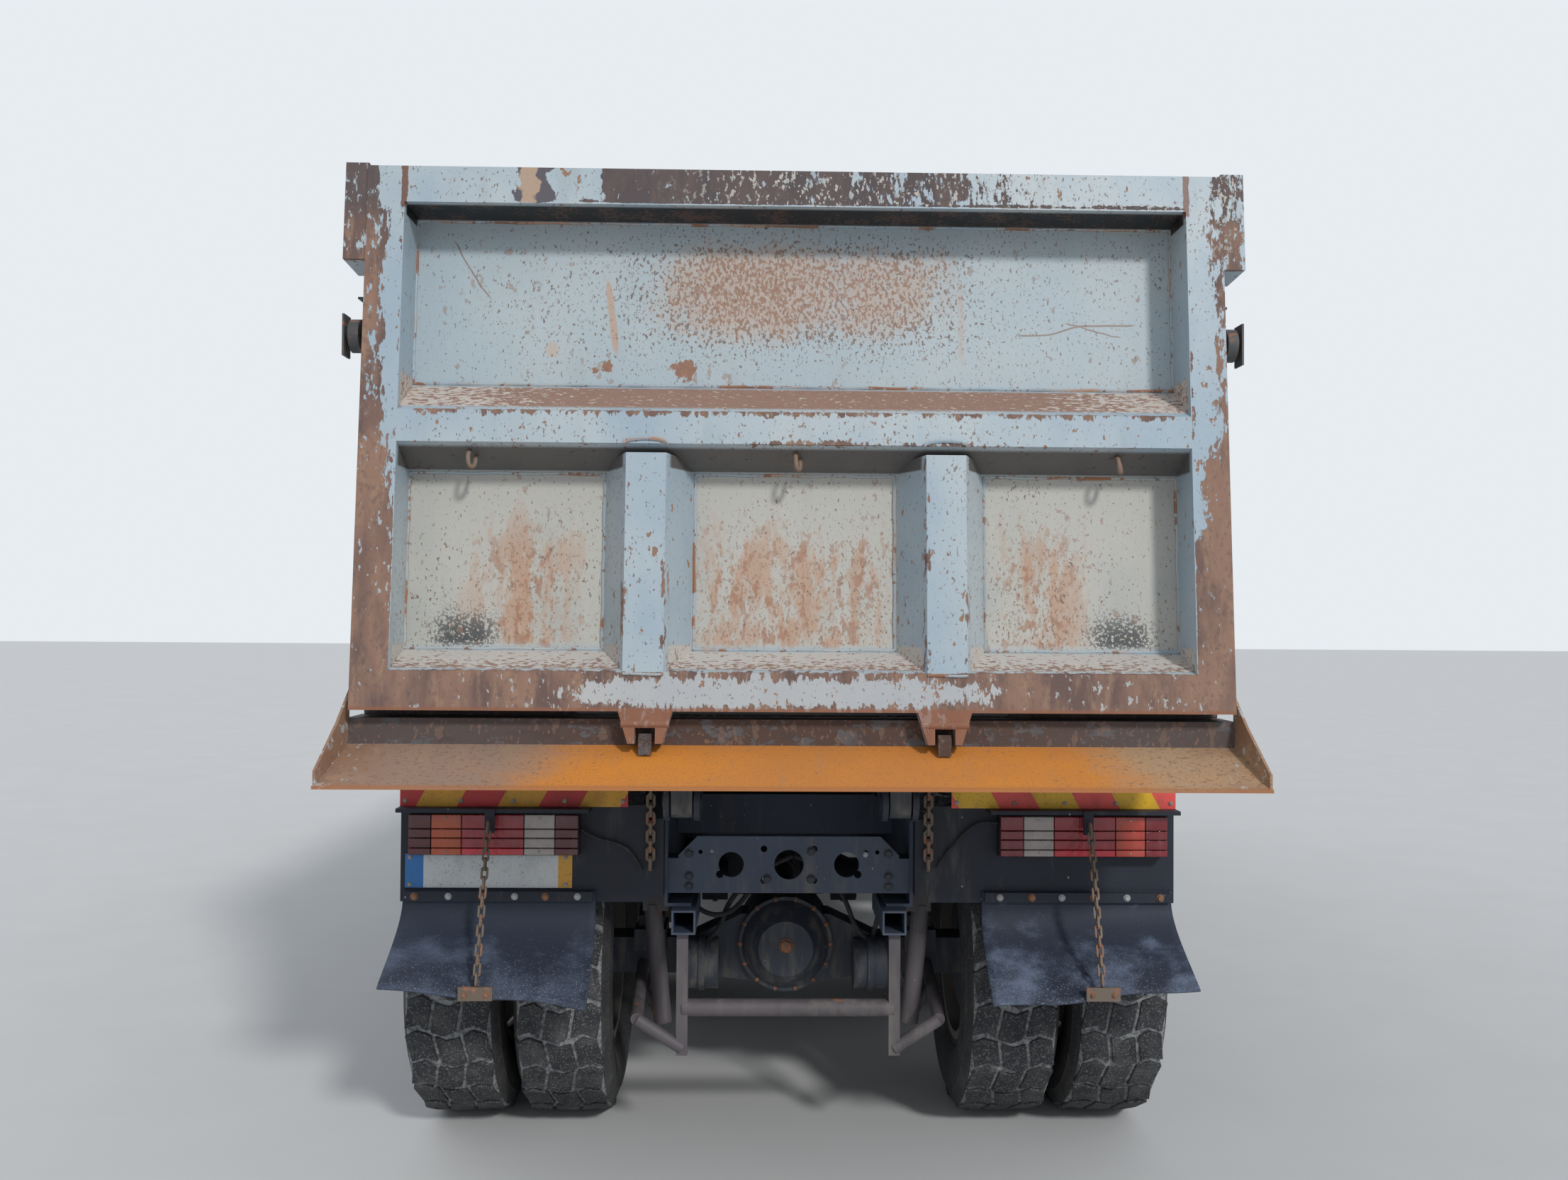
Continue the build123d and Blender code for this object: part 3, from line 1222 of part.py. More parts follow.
def tunnel(grow):
    """The space for the engine under the floor, grown by the floor's thickness."""
    half = TUNNEL_HALF + grow
    return block(-half, half, CAB_REAR_Y - 10, CAB_FRONT_Y - 90 + grow, 0, TUNNEL_TOP + grow)


outer = cab_block(0)
inner = cab_block(CAB_T)
wall = outer - inner
DOOR_LINE = [
    (DOOR_REAR_Y, DOOR_SILL),
    (DOOR_FRONT_Y, DOOR_SILL),
    (DOOR_FRONT_Y, 2160),
    (DOOR_FRONT_Y - 120, DOOR_TOP),
    (DOOR_REAR_Y, DOOR_TOP),
]
WINDOW_LINE = [
    (DOOR_REAR_Y + 80, WINDOW_SILL),
    (DOOR_FRONT_Y - 80, WINDOW_SILL),
    (DOOR_FRONT_Y - 80, 2180),
    (DOOR_FRONT_Y - 182, WINDOW_TOP),
    (DOOR_REAR_Y + 80, WINDOW_TOP),
]
SCREEN = (-960, 960, CAB_FRONT_Y - 420, CAB_FRONT_Y + 50, 2060, DOOR_TOP)
REAR_WINDOW = (-560, 560, CAB_REAR_Y - 50, CAB_REAR_Y + 150, 2080, DOOR_TOP - 160)


def grown(limits, amount):
    x0, x1, y0, y1, z0, z1 = limits
    return block(x0 - amount, x1 + amount, y0, y1, z0 - amount, z1 + amount)


skirt = cab_plan(0, CAB_FRONT_Y, CAB_SKIRT_Z, CAB_FLOOR + 1)
skirt = skirt - cab_plan(CAB_SKIRT_T, CAB_FRONT_Y, CAB_SKIRT_Z - 1, CAB_FLOOR + 2)
skirt = skirt & block(-FAR, FAR, STEP_Y1 + 12, FAR, 0, FAR)
tilt_arm = prism_x(
    [
        (TILT_Y - 32, TILT_Z),
        (TILT_Y + 32, TILT_Z),
        (TILT_Y - 260, CAB_FLOOR - SEAT_GAP),
        (TILT_Y - 420, CAB_FLOOR - SEAT_GAP),
    ],
    TILT_ARM_X - TILT_ARM_T / 2,
    TILT_ARM_X + TILT_ARM_T / 2,
)
tilt_arm = tilt_arm + rod_x(
    TILT_Y, TILT_Z, TILT_PIN_R + 22, TILT_ARM_X - TILT_ARM_T / 2, TILT_ARM_X + TILT_ARM_T / 2
)
tilt_arm = tilt_arm - rod_x(TILT_Y, TILT_Z, TILT_PIN_R + RUN_GAP, 0, FAR)
shell = (outer - tunnel(0)) - (inner - tunnel(CAB_T))
shell = shell - prism_x(DOOR_LINE, -FAR, FAR) - block(*SCREEN) - block(*REAR_WINDOW)
# Door hinges: two a side, a pin between ears on the shell and a barrel on the door
hinge_seats = []
door_barrels = []
for z in DOOR_HINGES:
    z0 = z - DOOR_BARREL_H / 2
    z1 = z + DOOR_BARREL_H / 2
    low = z0 - DOOR_EAR_T
    high = z1 + DOOR_EAR_T
    foot = block(CAB_HALF - 1, DOOR_LEAF_X, DOOR_FRONT_Y + 2, DOOR_FRONT_Y + 60, low, high)
    hinge_seats += [foot, rod_z(DOOR_PIN_X, DOOR_PIN_Y, DOOR_PIN_R, low, high)]
    for ear_z in (low, z1 + RUN_GAP):
        ear_top = ear_z + DOOR_EAR_T - RUN_GAP
        hinge_seats.append(rod_z(DOOR_PIN_X, DOOR_PIN_Y, DOOR_BARREL_R, ear_z, ear_top))
        hinge_seats.append(
            block(CAB_HALF + 1, DOOR_PIN_X + DOOR_BARREL_R, DOOR_PIN_Y, DOOR_FRONT_Y + 20, ear_z, ear_top)
        )
    leaf = block(CAB_HALF - 1, DOOR_LEAF_X, DOOR_PIN_Y - 60, DOOR_PIN_Y, z0, z1)
    barrel = leaf + rod_z(DOOR_PIN_X, DOOR_PIN_Y, DOOR_BARREL_R, z0, z1)
    door_barrels.append(barrel - rod_z(DOOR_PIN_X, DOOR_PIN_Y, DOOR_PIN_R + RUN_GAP, z0 - 1, z1 + 1))
right_seats = fused(hinge_seats)
save("cab_shell", fused([shell, skirt, right_seats, mirrored(right_seats)]), *pair(tilt_arm))

glass_layer = cab_block(GLASS_DEPTH) - cab_block(GLASS_DEPTH + GLASS_T)
save("cab_glass", glass_layer & grown(SCREEN, -SEAT_GAP), glass_layer & grown(REAR_WINDOW, -SEAT_GAP))

door_outline = offset_line(DOOR_LINE, -DOOR_GAP, closed=True)
door = (wall & prism_x(door_outline, 0, FAR)) - prism_x(WINDOW_LINE, 0, FAR)
door = fused([door, *door_barrels])
pane = glass_layer & prism_x(offset_line(WINDOW_LINE, -SEAT_GAP, closed=True), 0, FAR)
save("door_right", door)
save("door_left", mirrored(door))
save("door_right_glass", pane)
save("door_left_glass", mirrored(pane))

# Grille on the cab's face: a frame with level bars
GRILLE_HALF = 760.0
GRILLE_Z0 = 1230.0
GRILLE_Z1 = 1680.0
GRILLE_T = 19.0
GRILLE_SLOTS = 5
grille = block(
    -GRILLE_HALF, GRILLE_HALF, CAB_FRONT_Y + SEAT_GAP, CAB_FRONT_Y + SEAT_GAP + GRILLE_T, GRILLE_Z0, GRILLE_Z1
)
slot_pitch = (GRILLE_Z1 - GRILLE_Z0 - 60) / GRILLE_SLOTS
for i in range(GRILLE_SLOTS):
    z0 = GRILLE_Z0 + 30 + i * slot_pitch
    for x0, x1 in ((40 - GRILLE_HALF, -20), (20, GRILLE_HALF - 40)):
        grille = grille - block(x0, x1, CAB_FRONT_Y - 5, FRONT_Y + 50, z0 + 12, z0 + slot_pitch - 12)

# Inside the cab: dashboard with the steering wheel, seat bases, and the seats
cab_floor_top = CAB_FLOOR + CAB_T
dash = prism_x(
    [
        (CAB_FRONT_Y - 500, 1560),
        (CAB_FRONT_Y - 430, 1930),
        (CAB_FRONT_Y - 130, 1960),
        (CAB_FRONT_Y - 60, 1700),
        (CAB_FRONT_Y - 60, cab_floor_top),
        (CAB_FRONT_Y - 140, TUNNEL_TOP + CAB_T),
        (CAB_FRONT_Y - 300, 1560),
    ],
    -CAB_HALF,
    CAB_HALF,
)
dash = dash & cab_block(CAB_T + SEAT_GAP) - tunnel(CAB_T + SEAT_GAP)
door_side = CAB_HALF - CAB_T - DOOR_GAP
for side in (1, -1):
    low = min(side * door_side, side * CAB_HALF)
    dash = dash - block(low, low + CAB_HALF - door_side, CAB_REAR_Y, DOOR_FRONT_Y + DOOR_GAP, 0, FAR)
WHEEL_X = -620.0
column = rod_between((WHEEL_X, CAB_FRONT_Y - 400, 1700), (WHEEL_X, CAB_FRONT_Y - 640, 2000), 28)
ring_plane = Plane(origin=(WHEEL_X, CAB_FRONT_Y - 640, 2000), z_dir=(0, -160, 200))
ring = ring_plane * (Cylinder(215, 24) - Cylinder(190, 30))
spoke = ring_plane * Box(400, 50, 14)
SEAT_X = 700.0
SEAT_Y = CAB_FRONT_Y - 1050.0
seat_bases = [
    block(
        side * SEAT_X - 150,
        side * SEAT_X + 150,
        SEAT_Y - 180,
        SEAT_Y + 200,
        cab_floor_top + SEAT_GAP,
        1500,
    )
    for side in (1, -1)
]
save("cab_interior", fused([dash, column, ring, spoke]), *seat_bases)
seat = prism_x(
    [
        (SEAT_Y - 240, 1500.3),
        (SEAT_Y + 260, 1500.3),
        (SEAT_Y + 280, 1650),
        (SEAT_Y - 130, 1630),
        (SEAT_Y - 230, 2330),
        (SEAT_Y - 330, 2330),
        (SEAT_Y - 260, 1620),
    ],
    SEAT_X - 230,
    SEAT_X + 230,
)
save("cab_seats", *pair(seat))

# Mirrors on two arms each, ahead of the doors
MIRROR_X0 = 1195.0
MIRROR_X1 = 1305.0
MIRROR_Y = CAB_FRONT_Y - 210.0
mirror_head = block(MIRROR_X0, MIRROR_X1, MIRROR_Y - 40, MIRROR_Y + 40, 2030, 2430)
upper_arm = block(CAB_HALF - 60, MIRROR_X1 - 40, MIRROR_Y - 14, MIRROR_Y + 14, 2425, 2455)
lower_arm = block(CAB_HALF - 30, MIRROR_X1 - 40, MIRROR_Y - 14, MIRROR_Y + 14, 2005, 2035)
mirror_set = fused([mirror_head, upper_arm, lower_arm]) - cab_block(-SEAT_GAP)
save("cab_trim", grille, *pair(mirror_set))

# Bumper with lamp pockets and an opening for the towing jaw, and the headlamps
LAMP_POCKET = (620.0, 980.0, 540.0, 700.0)
bumper = cab_plan(0, FRONT_Y, BUMPER_BOTTOM, BUMPER_TOP) - cab_plan(
    BUMPER_T, FRONT_Y, BUMPER_BOTTOM - 1, BUMPER_TOP + 1
)
bumper = bumper & block(-FAR, FAR, FRONT_Y - 250, FAR, 0, FAR)
px0, px1, pz0, pz1 = LAMP_POCKET
pocket = block(px0, px1, FRONT_Y - 100, FRONT_Y + 10, pz0, pz1)
bumper = bumper - pocket - mirrored(pocket)
bumper = bumper - block(-110, 110, FRONT_Y - 100, FRONT_Y + 10, TOW_Z - 110, TOW_Z + 110)
save("bumper", bumper)
headlamp = block(px0 + SEAT_GAP, px1 - SEAT_GAP, FRONT_Y - 90, FRONT_Y - 6, pz0 + SEAT_GAP, pz1 - SEAT_GAP)

# Steps under the doors, ahead of the first axle's tyres
STEP_X1 = CAB_HALF - 5
steps = block(STEP_X, STEP_X1, STEP_Y0, STEP_Y1, BUMPER_BOTTOM, CAB_FLOOR - 50)
for z0, z1 in ((BUMPER_BOTTOM + 50, 690), (740, 1020)):
    steps = steps - block(STEP_X1 - 200, STEP_X1 + 10, STEP_Y0 + 40, STEP_Y1 - 40, z0, z1)
save("cab_steps", *pair(steps))


# Mudguards: a full arch over the second axle's tyres and a quarter behind the first's
def arch(y, inner_r, start, end, x0, x1):
    """A strip of rolled sheet about the wheel's axis between two angles from straight ahead."""
    ring = rod_x(y, TYRE_R, inner_r + 8, x0, x1) - rod_x(y, TYRE_R, inner_r, x0 - 1, x1 + 1)
    reach = 2 * inner_r
    rays = [(y, TYRE_R)]
    steps_count = 4
    for i in range(steps_count + 1):
        turn = Vector(reach, 0, 0).rotate(Axis.Z, start + (end - start) * i / steps_count)
        rays.append((y + turn.X, TYRE_R + turn.Y))
    return ring & prism_x(rays, x0, x1)


ARCH_R = STEER_RADIUS + 12
ARCH_X0 = FRONT_WHEEL_X - TYRE_W / 2
ARCH_X1 = FRONT_WHEEL_X + TYRE_W / 2 + 20
subframe_side = RAIL_X - 5 + SEAT_GAP
guard_2 = arch(Y2, ARCH_R, 12, 168, ARCH_X0, ARCH_X1)
stays = [
    rod_x(Y2 + side * 0.5 * ARCH_R, TYRE_R + 0.866 * ARCH_R + 17, 14, subframe_side, ARCH_X0 + 60)
    for side in (1, -1)
]
guard_1 = arch(Y1, ARCH_R, 118, 172, ARCH_X0, ARCH_X1)
stay_1 = rod_x(Y1 - 0.707 * ARCH_R - 11, TYRE_R + 0.707 * ARCH_R + 11, 14, RAIL_X + SEAT_GAP, ARCH_X0 + 60)
save("mudguards", *pair(fused([guard_2, *stays])), *pair(guard_1 + stay_1))

# Right side: fuel tank, fluid tank and air cleaner; left side: battery box, silencer and air tanks
TANK_R = 90.0


def side_tank(y0, y1, x1, z0, z1, radius):
    shape = block(TANK_X, x1, y0, y1, z0, z1)
    return fillet(shape.edges().filter_by(Axis.Y), radius)


fuel_tank = side_tank(Y3 + 1080, Y3 + 2040, 1150, 480, 1080, TANK_R)
fluid_tank = side_tank(Y3 + 640, Y3 + 980, 900, 640, 1060, 40)
fluid_cap = rod_z(760, Y3 + 880, 40, 1059, 1090)
save("right_tanks", fuel_tank, fluid_tank + fluid_cap)
battery_box = side_tank(Y3 + 1660, Y3 + 2100, 1100, 620, 1060, 20)
silencer = side_tank(Y3 + 1160, Y3 + 1600, 1120, 500, 1060, 120)
AIR_TANK_R = 125.0
AIR_TANK_Z = 760.0
air_tank = rod_y(TANK_X + AIR_TANK_R, AIR_TANK_Z, AIR_TANK_R, Y3 + 620, Y3 + 1110)
air_tank_2 = rod_y(TANK_X + 3 * AIR_TANK_R - 1, AIR_TANK_Z, AIR_TANK_R, Y3 + 620, Y3 + 1110)
saddle = block(TANK_X, TANK_X + AIR_TANK_R, Y3 + 780, Y3 + 820, 570, AIR_TANK_Z)
left_gear = [battery_box, silencer, fused([air_tank, air_tank_2, saddle])]
save("left_side_gear", *[mirrored(piece) for piece in left_gear])

CLEANER_X = 800.0
CLEANER_Y = CAB_REAR_Y - 220.0
CLEANER_R = 165.0
canister = rod_z(CLEANER_X, CLEANER_Y, CLEANER_R, 1260, 1950)
duct = block(CLEANER_X - 110, CLEANER_X + 110, CLEANER_Y - 75, CLEANER_Y + 75, 1949, 2600)
snorkel = block(CLEANER_X - 160, CLEANER_X + 160, CLEANER_Y - 110, CLEANER_Y + 110, 2599, 2850)
for i in range(5):
    z = 2630 + i * 42
    snorkel = snorkel - block(CLEANER_X - 130, CLEANER_X + 130, CLEANER_Y - 120, CLEANER_Y - 90, z, z + 20)
leg = prism_y(
    [
        (RAIL_X + SEAT_GAP, 1040),
        (RAIL_X + 60, 1040),
        (CLEANER_X + 60, 1262),
        (CLEANER_X - 60, 1262),
        (RAIL_X + SEAT_GAP, 1090),
    ],
    CLEANER_Y - 30,
    CLEANER_Y + 30,
)
save("air_cleaner", fused([canister, duct, snorkel, leg]))

# Rear links: stabiliser bar with its two links and cross tube, and the dampers beside them
LINK_Y = Y4 - 540.0
LINK_X = 335.0
socket_bottom = SOCKET_Z - SOCKET_W / 2 - SEAT_GAP
link = block(LINK_X - 18, LINK_X + 18, LINK_Y - 12, LINK_Y + 12, 345, socket_bottom)
bend = (477.0, LINK_Y, 455.0)
bar_low = rod_between((LINK_X, LINK_Y, 365), bend, 20)
bar_end = rod_between(bend, (500.0, Y4 - 72, 500.0), 20)
damper_foot = (412.0, Y4 - 300, 372.0)
damper_head = (450.0, Y4 - 300, FRAME_BOTTOM - 40)
damper = rod_between(damper_foot, damper_head, 30)
damper_lug = block(RAIL_X + SEAT_GAP, 480, Y4 - 325, Y4 - 275, FRAME_BOTTOM - 60, FRAME_BOTTOM + 40)
damper_arm = rod_between(damper_foot, (bend[0] + 12, Y4 - 240, 478.0), 14)
cross_tube = rod_x(LINK_Y + 8, 490, 27, -LINK_X, LINK_X)
rear_side = fused([link, bar_low, bar_end, damper, damper_lug, damper_arm])
save("rear_links", fused([cross_tube, *pair(rear_side)]))

# Lamp brackets behind the last tyres: plates with a hood, arms to the frame and the lamps' backs
plate_back = BRACKET_Y + BRACKET_T
FLAP_CHAIN_X = 920.0
HOOK_Y = BRACKET_Y - 96.0
bracket = fused(
    [
        block(FLAP_CHAIN_X - 15, FLAP_CHAIN_X + 15, HOOK_Y, HOOK_Y + 7, BRACKET_Z1 - 60, BRACKET_Z1 + 12),
        block(BRACKET_X0, BRACKET_X1, BRACKET_Y, plate_back, BRACKET_Z0, BRACKET_Z1),
        block(LAMP_X0 - 35, LAMP_X1 + 30, BRACKET_Y - 90, BRACKET_Y + 1, BRACKET_Z1, BRACKET_Z1 + 12),
        block(BRACKET_X0, BRACKET_X1, BRACKET_Y, BRACKET_Y + 30, BRACKET_Z1 - 1, BRACKET_Z1 + 12),
        block(
            RAIL_X + SEAT_GAP,
            BRACKET_X0 + 10,
            BRACKET_Y,
            BRACKET_Y + 150,
            BRACKET_Z0 + 20,
            BRACKET_Z1 - 30,
        ),
        block(LAMP_X0, LAMP_X1, BRACKET_Y - 20, BRACKET_Y + 1, LAMP_Z0, LAMP_Z1),
    ]
)
strip = block(FLAP_X0, FLAP_X1, BRACKET_Y - FLAP_T - 16, BRACKET_Y - FLAP_T - 2 * SEAT_GAP, 836, 866)
save("lamp_brackets", *pair(bracket), *pair(strip))
LENSES = 5
lens_w = (LAMP_X1 - LAMP_X0) / LENSES
lenses = [
    block(
        LAMP_X0 + i * lens_w + 2,
        LAMP_X0 + (i + 1) * lens_w - 2,
        BRACKET_Y - LAMP_DEPTH,
        BRACKET_Y - 20 - SEAT_GAP,
        LAMP_Z0 + 4,
        LAMP_Z1 - 4,
    )
    for i in range(LENSES)
]
save("lamps", *pair(headlamp), *lenses, *[mirrored(lens) for lens in lenses])

# Marker boards above the lamps and the blank number plate below the left ones
BOARD_Y = BRACKET_Y - 40.0
board = block(504, 1208, BOARD_Y, BOARD_Y + 4, BRACKET_Z1 + 12 + SEAT_GAP, LIP_Z - 6)
number_plate = block(-1200, -680, BRACKET_Y - 3 - SEAT_GAP, BRACKET_Y - SEAT_GAP, 872, 980)
save("rear_plates", *pair(board), number_plate)

# Mudflaps: rubber sheets pulled rearwards at the foot
FLAP_PULL = 244.7
flap_y = BRACKET_Y - SEAT_GAP
flap_foot_y = flap_y - FLAP_PULL
front_edge = [
    Line((flap_y, 868), (flap_y, 800)),
    ThreePointArc((flap_y, 800), (flap_y - 75, 690), (flap_foot_y, FLAP_FOOT_Z)),
]
outline = front_edge + [
    Line((flap_foot_y, FLAP_FOOT_Z), (flap_foot_y - FLAP_T, FLAP_FOOT_Z)),
    ThreePointArc((flap_foot_y - FLAP_T, FLAP_FOOT_Z), (flap_y - 75 - FLAP_T, 690), (flap_y - FLAP_T, 800)),
    Line((flap_y - FLAP_T, 800), (flap_y - FLAP_T, 868)),
    Line((flap_y - FLAP_T, 868), (flap_y, 868)),
]
flap = Pos(FLAP_X0, 0, 0) * extrude(Plane.YZ * make_face(outline), FLAP_X1 - FLAP_X0)
save("mudflaps", *pair(flap))


# Chains: open links, each turned a quarter about the chain's run from the one before
def chain(start, end, length, width, wire):
    start = Vector(*start)
    run = Vector(*end) - start
    pitch = length - 2 * wire - SEAT_GAP
    count = int((run.length - length) / pitch) + 1
    half = length / 2
    cut = width / 4
    outline = [
        (half, cut - width / 2),
        (half, width / 2 - cut),
        (half - cut, width / 2),
        (cut - half, width / 2),
        (-half, width / 2 - cut),
        (-half, cut - width / 2),
        (cut - half, -width / 2),
        (half - cut, -width / 2),
    ]
    ring = extrude(make_face(Polyline(*outline, close=True)), wire / 2, both=True)
    ring = ring - Box(length - 2 * wire, width - 2 * wire, 2 * wire)
    along = Plane(origin=start, x_dir=run.normalized(), z_dir=Vector(1, 0, 0))
    links = []
    for i in range(count):
        place = along * Pos(half + i * pitch, 0, 0) * Rot(90 * (i % 2), 0, 0)
        links.append(place * ring)
    return links


LOCK_X = 435.0
LOCK_LINK_W = 30.0
FLAP_LINK_W = 22.0
TAB_TOP = 640.0
lock_y = BRACKET_Y - SEAT_GAP - LOCK_LINK_W / 2
lock_chain = chain((LOCK_X, lock_y, RUNNER_BOTTOM - 36), (LOCK_X, lock_y, 915), 46, LOCK_LINK_W, 9)
tab_y = flap_foot_y - FLAP_T - SEAT_GAP
flap_tab = block(872, 972, tab_y - 10, tab_y, FLAP_FOOT_Z, TAB_TOP)
flap_top_y = HOOK_Y - SEAT_GAP - FLAP_LINK_W / 2
flap_chain = chain(
    (FLAP_CHAIN_X, tab_y - 5, TAB_TOP + 2 * SEAT_GAP), (FLAP_CHAIN_X, flap_top_y, BRACKET_Z1), 40, FLAP_LINK_W, 6
)
chains = pair(flap_tab)
for piece in lock_chain + flap_chain:
    chains += pair(piece)
save("chains", *chains)
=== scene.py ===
# %% [markdown]
# A four-axle dump truck, seen from behind.
#
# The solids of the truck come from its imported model, in metres: X to the truck's right, Y forward, Z up.
# They could all be modelled again here, but then the steps below and the moving bodies would drift apart.
# So what is right stays, and this lesson adds finishes, soft edges and the small pieces.

# %% Load the frame
import json
from math import atan2, cos, hypot, pi, radians, sin, tau

import bmesh
import bpy
from mathutils import Matrix, Vector

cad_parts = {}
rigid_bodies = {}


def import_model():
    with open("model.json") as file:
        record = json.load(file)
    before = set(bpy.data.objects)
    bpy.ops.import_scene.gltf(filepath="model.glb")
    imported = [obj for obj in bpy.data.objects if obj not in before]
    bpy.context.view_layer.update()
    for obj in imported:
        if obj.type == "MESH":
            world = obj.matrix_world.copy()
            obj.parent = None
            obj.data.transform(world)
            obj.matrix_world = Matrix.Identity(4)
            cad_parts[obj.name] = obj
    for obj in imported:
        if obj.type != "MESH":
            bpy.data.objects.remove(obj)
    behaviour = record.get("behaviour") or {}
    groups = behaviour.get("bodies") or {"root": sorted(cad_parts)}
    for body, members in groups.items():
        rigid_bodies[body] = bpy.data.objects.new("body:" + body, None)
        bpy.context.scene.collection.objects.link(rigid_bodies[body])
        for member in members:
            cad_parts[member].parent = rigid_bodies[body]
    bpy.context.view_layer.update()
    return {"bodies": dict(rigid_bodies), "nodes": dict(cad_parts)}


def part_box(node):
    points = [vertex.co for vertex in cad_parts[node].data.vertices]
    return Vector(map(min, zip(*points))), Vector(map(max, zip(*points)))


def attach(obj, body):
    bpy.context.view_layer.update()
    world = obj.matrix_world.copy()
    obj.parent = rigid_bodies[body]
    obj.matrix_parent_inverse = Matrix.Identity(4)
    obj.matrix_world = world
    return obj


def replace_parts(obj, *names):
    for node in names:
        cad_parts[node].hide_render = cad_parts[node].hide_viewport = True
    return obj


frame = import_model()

# %% [markdown]
# Helpers for modelling.
#
# A mesh operator works on all that is selected, and loading leaves the truck's solids selected.
# So each helper first deselects everything, and picks faces by their place and direction.

# %% Pick, apply and ease
def pick_only(*objects):
    bpy.ops.object.select_all(action="DESELECT")
    for obj in objects:
        obj.select_set(True)
    bpy.context.view_layer.objects.active = objects[0]


def ease(obj, width, segments=2, angle=30):
    """Bevel the edges that are sharper than an angle."""
    pick_only(obj)
    bevel = obj.modifiers.new("eased edges", "BEVEL")
    bevel.width = width
    bevel.segments = segments
    bevel.limit_method = "ANGLE"
    bevel.angle_limit = radians(angle)
    bpy.ops.object.modifier_apply(modifier=bevel.name)


def settle(obj, name, bevel=0.0, segments=2, smooth=35):
    """Put the object's place into its mesh, ease its edges and shade it."""
    pick_only(obj)
    bpy.ops.object.transform_apply(location=True, rotation=True, scale=True)
    if bevel:
        ease(obj, bevel, segments)
    bpy.ops.object.shade_smooth_by_angle(angle=radians(smooth))
    obj.name = name
    return obj


def choose(obj, kind, test):
    """In edit mode, select the faces or vertices whose place and normal pass a test."""
    bpy.ops.mesh.select_mode(type=kind)
    bpy.ops.mesh.select_all(action="DESELECT")
    mesh = bmesh.from_edit_mesh(obj.data)
    for item in mesh.faces if kind == "FACE" else mesh.verts:
        place = item.calc_center_median() if kind == "FACE" else item.co
        item.select_set(bool(test(place, item.normal)))
    mesh.select_flush_mode()
    bmesh.update_edit_mesh(obj.data)


def edit(obj):
    pick_only(obj)
    bpy.ops.object.mode_set(mode="EDIT")


def leave():
    bpy.ops.object.mode_set(mode="OBJECT")


# %% Starting shapes
def slab(name, low, high, bevel=0.002, segments=2):
    """A bar or plate between two corners."""
    low, high = Vector(low), Vector(high)
    pick_only(*frame["bodies"].values())
    bpy.ops.mesh.primitive_cube_add(size=1, location=(low + high) / 2, scale=high - low)
    return settle(bpy.context.object, name, bevel, segments)


def rod(name, start, end, radius, sides=20, bevel=0.0, tip=None):
    """A round bar between two points; with a tip it tapers to that radius."""
    run = Vector(end) - Vector(start)
    turn = run.to_track_quat("Z", "Y").to_euler()
    middle = (Vector(start) + Vector(end)) / 2
    tip = radius if tip is None else tip
    bpy.ops.mesh.primitive_cone_add(
        vertices=sides, radius1=radius, radius2=tip, depth=run.length, location=middle, rotation=turn
    )
    return settle(bpy.context.object, name, bevel, 2)


def wire(name, points, radius, order=3, closed=False, sides=3, smooth=True):
    """A bent round bar or hose along a curve, turned into a mesh."""
    line = bpy.data.curves.new(name, "CURVE")
    line.dimensions = "3D"
    spline = line.splines.new("NURBS" if smooth else "POLY")
    spline.points.add(len(points) - 1)
    for point, place in zip(spline.points, points):
        point.co = (*place, 1)
    if smooth:
        spline.order_u = order
        spline.use_endpoint_u = not closed
    spline.use_cyclic_u = closed
    line.bevel_depth = radius
    line.bevel_resolution = sides
    line.resolution_u = 6
    line.use_fill_caps = not closed
    obj = bpy.data.objects.new(name, line)
    bpy.context.scene.collection.objects.link(obj)
    pick_only(obj)
    bpy.ops.object.convert(target="MESH")
    return settle(bpy.context.object, name, smooth=50)


def lathe(name, profile, steps=48, axis=(1, 0, 0), centre=(0, 0, 0), whole=True):
    """Spin an outline of (along, radius) points about an axis through the centre."""
    axis = Vector(axis)
    out = Vector((0, 0, 1)) if abs(axis.z) < 0.5 else Vector((1, 0, 0))
    centre = Vector(centre)
    outline = [centre + axis * along + out * radius for along, radius in profile]
    line = bpy.data.curves.new(name, "CURVE")
    line.dimensions = "3D"
    spline = line.splines.new("POLY")
    spline.points.add(len(outline) - 1)
    for point, place in zip(spline.points, outline):
        point.co = (*place, 1)
    spline.use_cyclic_u = whole
    obj = bpy.data.objects.new(name, line)
    bpy.context.scene.collection.objects.link(obj)
    pick_only(obj)
    bpy.ops.object.convert(target="MESH")
    obj = bpy.context.object
    edit(obj)
    bpy.ops.mesh.select_all(action="SELECT")
    bpy.ops.mesh.spin(steps=steps, angle=tau, center=centre, axis=axis)
    bpy.ops.mesh.select_all(action="SELECT")
    bpy.ops.mesh.remove_doubles(threshold=0.00005)
    bpy.ops.mesh.normals_make_consistent(inside=False)
    leave()
    return settle(obj, name)


# %% Copies and joins
def placed(source, name, matrix):
    """A copy with a mesh of its own, moved inside that mesh."""
    copy = source.copy()
    copy.data = source.data.copy()
    copy.data.transform(matrix)
    if matrix.determinant() < 0:
        copy.data.flip_normals()
    copy.name = name
    bpy.context.scene.collection.objects.link(copy)
    return copy


def joined(name, parts):
    """One piece from several; the first one gives its place in the list of objects."""
    pick_only(*parts)
    if len(parts) > 1:
        bpy.ops.object.join()
    obj = bpy.context.object
    obj.name = name
    return obj


def discard(obj):
    bpy.data.objects.remove(obj, do_unlink=True)


def repeated(name, source, matrices):
    """The source at each of several places, as one piece."""
    copies = [placed(source, name, matrix) for matrix in matrices]
    discard(source)
    return joined(name, copies)


def at(x, y, z):
    return Matrix.Translation((x, y, z))


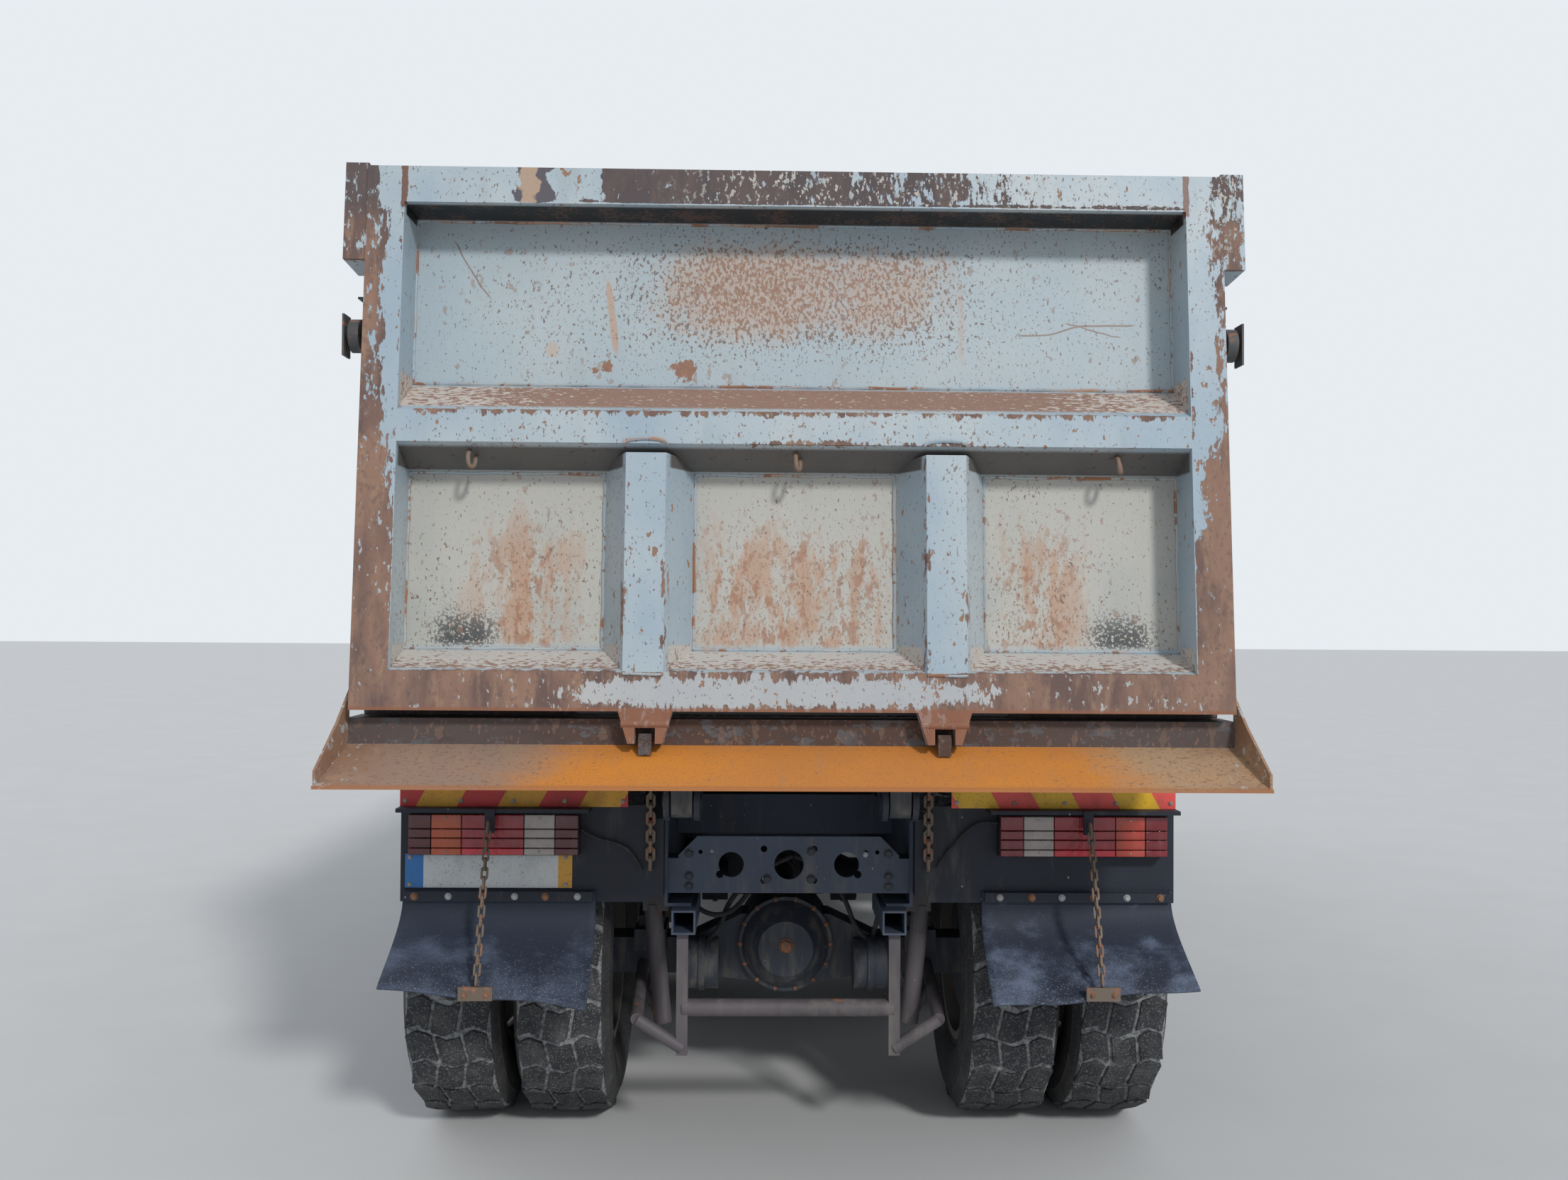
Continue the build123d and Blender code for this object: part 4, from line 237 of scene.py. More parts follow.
MIRROR_X = Matrix.Scale(-1, 4, (1, 0, 0))


def both_sides(name, source):
    """The source and its mirror image across the truck, as one piece."""
    return joined(name, [source, placed(source, name, MIRROR_X)])


def dress(obj, body, slot, *materials):
    """Give a finished piece its body and its finish; its slot is not used."""
    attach(obj, body)
    if materials:
        obj.data.materials.clear()
        for material in materials:
            obj.data.materials.append(material)
    return obj

# %% [markdown]
# Shader maths in plain sums.
#
# Paint, rust and dust are patterns worked out from where a point lies on the truck.
# Written as nodes by hand that takes pages, so one small class stands for a socket and takes +, -, * and /.
# Another makes any node, with its settings first and its sockets after, and knows the point's place.

# %% A socket that can be reckoned with
class Value:
    def __init__(self, recipe, socket):
        self.recipe = recipe
        self.socket = socket

    def reckon(self, operation, *others):
        return self.recipe.add("ShaderNodeMath", {"operation": operation}, dict(enumerate((self, *others))))

    def __add__(self, other):
        return self.reckon("ADD", other)

    def __sub__(self, other):
        return self.reckon("SUBTRACT", other)

    def __mul__(self, other):
        return self.reckon("MULTIPLY", other)

    def __truediv__(self, other):
        return self.reckon("DIVIDE", other)

    def __rsub__(self, other):
        return self.recipe.add("ShaderNodeMath", {"operation": "SUBTRACT"}, {0: other, 1: self})

    __radd__ = __add__
    __rmul__ = __mul__

    def high(self, other):
        return self.reckon("MAXIMUM", other)

    def size(self):
        return self.reckon("ABSOLUTE")

    def rest(self):
        return self.reckon("FRACT")


# %% A finish and its nodes
def srgb(red, green, blue):
    """A colour as the eye reads it, from 0 to 255, turned into linear light."""
    parts = [part / 255 for part in (red, green, blue)]
    return (*[p / 12.92 if p <= 0.04045 else ((p + 0.055) / 1.055) ** 2.4 for p in parts], 1.0)


class Finish:
    """One material: its patterns, and at the end its surface."""

    def __init__(self, name):
        self.block = bpy.data.materials.new(name)
        self.block.use_nodes = True
        self.nodes = self.block.node_tree.nodes
        self.links = self.block.node_tree.links
        self.nodes.clear()
        self.place = self.add("ShaderNodeTexCoord", {}, {}, "Object")
        self.x, self.y, self.z = [
            self.add("ShaderNodeSeparateXYZ", {}, {"Vector": self.place}, axis) for axis in "XYZ"
        ]

    def add(self, kind, settings, values, output=0):
        node = self.nodes.new(kind)
        for name, value in settings.items():
            setattr(node, name, value)
        for key, value in values.items():
            if isinstance(value, Value):
                self.links.new(value.socket, node.inputs[key])
            else:
                node.inputs[key].default_value = value
        return Value(self, node.outputs[output])

    def moved(self, stretch, seed):
        """The point's place, stretched by a factor on each axis and shifted by a seed."""
        scale = tuple(1 / part for part in stretch)
        shift = (seed * 3.7, seed * 1.9, seed * 2.3)
        return self.add("ShaderNodeMapping", {}, {"Vector": self.place, "Location": shift, "Scale": scale})

    def noise(self, size, detail=3.0, stretch=(1, 1, 1), seed=0, rough=0.55):
        """Cloudy noise about 0.5, with clouds of a size in metres."""
        where = self.moved(stretch, seed)
        values = {"Vector": where, "Scale": 1 / size, "Detail": detail, "Roughness": rough}
        return self.add("ShaderNodeTexNoise", {}, values)

    def stray(self, amount, size, detail=3.0, stretch=(1, 1, 1), seed=0, rough=0.55):
        """Noise about 0 that tears an edge: up to half an amount either way."""
        return (self.noise(size, detail, stretch, seed, rough) - 0.5) * amount

    def cells(self, size, stretch=(1, 1, 1), seed=0):
        """Distance to the nearest of many scattered points, in cells of a size in metres."""
        where = self.moved(stretch, seed)
        return self.add("ShaderNodeTexVoronoi", {}, {"Vector": where, "Scale": 1 / size})

    def ramp(self, value, start, end):
        """0 up to start, 1 from end, smooth between; it falls where start is above end."""
        settings = {"interpolation_type": "SMOOTHSTEP"}
        return self.add("ShaderNodeMapRange", settings, {0: value, 1: start, 2: end})

    def window(self, value, start, end, soft=0.02):
        """1 between two limits, fading out over a soft edge on each side."""
        rise = self.ramp(value, start - soft, start + soft)
        return rise * self.ramp(value, end + soft, end - soft)

    def chips(self, size, amount, stretch=(1, 1, 1.6), seed=0):
        """Small flakes at scattered points, larger where the amount is higher."""
        shape = self.cells(size, stretch, seed) + self.stray(0.35, size / 3, 2, (1, 1, 1), seed)
        return self.ramp(shape, amount, amount - 0.04)

    def specks(self, size, share, stretch=(1, 1, 1.5), seed=0):
        """Grains of a size in metres: a share of 0 leaves a few, a share of 1 covers about half."""
        grain = self.noise(size, 3, stretch, seed, 0.6)
        return self.ramp(grain + share * 0.24, 0.685, 0.705)

    def blob(self, x, z, radius, seed):
        """A torn round spot about a place seen from behind."""
        across, up = self.x - x, self.z - z
        gap = (across * across + up * up).reckon("SQRT")
        tear = self.stray(radius * 2.6, radius * 0.7, 5, (1, 1, 1), seed, 0.68)
        return self.ramp(gap + tear, radius, radius * 0.85)

    def mix(self, share, first, second):
        settings = {"data_type": "RGBA"}
        return self.add("ShaderNodeMix", settings, {0: share, 6: first, 7: second}, 2)

    def surface(self, colour, rough, metal=0.0, relief=None, depth=0.001, **more):
        """The shader itself; relief is a pattern that stands out by a depth in metres."""
        values = {"Base Color": colour, "Roughness": rough, "Metallic": metal}
        values.update({name.replace("_", " "): value for name, value in more.items()})
        if relief is not None:
            bump = {"Height": relief, "Distance": depth, "Strength": 1.0}
            values["Normal"] = self.add("ShaderNodeBump", {}, bump)
        shader = self.add("ShaderNodeBsdfPrincipled", {}, values)
        out = self.nodes.new("ShaderNodeOutputMaterial")
        self.links.new(shader.socket, out.inputs["Surface"])
        return self.block


# %% [markdown]
# Old body paint.
#
# On the real truck a pale blue-grey coat has been struck by stones for years. It is gone in small flakes
# everywhere, in larger torn patches along edges, and rust has run down from them.
# A picture of rust would stop at its edges and repeat, so every layer here is a mask on the truck's own
# place, laid one over the other: coat, dust, run-down rust, bare metal, flakes.

# %% Colours of the coat and its damage
COAT = srgb(156, 173, 184)
COAT_PALE = srgb(180, 189, 191)
COAT_SHADE = srgb(118, 130, 136)
DUST = srgb(176, 174, 163)
RUST = srgb(168, 112, 76)
RUST_PALE = srgb(190, 142, 108)
BARE = srgb(122, 92, 80)
GRIT = srgb(78, 80, 80)
GATE_FOOT_Y = -4.1285
GATE_FOOT_Z = 1.466
GATE_SLOPE = 0.0762


# %% Sheets of the tailgate
def sheet_colours(f, colour, lower, upper, streak, wash):
    """The three lower sheets are beige, the upper one is a paler blue."""
    colour = f.mix(lower * 0.9, colour, f.mix(streak, srgb(184, 180, 167), srgb(189, 184, 175)))
    colour = f.mix(lower * f.ramp(wash, 0.45, 0.7) * 0.5, colour, srgb(158, 164, 160))
    return f.mix(upper * 0.55, colour, srgb(176, 187, 188))


def smeared_rust(f, colour, place, streak):
    """Rust that has run down the lower sheets, with a darker core."""
    smear = f.noise(0.075, 5, (1, 1, 4.5), 4, 0.6) + f.stray(0.25, 0.02, 3, (1, 1, 2), 18)
    stain = f.ramp(smear + place * 0.20, 0.60, 0.74) * place
    colour = f.mix(stain * 0.85, colour, f.mix(streak, srgb(172, 130, 102), srgb(192, 158, 132)))
    core = f.ramp(f.noise(0.028, 4, (1, 1, 2.2), 19) + place * 0.12, 0.66, 0.74) * place
    return f.mix(core * 0.7, colour, srgb(160, 110, 82))


def rust_haze(f, colour, upper, rise, wash):
    """Grains of rust on the upper sheet, dense in the middle and thin far out."""
    spread = f.window(f.x, -0.40, 0.44, 0.24) * f.window(rise, 1.06, 1.38, 0.11) * upper
    wide = f.window(f.x, -0.85, 0.90, 0.30) * f.window(rise, 0.99, 1.38, 0.10)
    faint = spread * (0.8 + (wash - 0.5) * 0.8) + wide * 0.36
    grains = f.specks(0.0085, faint * 0.70 - 0.02, (1, 1, 1.5), 5)
    core = f.ramp(spread + (wash - 0.5) * 1.1 + f.stray(0.8, 0.02, 4, (1, 1, 1.4), 38), 0.35, 1.05)
    colour = f.mix(core * 0.60, colour, srgb(184, 150, 124))
    return f.mix(grains * upper * 0.9, colour, f.mix(core, srgb(112, 96, 86), srgb(150, 114, 92)))


def runs_and_blots(f, colour, upper, rise):
    """Two rust runs and four blots on the upper sheet."""
    run = f.window(f.x + rise * 0.12, -0.412, -0.392, 0.012) * f.window(rise, 1.03, 1.25, 0.05)
    run = run.high(f.window(f.x, 0.475, 0.50, 0.02) * f.window(rise, 0.98, 1.26, 0.08) * 0.6)
    torn = f.ramp(run * upper + f.stray(0.5, 0.03, 4, (1, 1, 2), 6), 0.25, 0.7)
    colour = f.mix(torn * 0.7, colour, srgb(186, 148, 118))
    blots = f.blob(-0.325, 2.449, 0.034, 22).high(f.blob(-0.55, 2.455, 0.017, 23))
    blots = blots.high(f.blob(-0.585, 2.445, 0.010, 24))
    blotch = f.mix(f.noise(0.02, 4, (1, 1, 1), 39), srgb(118, 88, 76), srgb(168, 122, 94))
    colour = f.mix(blots * upper, colour, blotch)
    return f.mix(f.blob(-0.711, 2.505, 0.024, 25) * upper * 0.6, colour, srgb(190, 166, 142))


def scratches(f, colour, upper, rise):
    """A slanting tear on the left, and a long sweep with a branch on the right."""
    tear = f.x + 0.95 + (rise - 1.27) * 0.62 + f.stray(0.03, 0.08, 2, (1, 1, 1), 26)
    scratch = f.ramp(tear.size(), 0.004, 0.001) * f.window(rise, 1.19, 1.36, 0.01)
    sweep = (f.z - 2.585 - (f.x - 0.85) * 0.12 - f.noise(0.2, 1, (1, 1, 1), 15) * 0.05 + 0.025).size()
    branch = (f.z - 2.60 + (f.x - 0.80) * 0.24 + f.stray(0.03, 0.1, 2, (1, 1, 1), 27)).size()
    scratch = scratch.high(f.ramp(sweep, 0.004, 0.001) * f.window(f.x, 0.66, 1.0, 0.01))
    scratch = scratch.high(f.ramp(branch, 0.003, 0.001) * f.window(f.x, 0.80, 0.96, 0.01))
    return f.mix(scratch * upper * 0.8, colour, srgb(132, 100, 78))


def gate_panels(f, colour, panel, rise):
    """All four sheets between the beams, the rust of each where it shows on the real gate."""
    lower = panel * f.window(rise, 0.17, 0.70, 0.02)
    upper = panel * f.window(rise, 0.93, 1.45, 0.02)
    streak = f.noise(0.05, 4, (1, 1, 7), 3)
    wash = f.noise(0.25, 4, (1, 1, 2), 16)
    left = f.window(f.x, -0.92, -0.62, 0.14)
    middle = f.window(f.x, -0.30, 0.30, 0.12) * 0.95
    right = f.window(f.x, 0.58, 0.84, 0.10)
    place = left.high(middle).high(right) * f.ramp(rise, 0.66, 0.40) * lower
    colour = sheet_colours(f, colour, lower, upper, streak, wash)
    colour = smeared_rust(f, colour, place, streak)
    colour = rust_haze(f, colour, upper, rise, wash)
    lower_haze = f.specks(0.008, place * 0.5, (1, 1, 1.6), 21) * lower
    colour = f.mix(lower_haze * 0.7, colour, srgb(150, 116, 92))
    colour = runs_and_blots(f, colour, upper, rise)
    corner = f.window(f.x.size(), 0.84, 1.05, 0.07) * f.ramp(rise, 0.36, 0.20) * lower
    colour = f.mix(f.specks(0.0075, corner * 1.3 - 0.1, (1, 1, 1), 14) * corner, colour, GRIT)
    return scratches(f, colour, upper, rise)


# %% Bare steel of the tailgate
def gate_bare_steel(f, rise, face):
    """Where beams, posts and ribs have lost their coat: most at their edges and feet, torn by noise."""
    far = f.x.size()
    top = f.ramp(rise, 1.430, 1.438)
    top_bare = f.ramp(f.x, -0.60, -0.50) * (0.98 - f.ramp(f.x, -0.48, 0.25) * 0.42) * f.ramp(f.x, 1.1, 0.35)
    top_bare = top_bare.high(f.ramp(rise, 1.46, 1.435) * f.ramp(f.x, -0.9, -0.5) * 0.7)
    bottom = f.ramp(rise, 0.112, 0.104)
    ends = f.ramp(f.x, -0.36, -1.08).high(f.ramp(f.x, 0.28, 0.98))
    lips = f.ramp(rise, 0.050, 0.0) * 0.36 + f.ramp(rise, 0.055, 0.107) * 0.42
    bottom_bare = ends * 0.95 + lips + 0.17
    middle = f.window(rise, 0.742, 0.838, 0.002) * f.ramp(far, 1.12, 1.05)
    worn_lip = f.ramp(rise, 0.775, 0.745) * f.window(f.x, -0.25, 0.70, 0.3) * 0.5
    middle_bare = f.ramp(rise, 0.790, 0.836) * 0.52 + worn_lip
    post = f.ramp(far, 1.112, 1.118)
    outer = f.ramp(far, 1.10, 1.22) * 0.5 + f.ramp(rise, 1.0, 0.24) * 0.62 + f.ramp(f.x, 0.0, -0.1) * 0.13
    inner = f.ramp(far, 1.145, 1.116) * 0.42
    rib = f.window(rise, 0.108, 0.742, 0.004) * f.ramp(far, 1.1, 1.0)
    rib_edge = f.ramp((far - 0.42).size(), 0.026, 0.054) * (0.34 + f.ramp(rise, 0.62, 0.25) * 0.10)
    bare = top_bare * top * (1 - post) + bottom_bare * bottom * (1 - post) + middle_bare * middle
    bare = bare + outer.high(inner) * post + rib_edge * rib
    tear = f.stray(1.1, 0.05, 6, (1, 1, 2.2), 10, 0.7) + f.stray(0.8, 0.014, 4, (1, 1, 3), 11)
    return f.ramp(bare + tear * f.ramp(bare, 0.02, 0.25), 0.46, 0.51) * face


def steel_colour(f, rise, grime, fine):
    """The bare steel itself: brown, streaked with rust, darker under the top edge."""
    streak = f.noise(0.03, 5, (1, 1, 5), 34, 0.65)
    steel = f.mix(f.ramp(grime, 0.35, 0.65), srgb(106, 84, 78), srgb(146, 114, 96))
    steel = f.mix(f.ramp(streak, 0.48, 0.66) * 0.6, steel, srgb(162, 130, 106))
    steel = f.mix(f.ramp(fine + (streak - 0.5) * 0.6, 0.5, 0.72) * 0.5, steel, srgb(96, 78, 74))
    return f.mix(f.ramp(rise, 1.36, 1.44) * 0.75, steel, srgb(78, 73, 75))


def peeled_patch(f, colour, rise, face):
    """A patch near the left end of the top beam: dark primer, with filler showing in it."""
    patch = f.window(f.x, -0.80, -0.70, 0.07) * f.ramp(rise, 1.425, 1.44) * face
    dark = f.ramp(patch + f.stray(1.5, 0.05, 5, (1, 1, 1), 12), 0.45, 0.5) * f.ramp(patch, 0.0, 0.1)
    filler = f.window(f.x, -0.785, -0.735, 0.05) + f.stray(1.2, 0.05, 4, (1, 1, 1), 31)
    primer = f.mix(f.ramp(filler, 0.45, 0.55), srgb(88, 82, 88), srgb(176, 150, 128))
    return f.mix(dark, colour, primer)


def slope_colours(f, colour, slope, rise, fine, grime):
    """The beams' slopes: dust with flecks on those that face up, painted shade on those that face down, with
    rust in the shade under the top beam.
    """
    over = slope * f.window(rise, 0.832, 0.946, 0.006)
    flecks = f.specks(0.010, 0.25 + f.ramp(f.x.size(), 0.55, 1.08) * 0.75, (2.2, 1, 1), 32)
    brown = f.mix(fine, srgb(134, 104, 92), srgb(160, 128, 110))
    colour = f.mix(over, colour, f.mix(flecks, brown, srgb(194, 184, 174)))
    sill = slope * f.window(rise, 0.104, 0.180, 0.006)
    pits = f.specks(0.010, 0.35 + f.ramp(rise, 0.15, 0.108) * 0.6, (2, 1, 1), 33)
    colour = f.mix(sill, colour, f.mix(pits, srgb(192, 186, 178), srgb(146, 118, 104)))
    # Painted shade: the middle beam's lower slope is darkened to a dark grey-brown, as if in its own shade.
    under = slope * f.window(rise, 0.678, 0.748, 0.003)
    colour = f.mix(under * 0.9, colour, f.mix(grime, srgb(62, 58, 56), srgb(98, 88, 80)))
    # Painted shade: the top beam's underside is near-black, turning rust-brown where the rusty mask is high.
    top_underside_shade = slope * f.window(rise, 1.400, 1.440, 0.003)
    rusty = f.ramp(fine + (grime - 0.5), 0.5, 0.65)
    colour = f.mix(top_underside_shade, colour, f.mix(rusty, srgb(26, 27, 29), srgb(82, 60, 50)))
    return colour, over.high(sill)


# %% Coat of the tailgate
def gate_coat():
    f = Finish("gate coat")
    rise = f.z - GATE_FOOT_Z
    depth = f.y - GATE_FOOT_Y - rise * GATE_SLOPE
    face = f.ramp(depth, 0.030, 0.012)
    panel = f.ramp(depth, 0.132, 0.145)
    slope = (1 - face) * (1 - panel)
    cloud = f.noise(0.4, 4, (1, 1, 1.5), 1)
    fine = f.noise(0.012, 4, (1, 1, 1.5), 2)
    grime = f.noise(0.09, 5, (1, 1, 3), 28)
    colour = f.mix(f.ramp(cloud, 0.35, 0.7), COAT, COAT_PALE)
    colour = f.mix(f.ramp(grime, 0.5, 0.8) * 0.35, colour, srgb(142, 148, 148))
    colour = gate_panels(f, colour, panel, rise)
    colour = f.mix(f.ramp(rise, 0.112, 0.104) * face * 0.45, colour, srgb(184, 173, 165))
    tiny = f.specks(0.0078, 0.16 + f.ramp(cloud, 0.45, 0.75) * 0.24, (1, 1, 1.7), 9)
    colour = f.mix(tiny * 0.85, colour, f.mix(fine, srgb(92, 80, 74), srgb(128, 104, 88)))
    big = f.specks(0.024, 0.06 + f.ramp(grime, 0.45, 0.7) * 0.26, (1, 1, 1.6), 8) * (1 - panel * 0.5)
    colour = f.mix(big, colour, f.mix(fine, srgb(128, 98, 82), srgb(170, 132, 104)))

    bare = gate_bare_steel(f, rise, face)
    left_over = f.specks(0.016, 0.10 + f.ramp(cloud, 0.4, 0.7) * 0.2, (1, 1, 2), 35)
    bare = bare * (1 - left_over * 0.85)
    seam = f.window(f.x.size(), 1.106, 1.124, 0.006) * f.ramp(rise, 1.38, 1.45) * face
    torn_seam = f.ramp(seam + f.stray(1.4, 0.02, 5, (1, 1, 1), 40, 0.66), 0.45, 0.55) * f.ramp(seam, 0.0, 0.1)
    rim = f.ramp(rise, 0.014, 0.004) * face
    colour = f.mix(bare.high(torn_seam), colour, steel_colour(f, rise, grime, fine))
    colour = f.mix(rim.high(torn_seam * 0.5) * 0.8, colour, srgb(142, 92, 66))
    top_right = f.ramp(rise, 1.2, 1.44) * f.ramp(f.x, -0.46, -0.1)
    crumbs = bare * f.specks(0.012, 0.42, (1, 1, 1.6), 30) * top_right
    colour = f.mix(crumbs, colour, srgb(184, 180, 172))
    colour = peeled_patch(f, colour, rise, face)
    colour, dusty = slope_colours(f, colour, slope, rise, fine, grime)
    worn = bare.high(dusty).high(big)
    return f.surface(colour, 0.48 + worn * 0.34, 0.0, fine * 0.5 - worn * 0.6, 0.0012)


# %% Coat of the tub, its rails and frames
def bed_coat(name, dust, rust, seed=0, pale=COAT_PALE, shade=None):
    """The same old coat elsewhere on the bed; dust and rust are shares from 0 to 1."""
    f = Finish(name)
    cloud = f.noise(0.7, 3, (1, 2, 1), seed)
    fine = f.noise(0.014, 4, (1, 1, 1), seed + 1)
    run = f.noise(0.12, 5, (1, 1, 5), seed + 2, 0.62)
    colour = f.mix(f.ramp(cloud, 0.3, 0.7), COAT, pale)
    colour = f.mix(f.ramp(run, 0.42, 0.7) * dust, colour, DUST)
    if shade:
        colour = f.mix(f.ramp(f.z, shade[1], shade[0]) * 0.75, colour, srgb(104, 98, 94))
    stain = f.ramp(run + f.stray(0.6, 0.5, 2, (1, 1, 1), seed + 3), 0.72 - rust * 0.3, 0.86 - rust * 0.2)
    colour = f.mix(stain * 0.85, colour, f.mix(fine, RUST, RUST_PALE))
    patch = f.ramp(f.noise(0.16, 6, (1, 1.6, 1), seed + 4, 0.68), 0.74 - rust * 0.24, 0.77 - rust * 0.24)
    colour = f.mix(patch, colour, f.mix(cloud, f.mix(run, srgb(112, 86, 76), srgb(150, 112, 90)), RUST))
    flat = (1, 1.5, 1.5)
    flakes = f.specks(0.011, 0.05 + rust * 0.3, flat, seed + 5)
    flakes = flakes.high(f.specks(0.035, rust * 0.3, flat, seed + 6))
    colour = f.mix(flakes * 0.9, colour, f.mix(fine, srgb(112, 88, 78), srgb(152, 112, 88)))
    return f.surface(colour, 0.5 + patch * 0.3, 0.0, fine * 0.5 - patch.high(flakes) * 0.5, 0.0008)


# %% Orange coat of the chute
def chute_coat():
    """Sprayed orange in the middle, worn to brown and grey where loads slide off at the ends."""
    f = Finish("chute coat")
    cloud = f.noise(0.3, 4, (2, 1, 1), 21)
    fine = f.noise(0.01, 4, (1, 1, 1), 22)
    scrape = f.noise(0.05, 4, (1.2, 5, 5), 23)
    drift = f.noise(0.12, 5, (2.5, 1, 1), 29, 0.62)
    orange = f.mix(f.ramp(cloud, 0.3, 0.75), srgb(210, 132, 46), srgb(192, 124, 62))
    orange = f.mix(f.ramp(scrape, 0.5, 0.75) * 0.4, orange, srgb(178, 128, 84))
    dusty = f.mix(scrape, srgb(160, 130, 106), srgb(144, 122, 110))
    # Painted light: towards the right end the worn, dusty colour turns paler, where the sun falls on that end.
    dusty = f.mix(f.ramp(f.x, 0.2, 0.6), dusty, srgb(174, 144, 112))
    ends = f.ramp(f.x, -0.42, -0.95).high(f.ramp(f.x, 0.62, 1.12))
    upper = f.ramp(f.z, 1.30, 1.44)
    worn = f.ramp(ends + drift - 0.5 + (fine - 0.5) * 0.5 + upper * 0.55 - 0.08, 0.15, 0.95)
    colour = f.mix(worn, orange, dusty)
    rusty_end = f.ramp(f.x.size(), 1.05, 1.22)
    end_rust = f.mix(fine, srgb(128, 98, 82), srgb(158, 118, 88))
    colour = f.mix(rusty_end * f.ramp(drift, 0.35, 0.6) * 0.8, colour, end_rust)
    pale = f.specks(0.03, 0.3, (1, 1, 1), 24) * f.ramp(f.x.size(), 1.12, 1.24)
    colour = f.mix(pale * 0.8, colour, COAT_PALE)
    pitted = f.specks(0.010, 0.12 + ends * 0.35, (1.4, 1, 1), 25)
    colour = f.mix(pitted * 0.7, colour, srgb(132, 102, 84))
    colour = f.mix(f.specks(0.006, 0.5, (1, 1, 1), 36) * 0.35, colour, srgb(150, 108, 72))
    colour = f.mix(f.ramp(f.z, 1.281, 1.274) * 0.7, colour, srgb(164, 104, 62))
    return f.surface(colour, 0.55 + fine * 0.15, 0.0, fine + scrape * 0.5, 0.0008)


# %% Bolster and rear frame
def rear_frame_coat():
    """Blue-grey left between torn brown patches under the gate; the posts keep more of their coat."""
    f = Finish("rear frame coat")
    fine = f.noise(0.012, 4, (1, 1, 1), 31)
    cloud = f.noise(0.4, 3, (1, 1, 1), 32)
    bolster = f.ramp(f.z, 1.50, 1.44)
    colour = f.mix(cloud, COAT, COAT_SHADE)
    worn = f.ramp(f.noise(0.06, 6, (1.6, 1, 1), 33, 0.7) + bolster * 0.1, 0.52, 0.55)
    ends = f.ramp(f.x.size(), 1.0, 0.4)
    worn = worn * (0.35 + bolster * 0.65) * (0.6 + ends * 0.4)
    colour = f.mix(worn, colour, f.mix(fine, BARE, srgb(118, 98, 84)))
    colour = f.mix(bolster * 0.8, colour, srgb(70, 52, 44))
    blotch = f.ramp(f.noise(0.05, 5, (2, 1, 1), 41, 0.66), 0.5, 0.66)
    colour = f.mix(blotch * bolster * 0.6, colour, srgb(74, 60, 56))
    colour = f.mix(f.specks(0.012, 0.25, (1, 1, 1.6), 34), colour, BARE)
    drip = f.specks(0.03, 0.35, (1, 1, 2), 37) * bolster
    colour = f.mix(drip * 0.6, colour, srgb(120, 96, 82))
    return f.surface(colour, 0.6 + worn * 0.2, 0.0, fine - worn, 0.0008)

# %% [markdown]
# The darker finishes.
#
# Frame, axles and brackets were sprayed dark navy-grey. Road dust dries on them in streaks, and stones leave
# white specks. One recipe with shares of dust and rust gives all of them, so that they belong together.

# %% Chassis paint and cast steel
NAVY = srgb(44, 52, 66)
ROAD_DUST = srgb(122, 116, 108)


def chassis_coat(name, base=NAVY, dust=0.3, rust=0.0, specks=0.5, seed=40, rough=0.6, metal=0.0):
    f = Finish(name)
    cloud = f.noise(0.35, 4, (1, 1, 1), seed)
    fine = f.noise(0.008, 4, (1, 1, 1), seed + 1)
    run = f.noise(0.05, 5, (1, 1, 5), seed + 2, 0.65)
    colour = f.mix(f.ramp(cloud, 0.3, 0.7), base, tuple(0.7 * part for part in base[:3]) + (1.0,))
    dusty = f.ramp(run + (cloud - 0.5) * 0.5, 0.62 - dust * 0.3, 0.95 - dust * 0.3)
    colour = f.mix(dusty * (0.3 + 0.6 * dust), colour, ROAD_DUST)
    struck = f.chips(0.035, 0.02 + 0.14 * specks, (1, 1, 1.3), seed + 3)
    colour = f.mix(struck * 0.7, colour, srgb(168, 170, 170))
    if rust:
        patch = f.ramp(f.noise(0.1, 6, (1, 1, 1), seed + 4, 0.66), 0.72 - 0.3 * rust, 0.78 - 0.25 * rust)
        colour = f.mix(patch * 0.85, colour, f.mix(fine, RUST, BARE))
    return f.surface(colour, rough + dusty * 0.2, metal, fine + run * 0.3, 0.0006)


# %% Rubber, moulded plastic and glass
def rubber(name, base=srgb(40, 41, 43), dust=0.3, seed=50):
    f = Finish(name)
    fine = f.noise(0.006, 4, (1, 1, 1), seed)
    cloud = f.noise(0.12, 5, (1, 1, 1), seed + 1, 0.6)
    scuff = f.ramp(f.noise(0.02, 5, (1, 1, 2), seed + 2, 0.7), 0.55, 0.75)
    grit = f.specks(0.006, dust * 0.7, (1, 1, 1), seed + 3)
    colour = f.mix(f.ramp(cloud, 0.4, 0.85) * dust * 0.7, base, srgb(118, 116, 114))
    colour = f.mix((scuff * 0.6).high(grit * 0.8) * dust, colour, srgb(132, 130, 126))
    return f.surface(colour, 0.72 + fine * 0.15, 0.0, fine + cloud * 0.3, 0.0008)


def mud():
    """Pale clay, dried in the grooves."""
    f = Finish("dried mud")
    fine = f.noise(0.005, 5, (1, 1, 1), 56)
    damp = f.ramp(f.noise(0.014, 5, (1, 1, 1), 57, 0.65), 0.38, 0.62)
    colour = f.mix(damp, srgb(146, 147, 146), srgb(88, 90, 92))
    return f.surface(colour, 0.9, 0.0, fine, 0.002)


def moulded(name, base, dust=0.25, seed=60, rough=0.5, grain=0.0004):
    """Grained plastic with dust in its grain."""
    f = Finish(name)
    pores = f.noise(0.0025, 2, (1, 1, 1), seed)
    cloud = f.noise(0.3, 4, (1, 1, 2), seed + 1)
    colour = f.mix(f.ramp(cloud, 0.4, 0.8) * dust, base, ROAD_DUST)
    colour = f.mix(pores * 0.15, colour, srgb(20, 20, 20))
    return f.surface(colour, rough + pores * 0.12, 0.0, pores, grain)


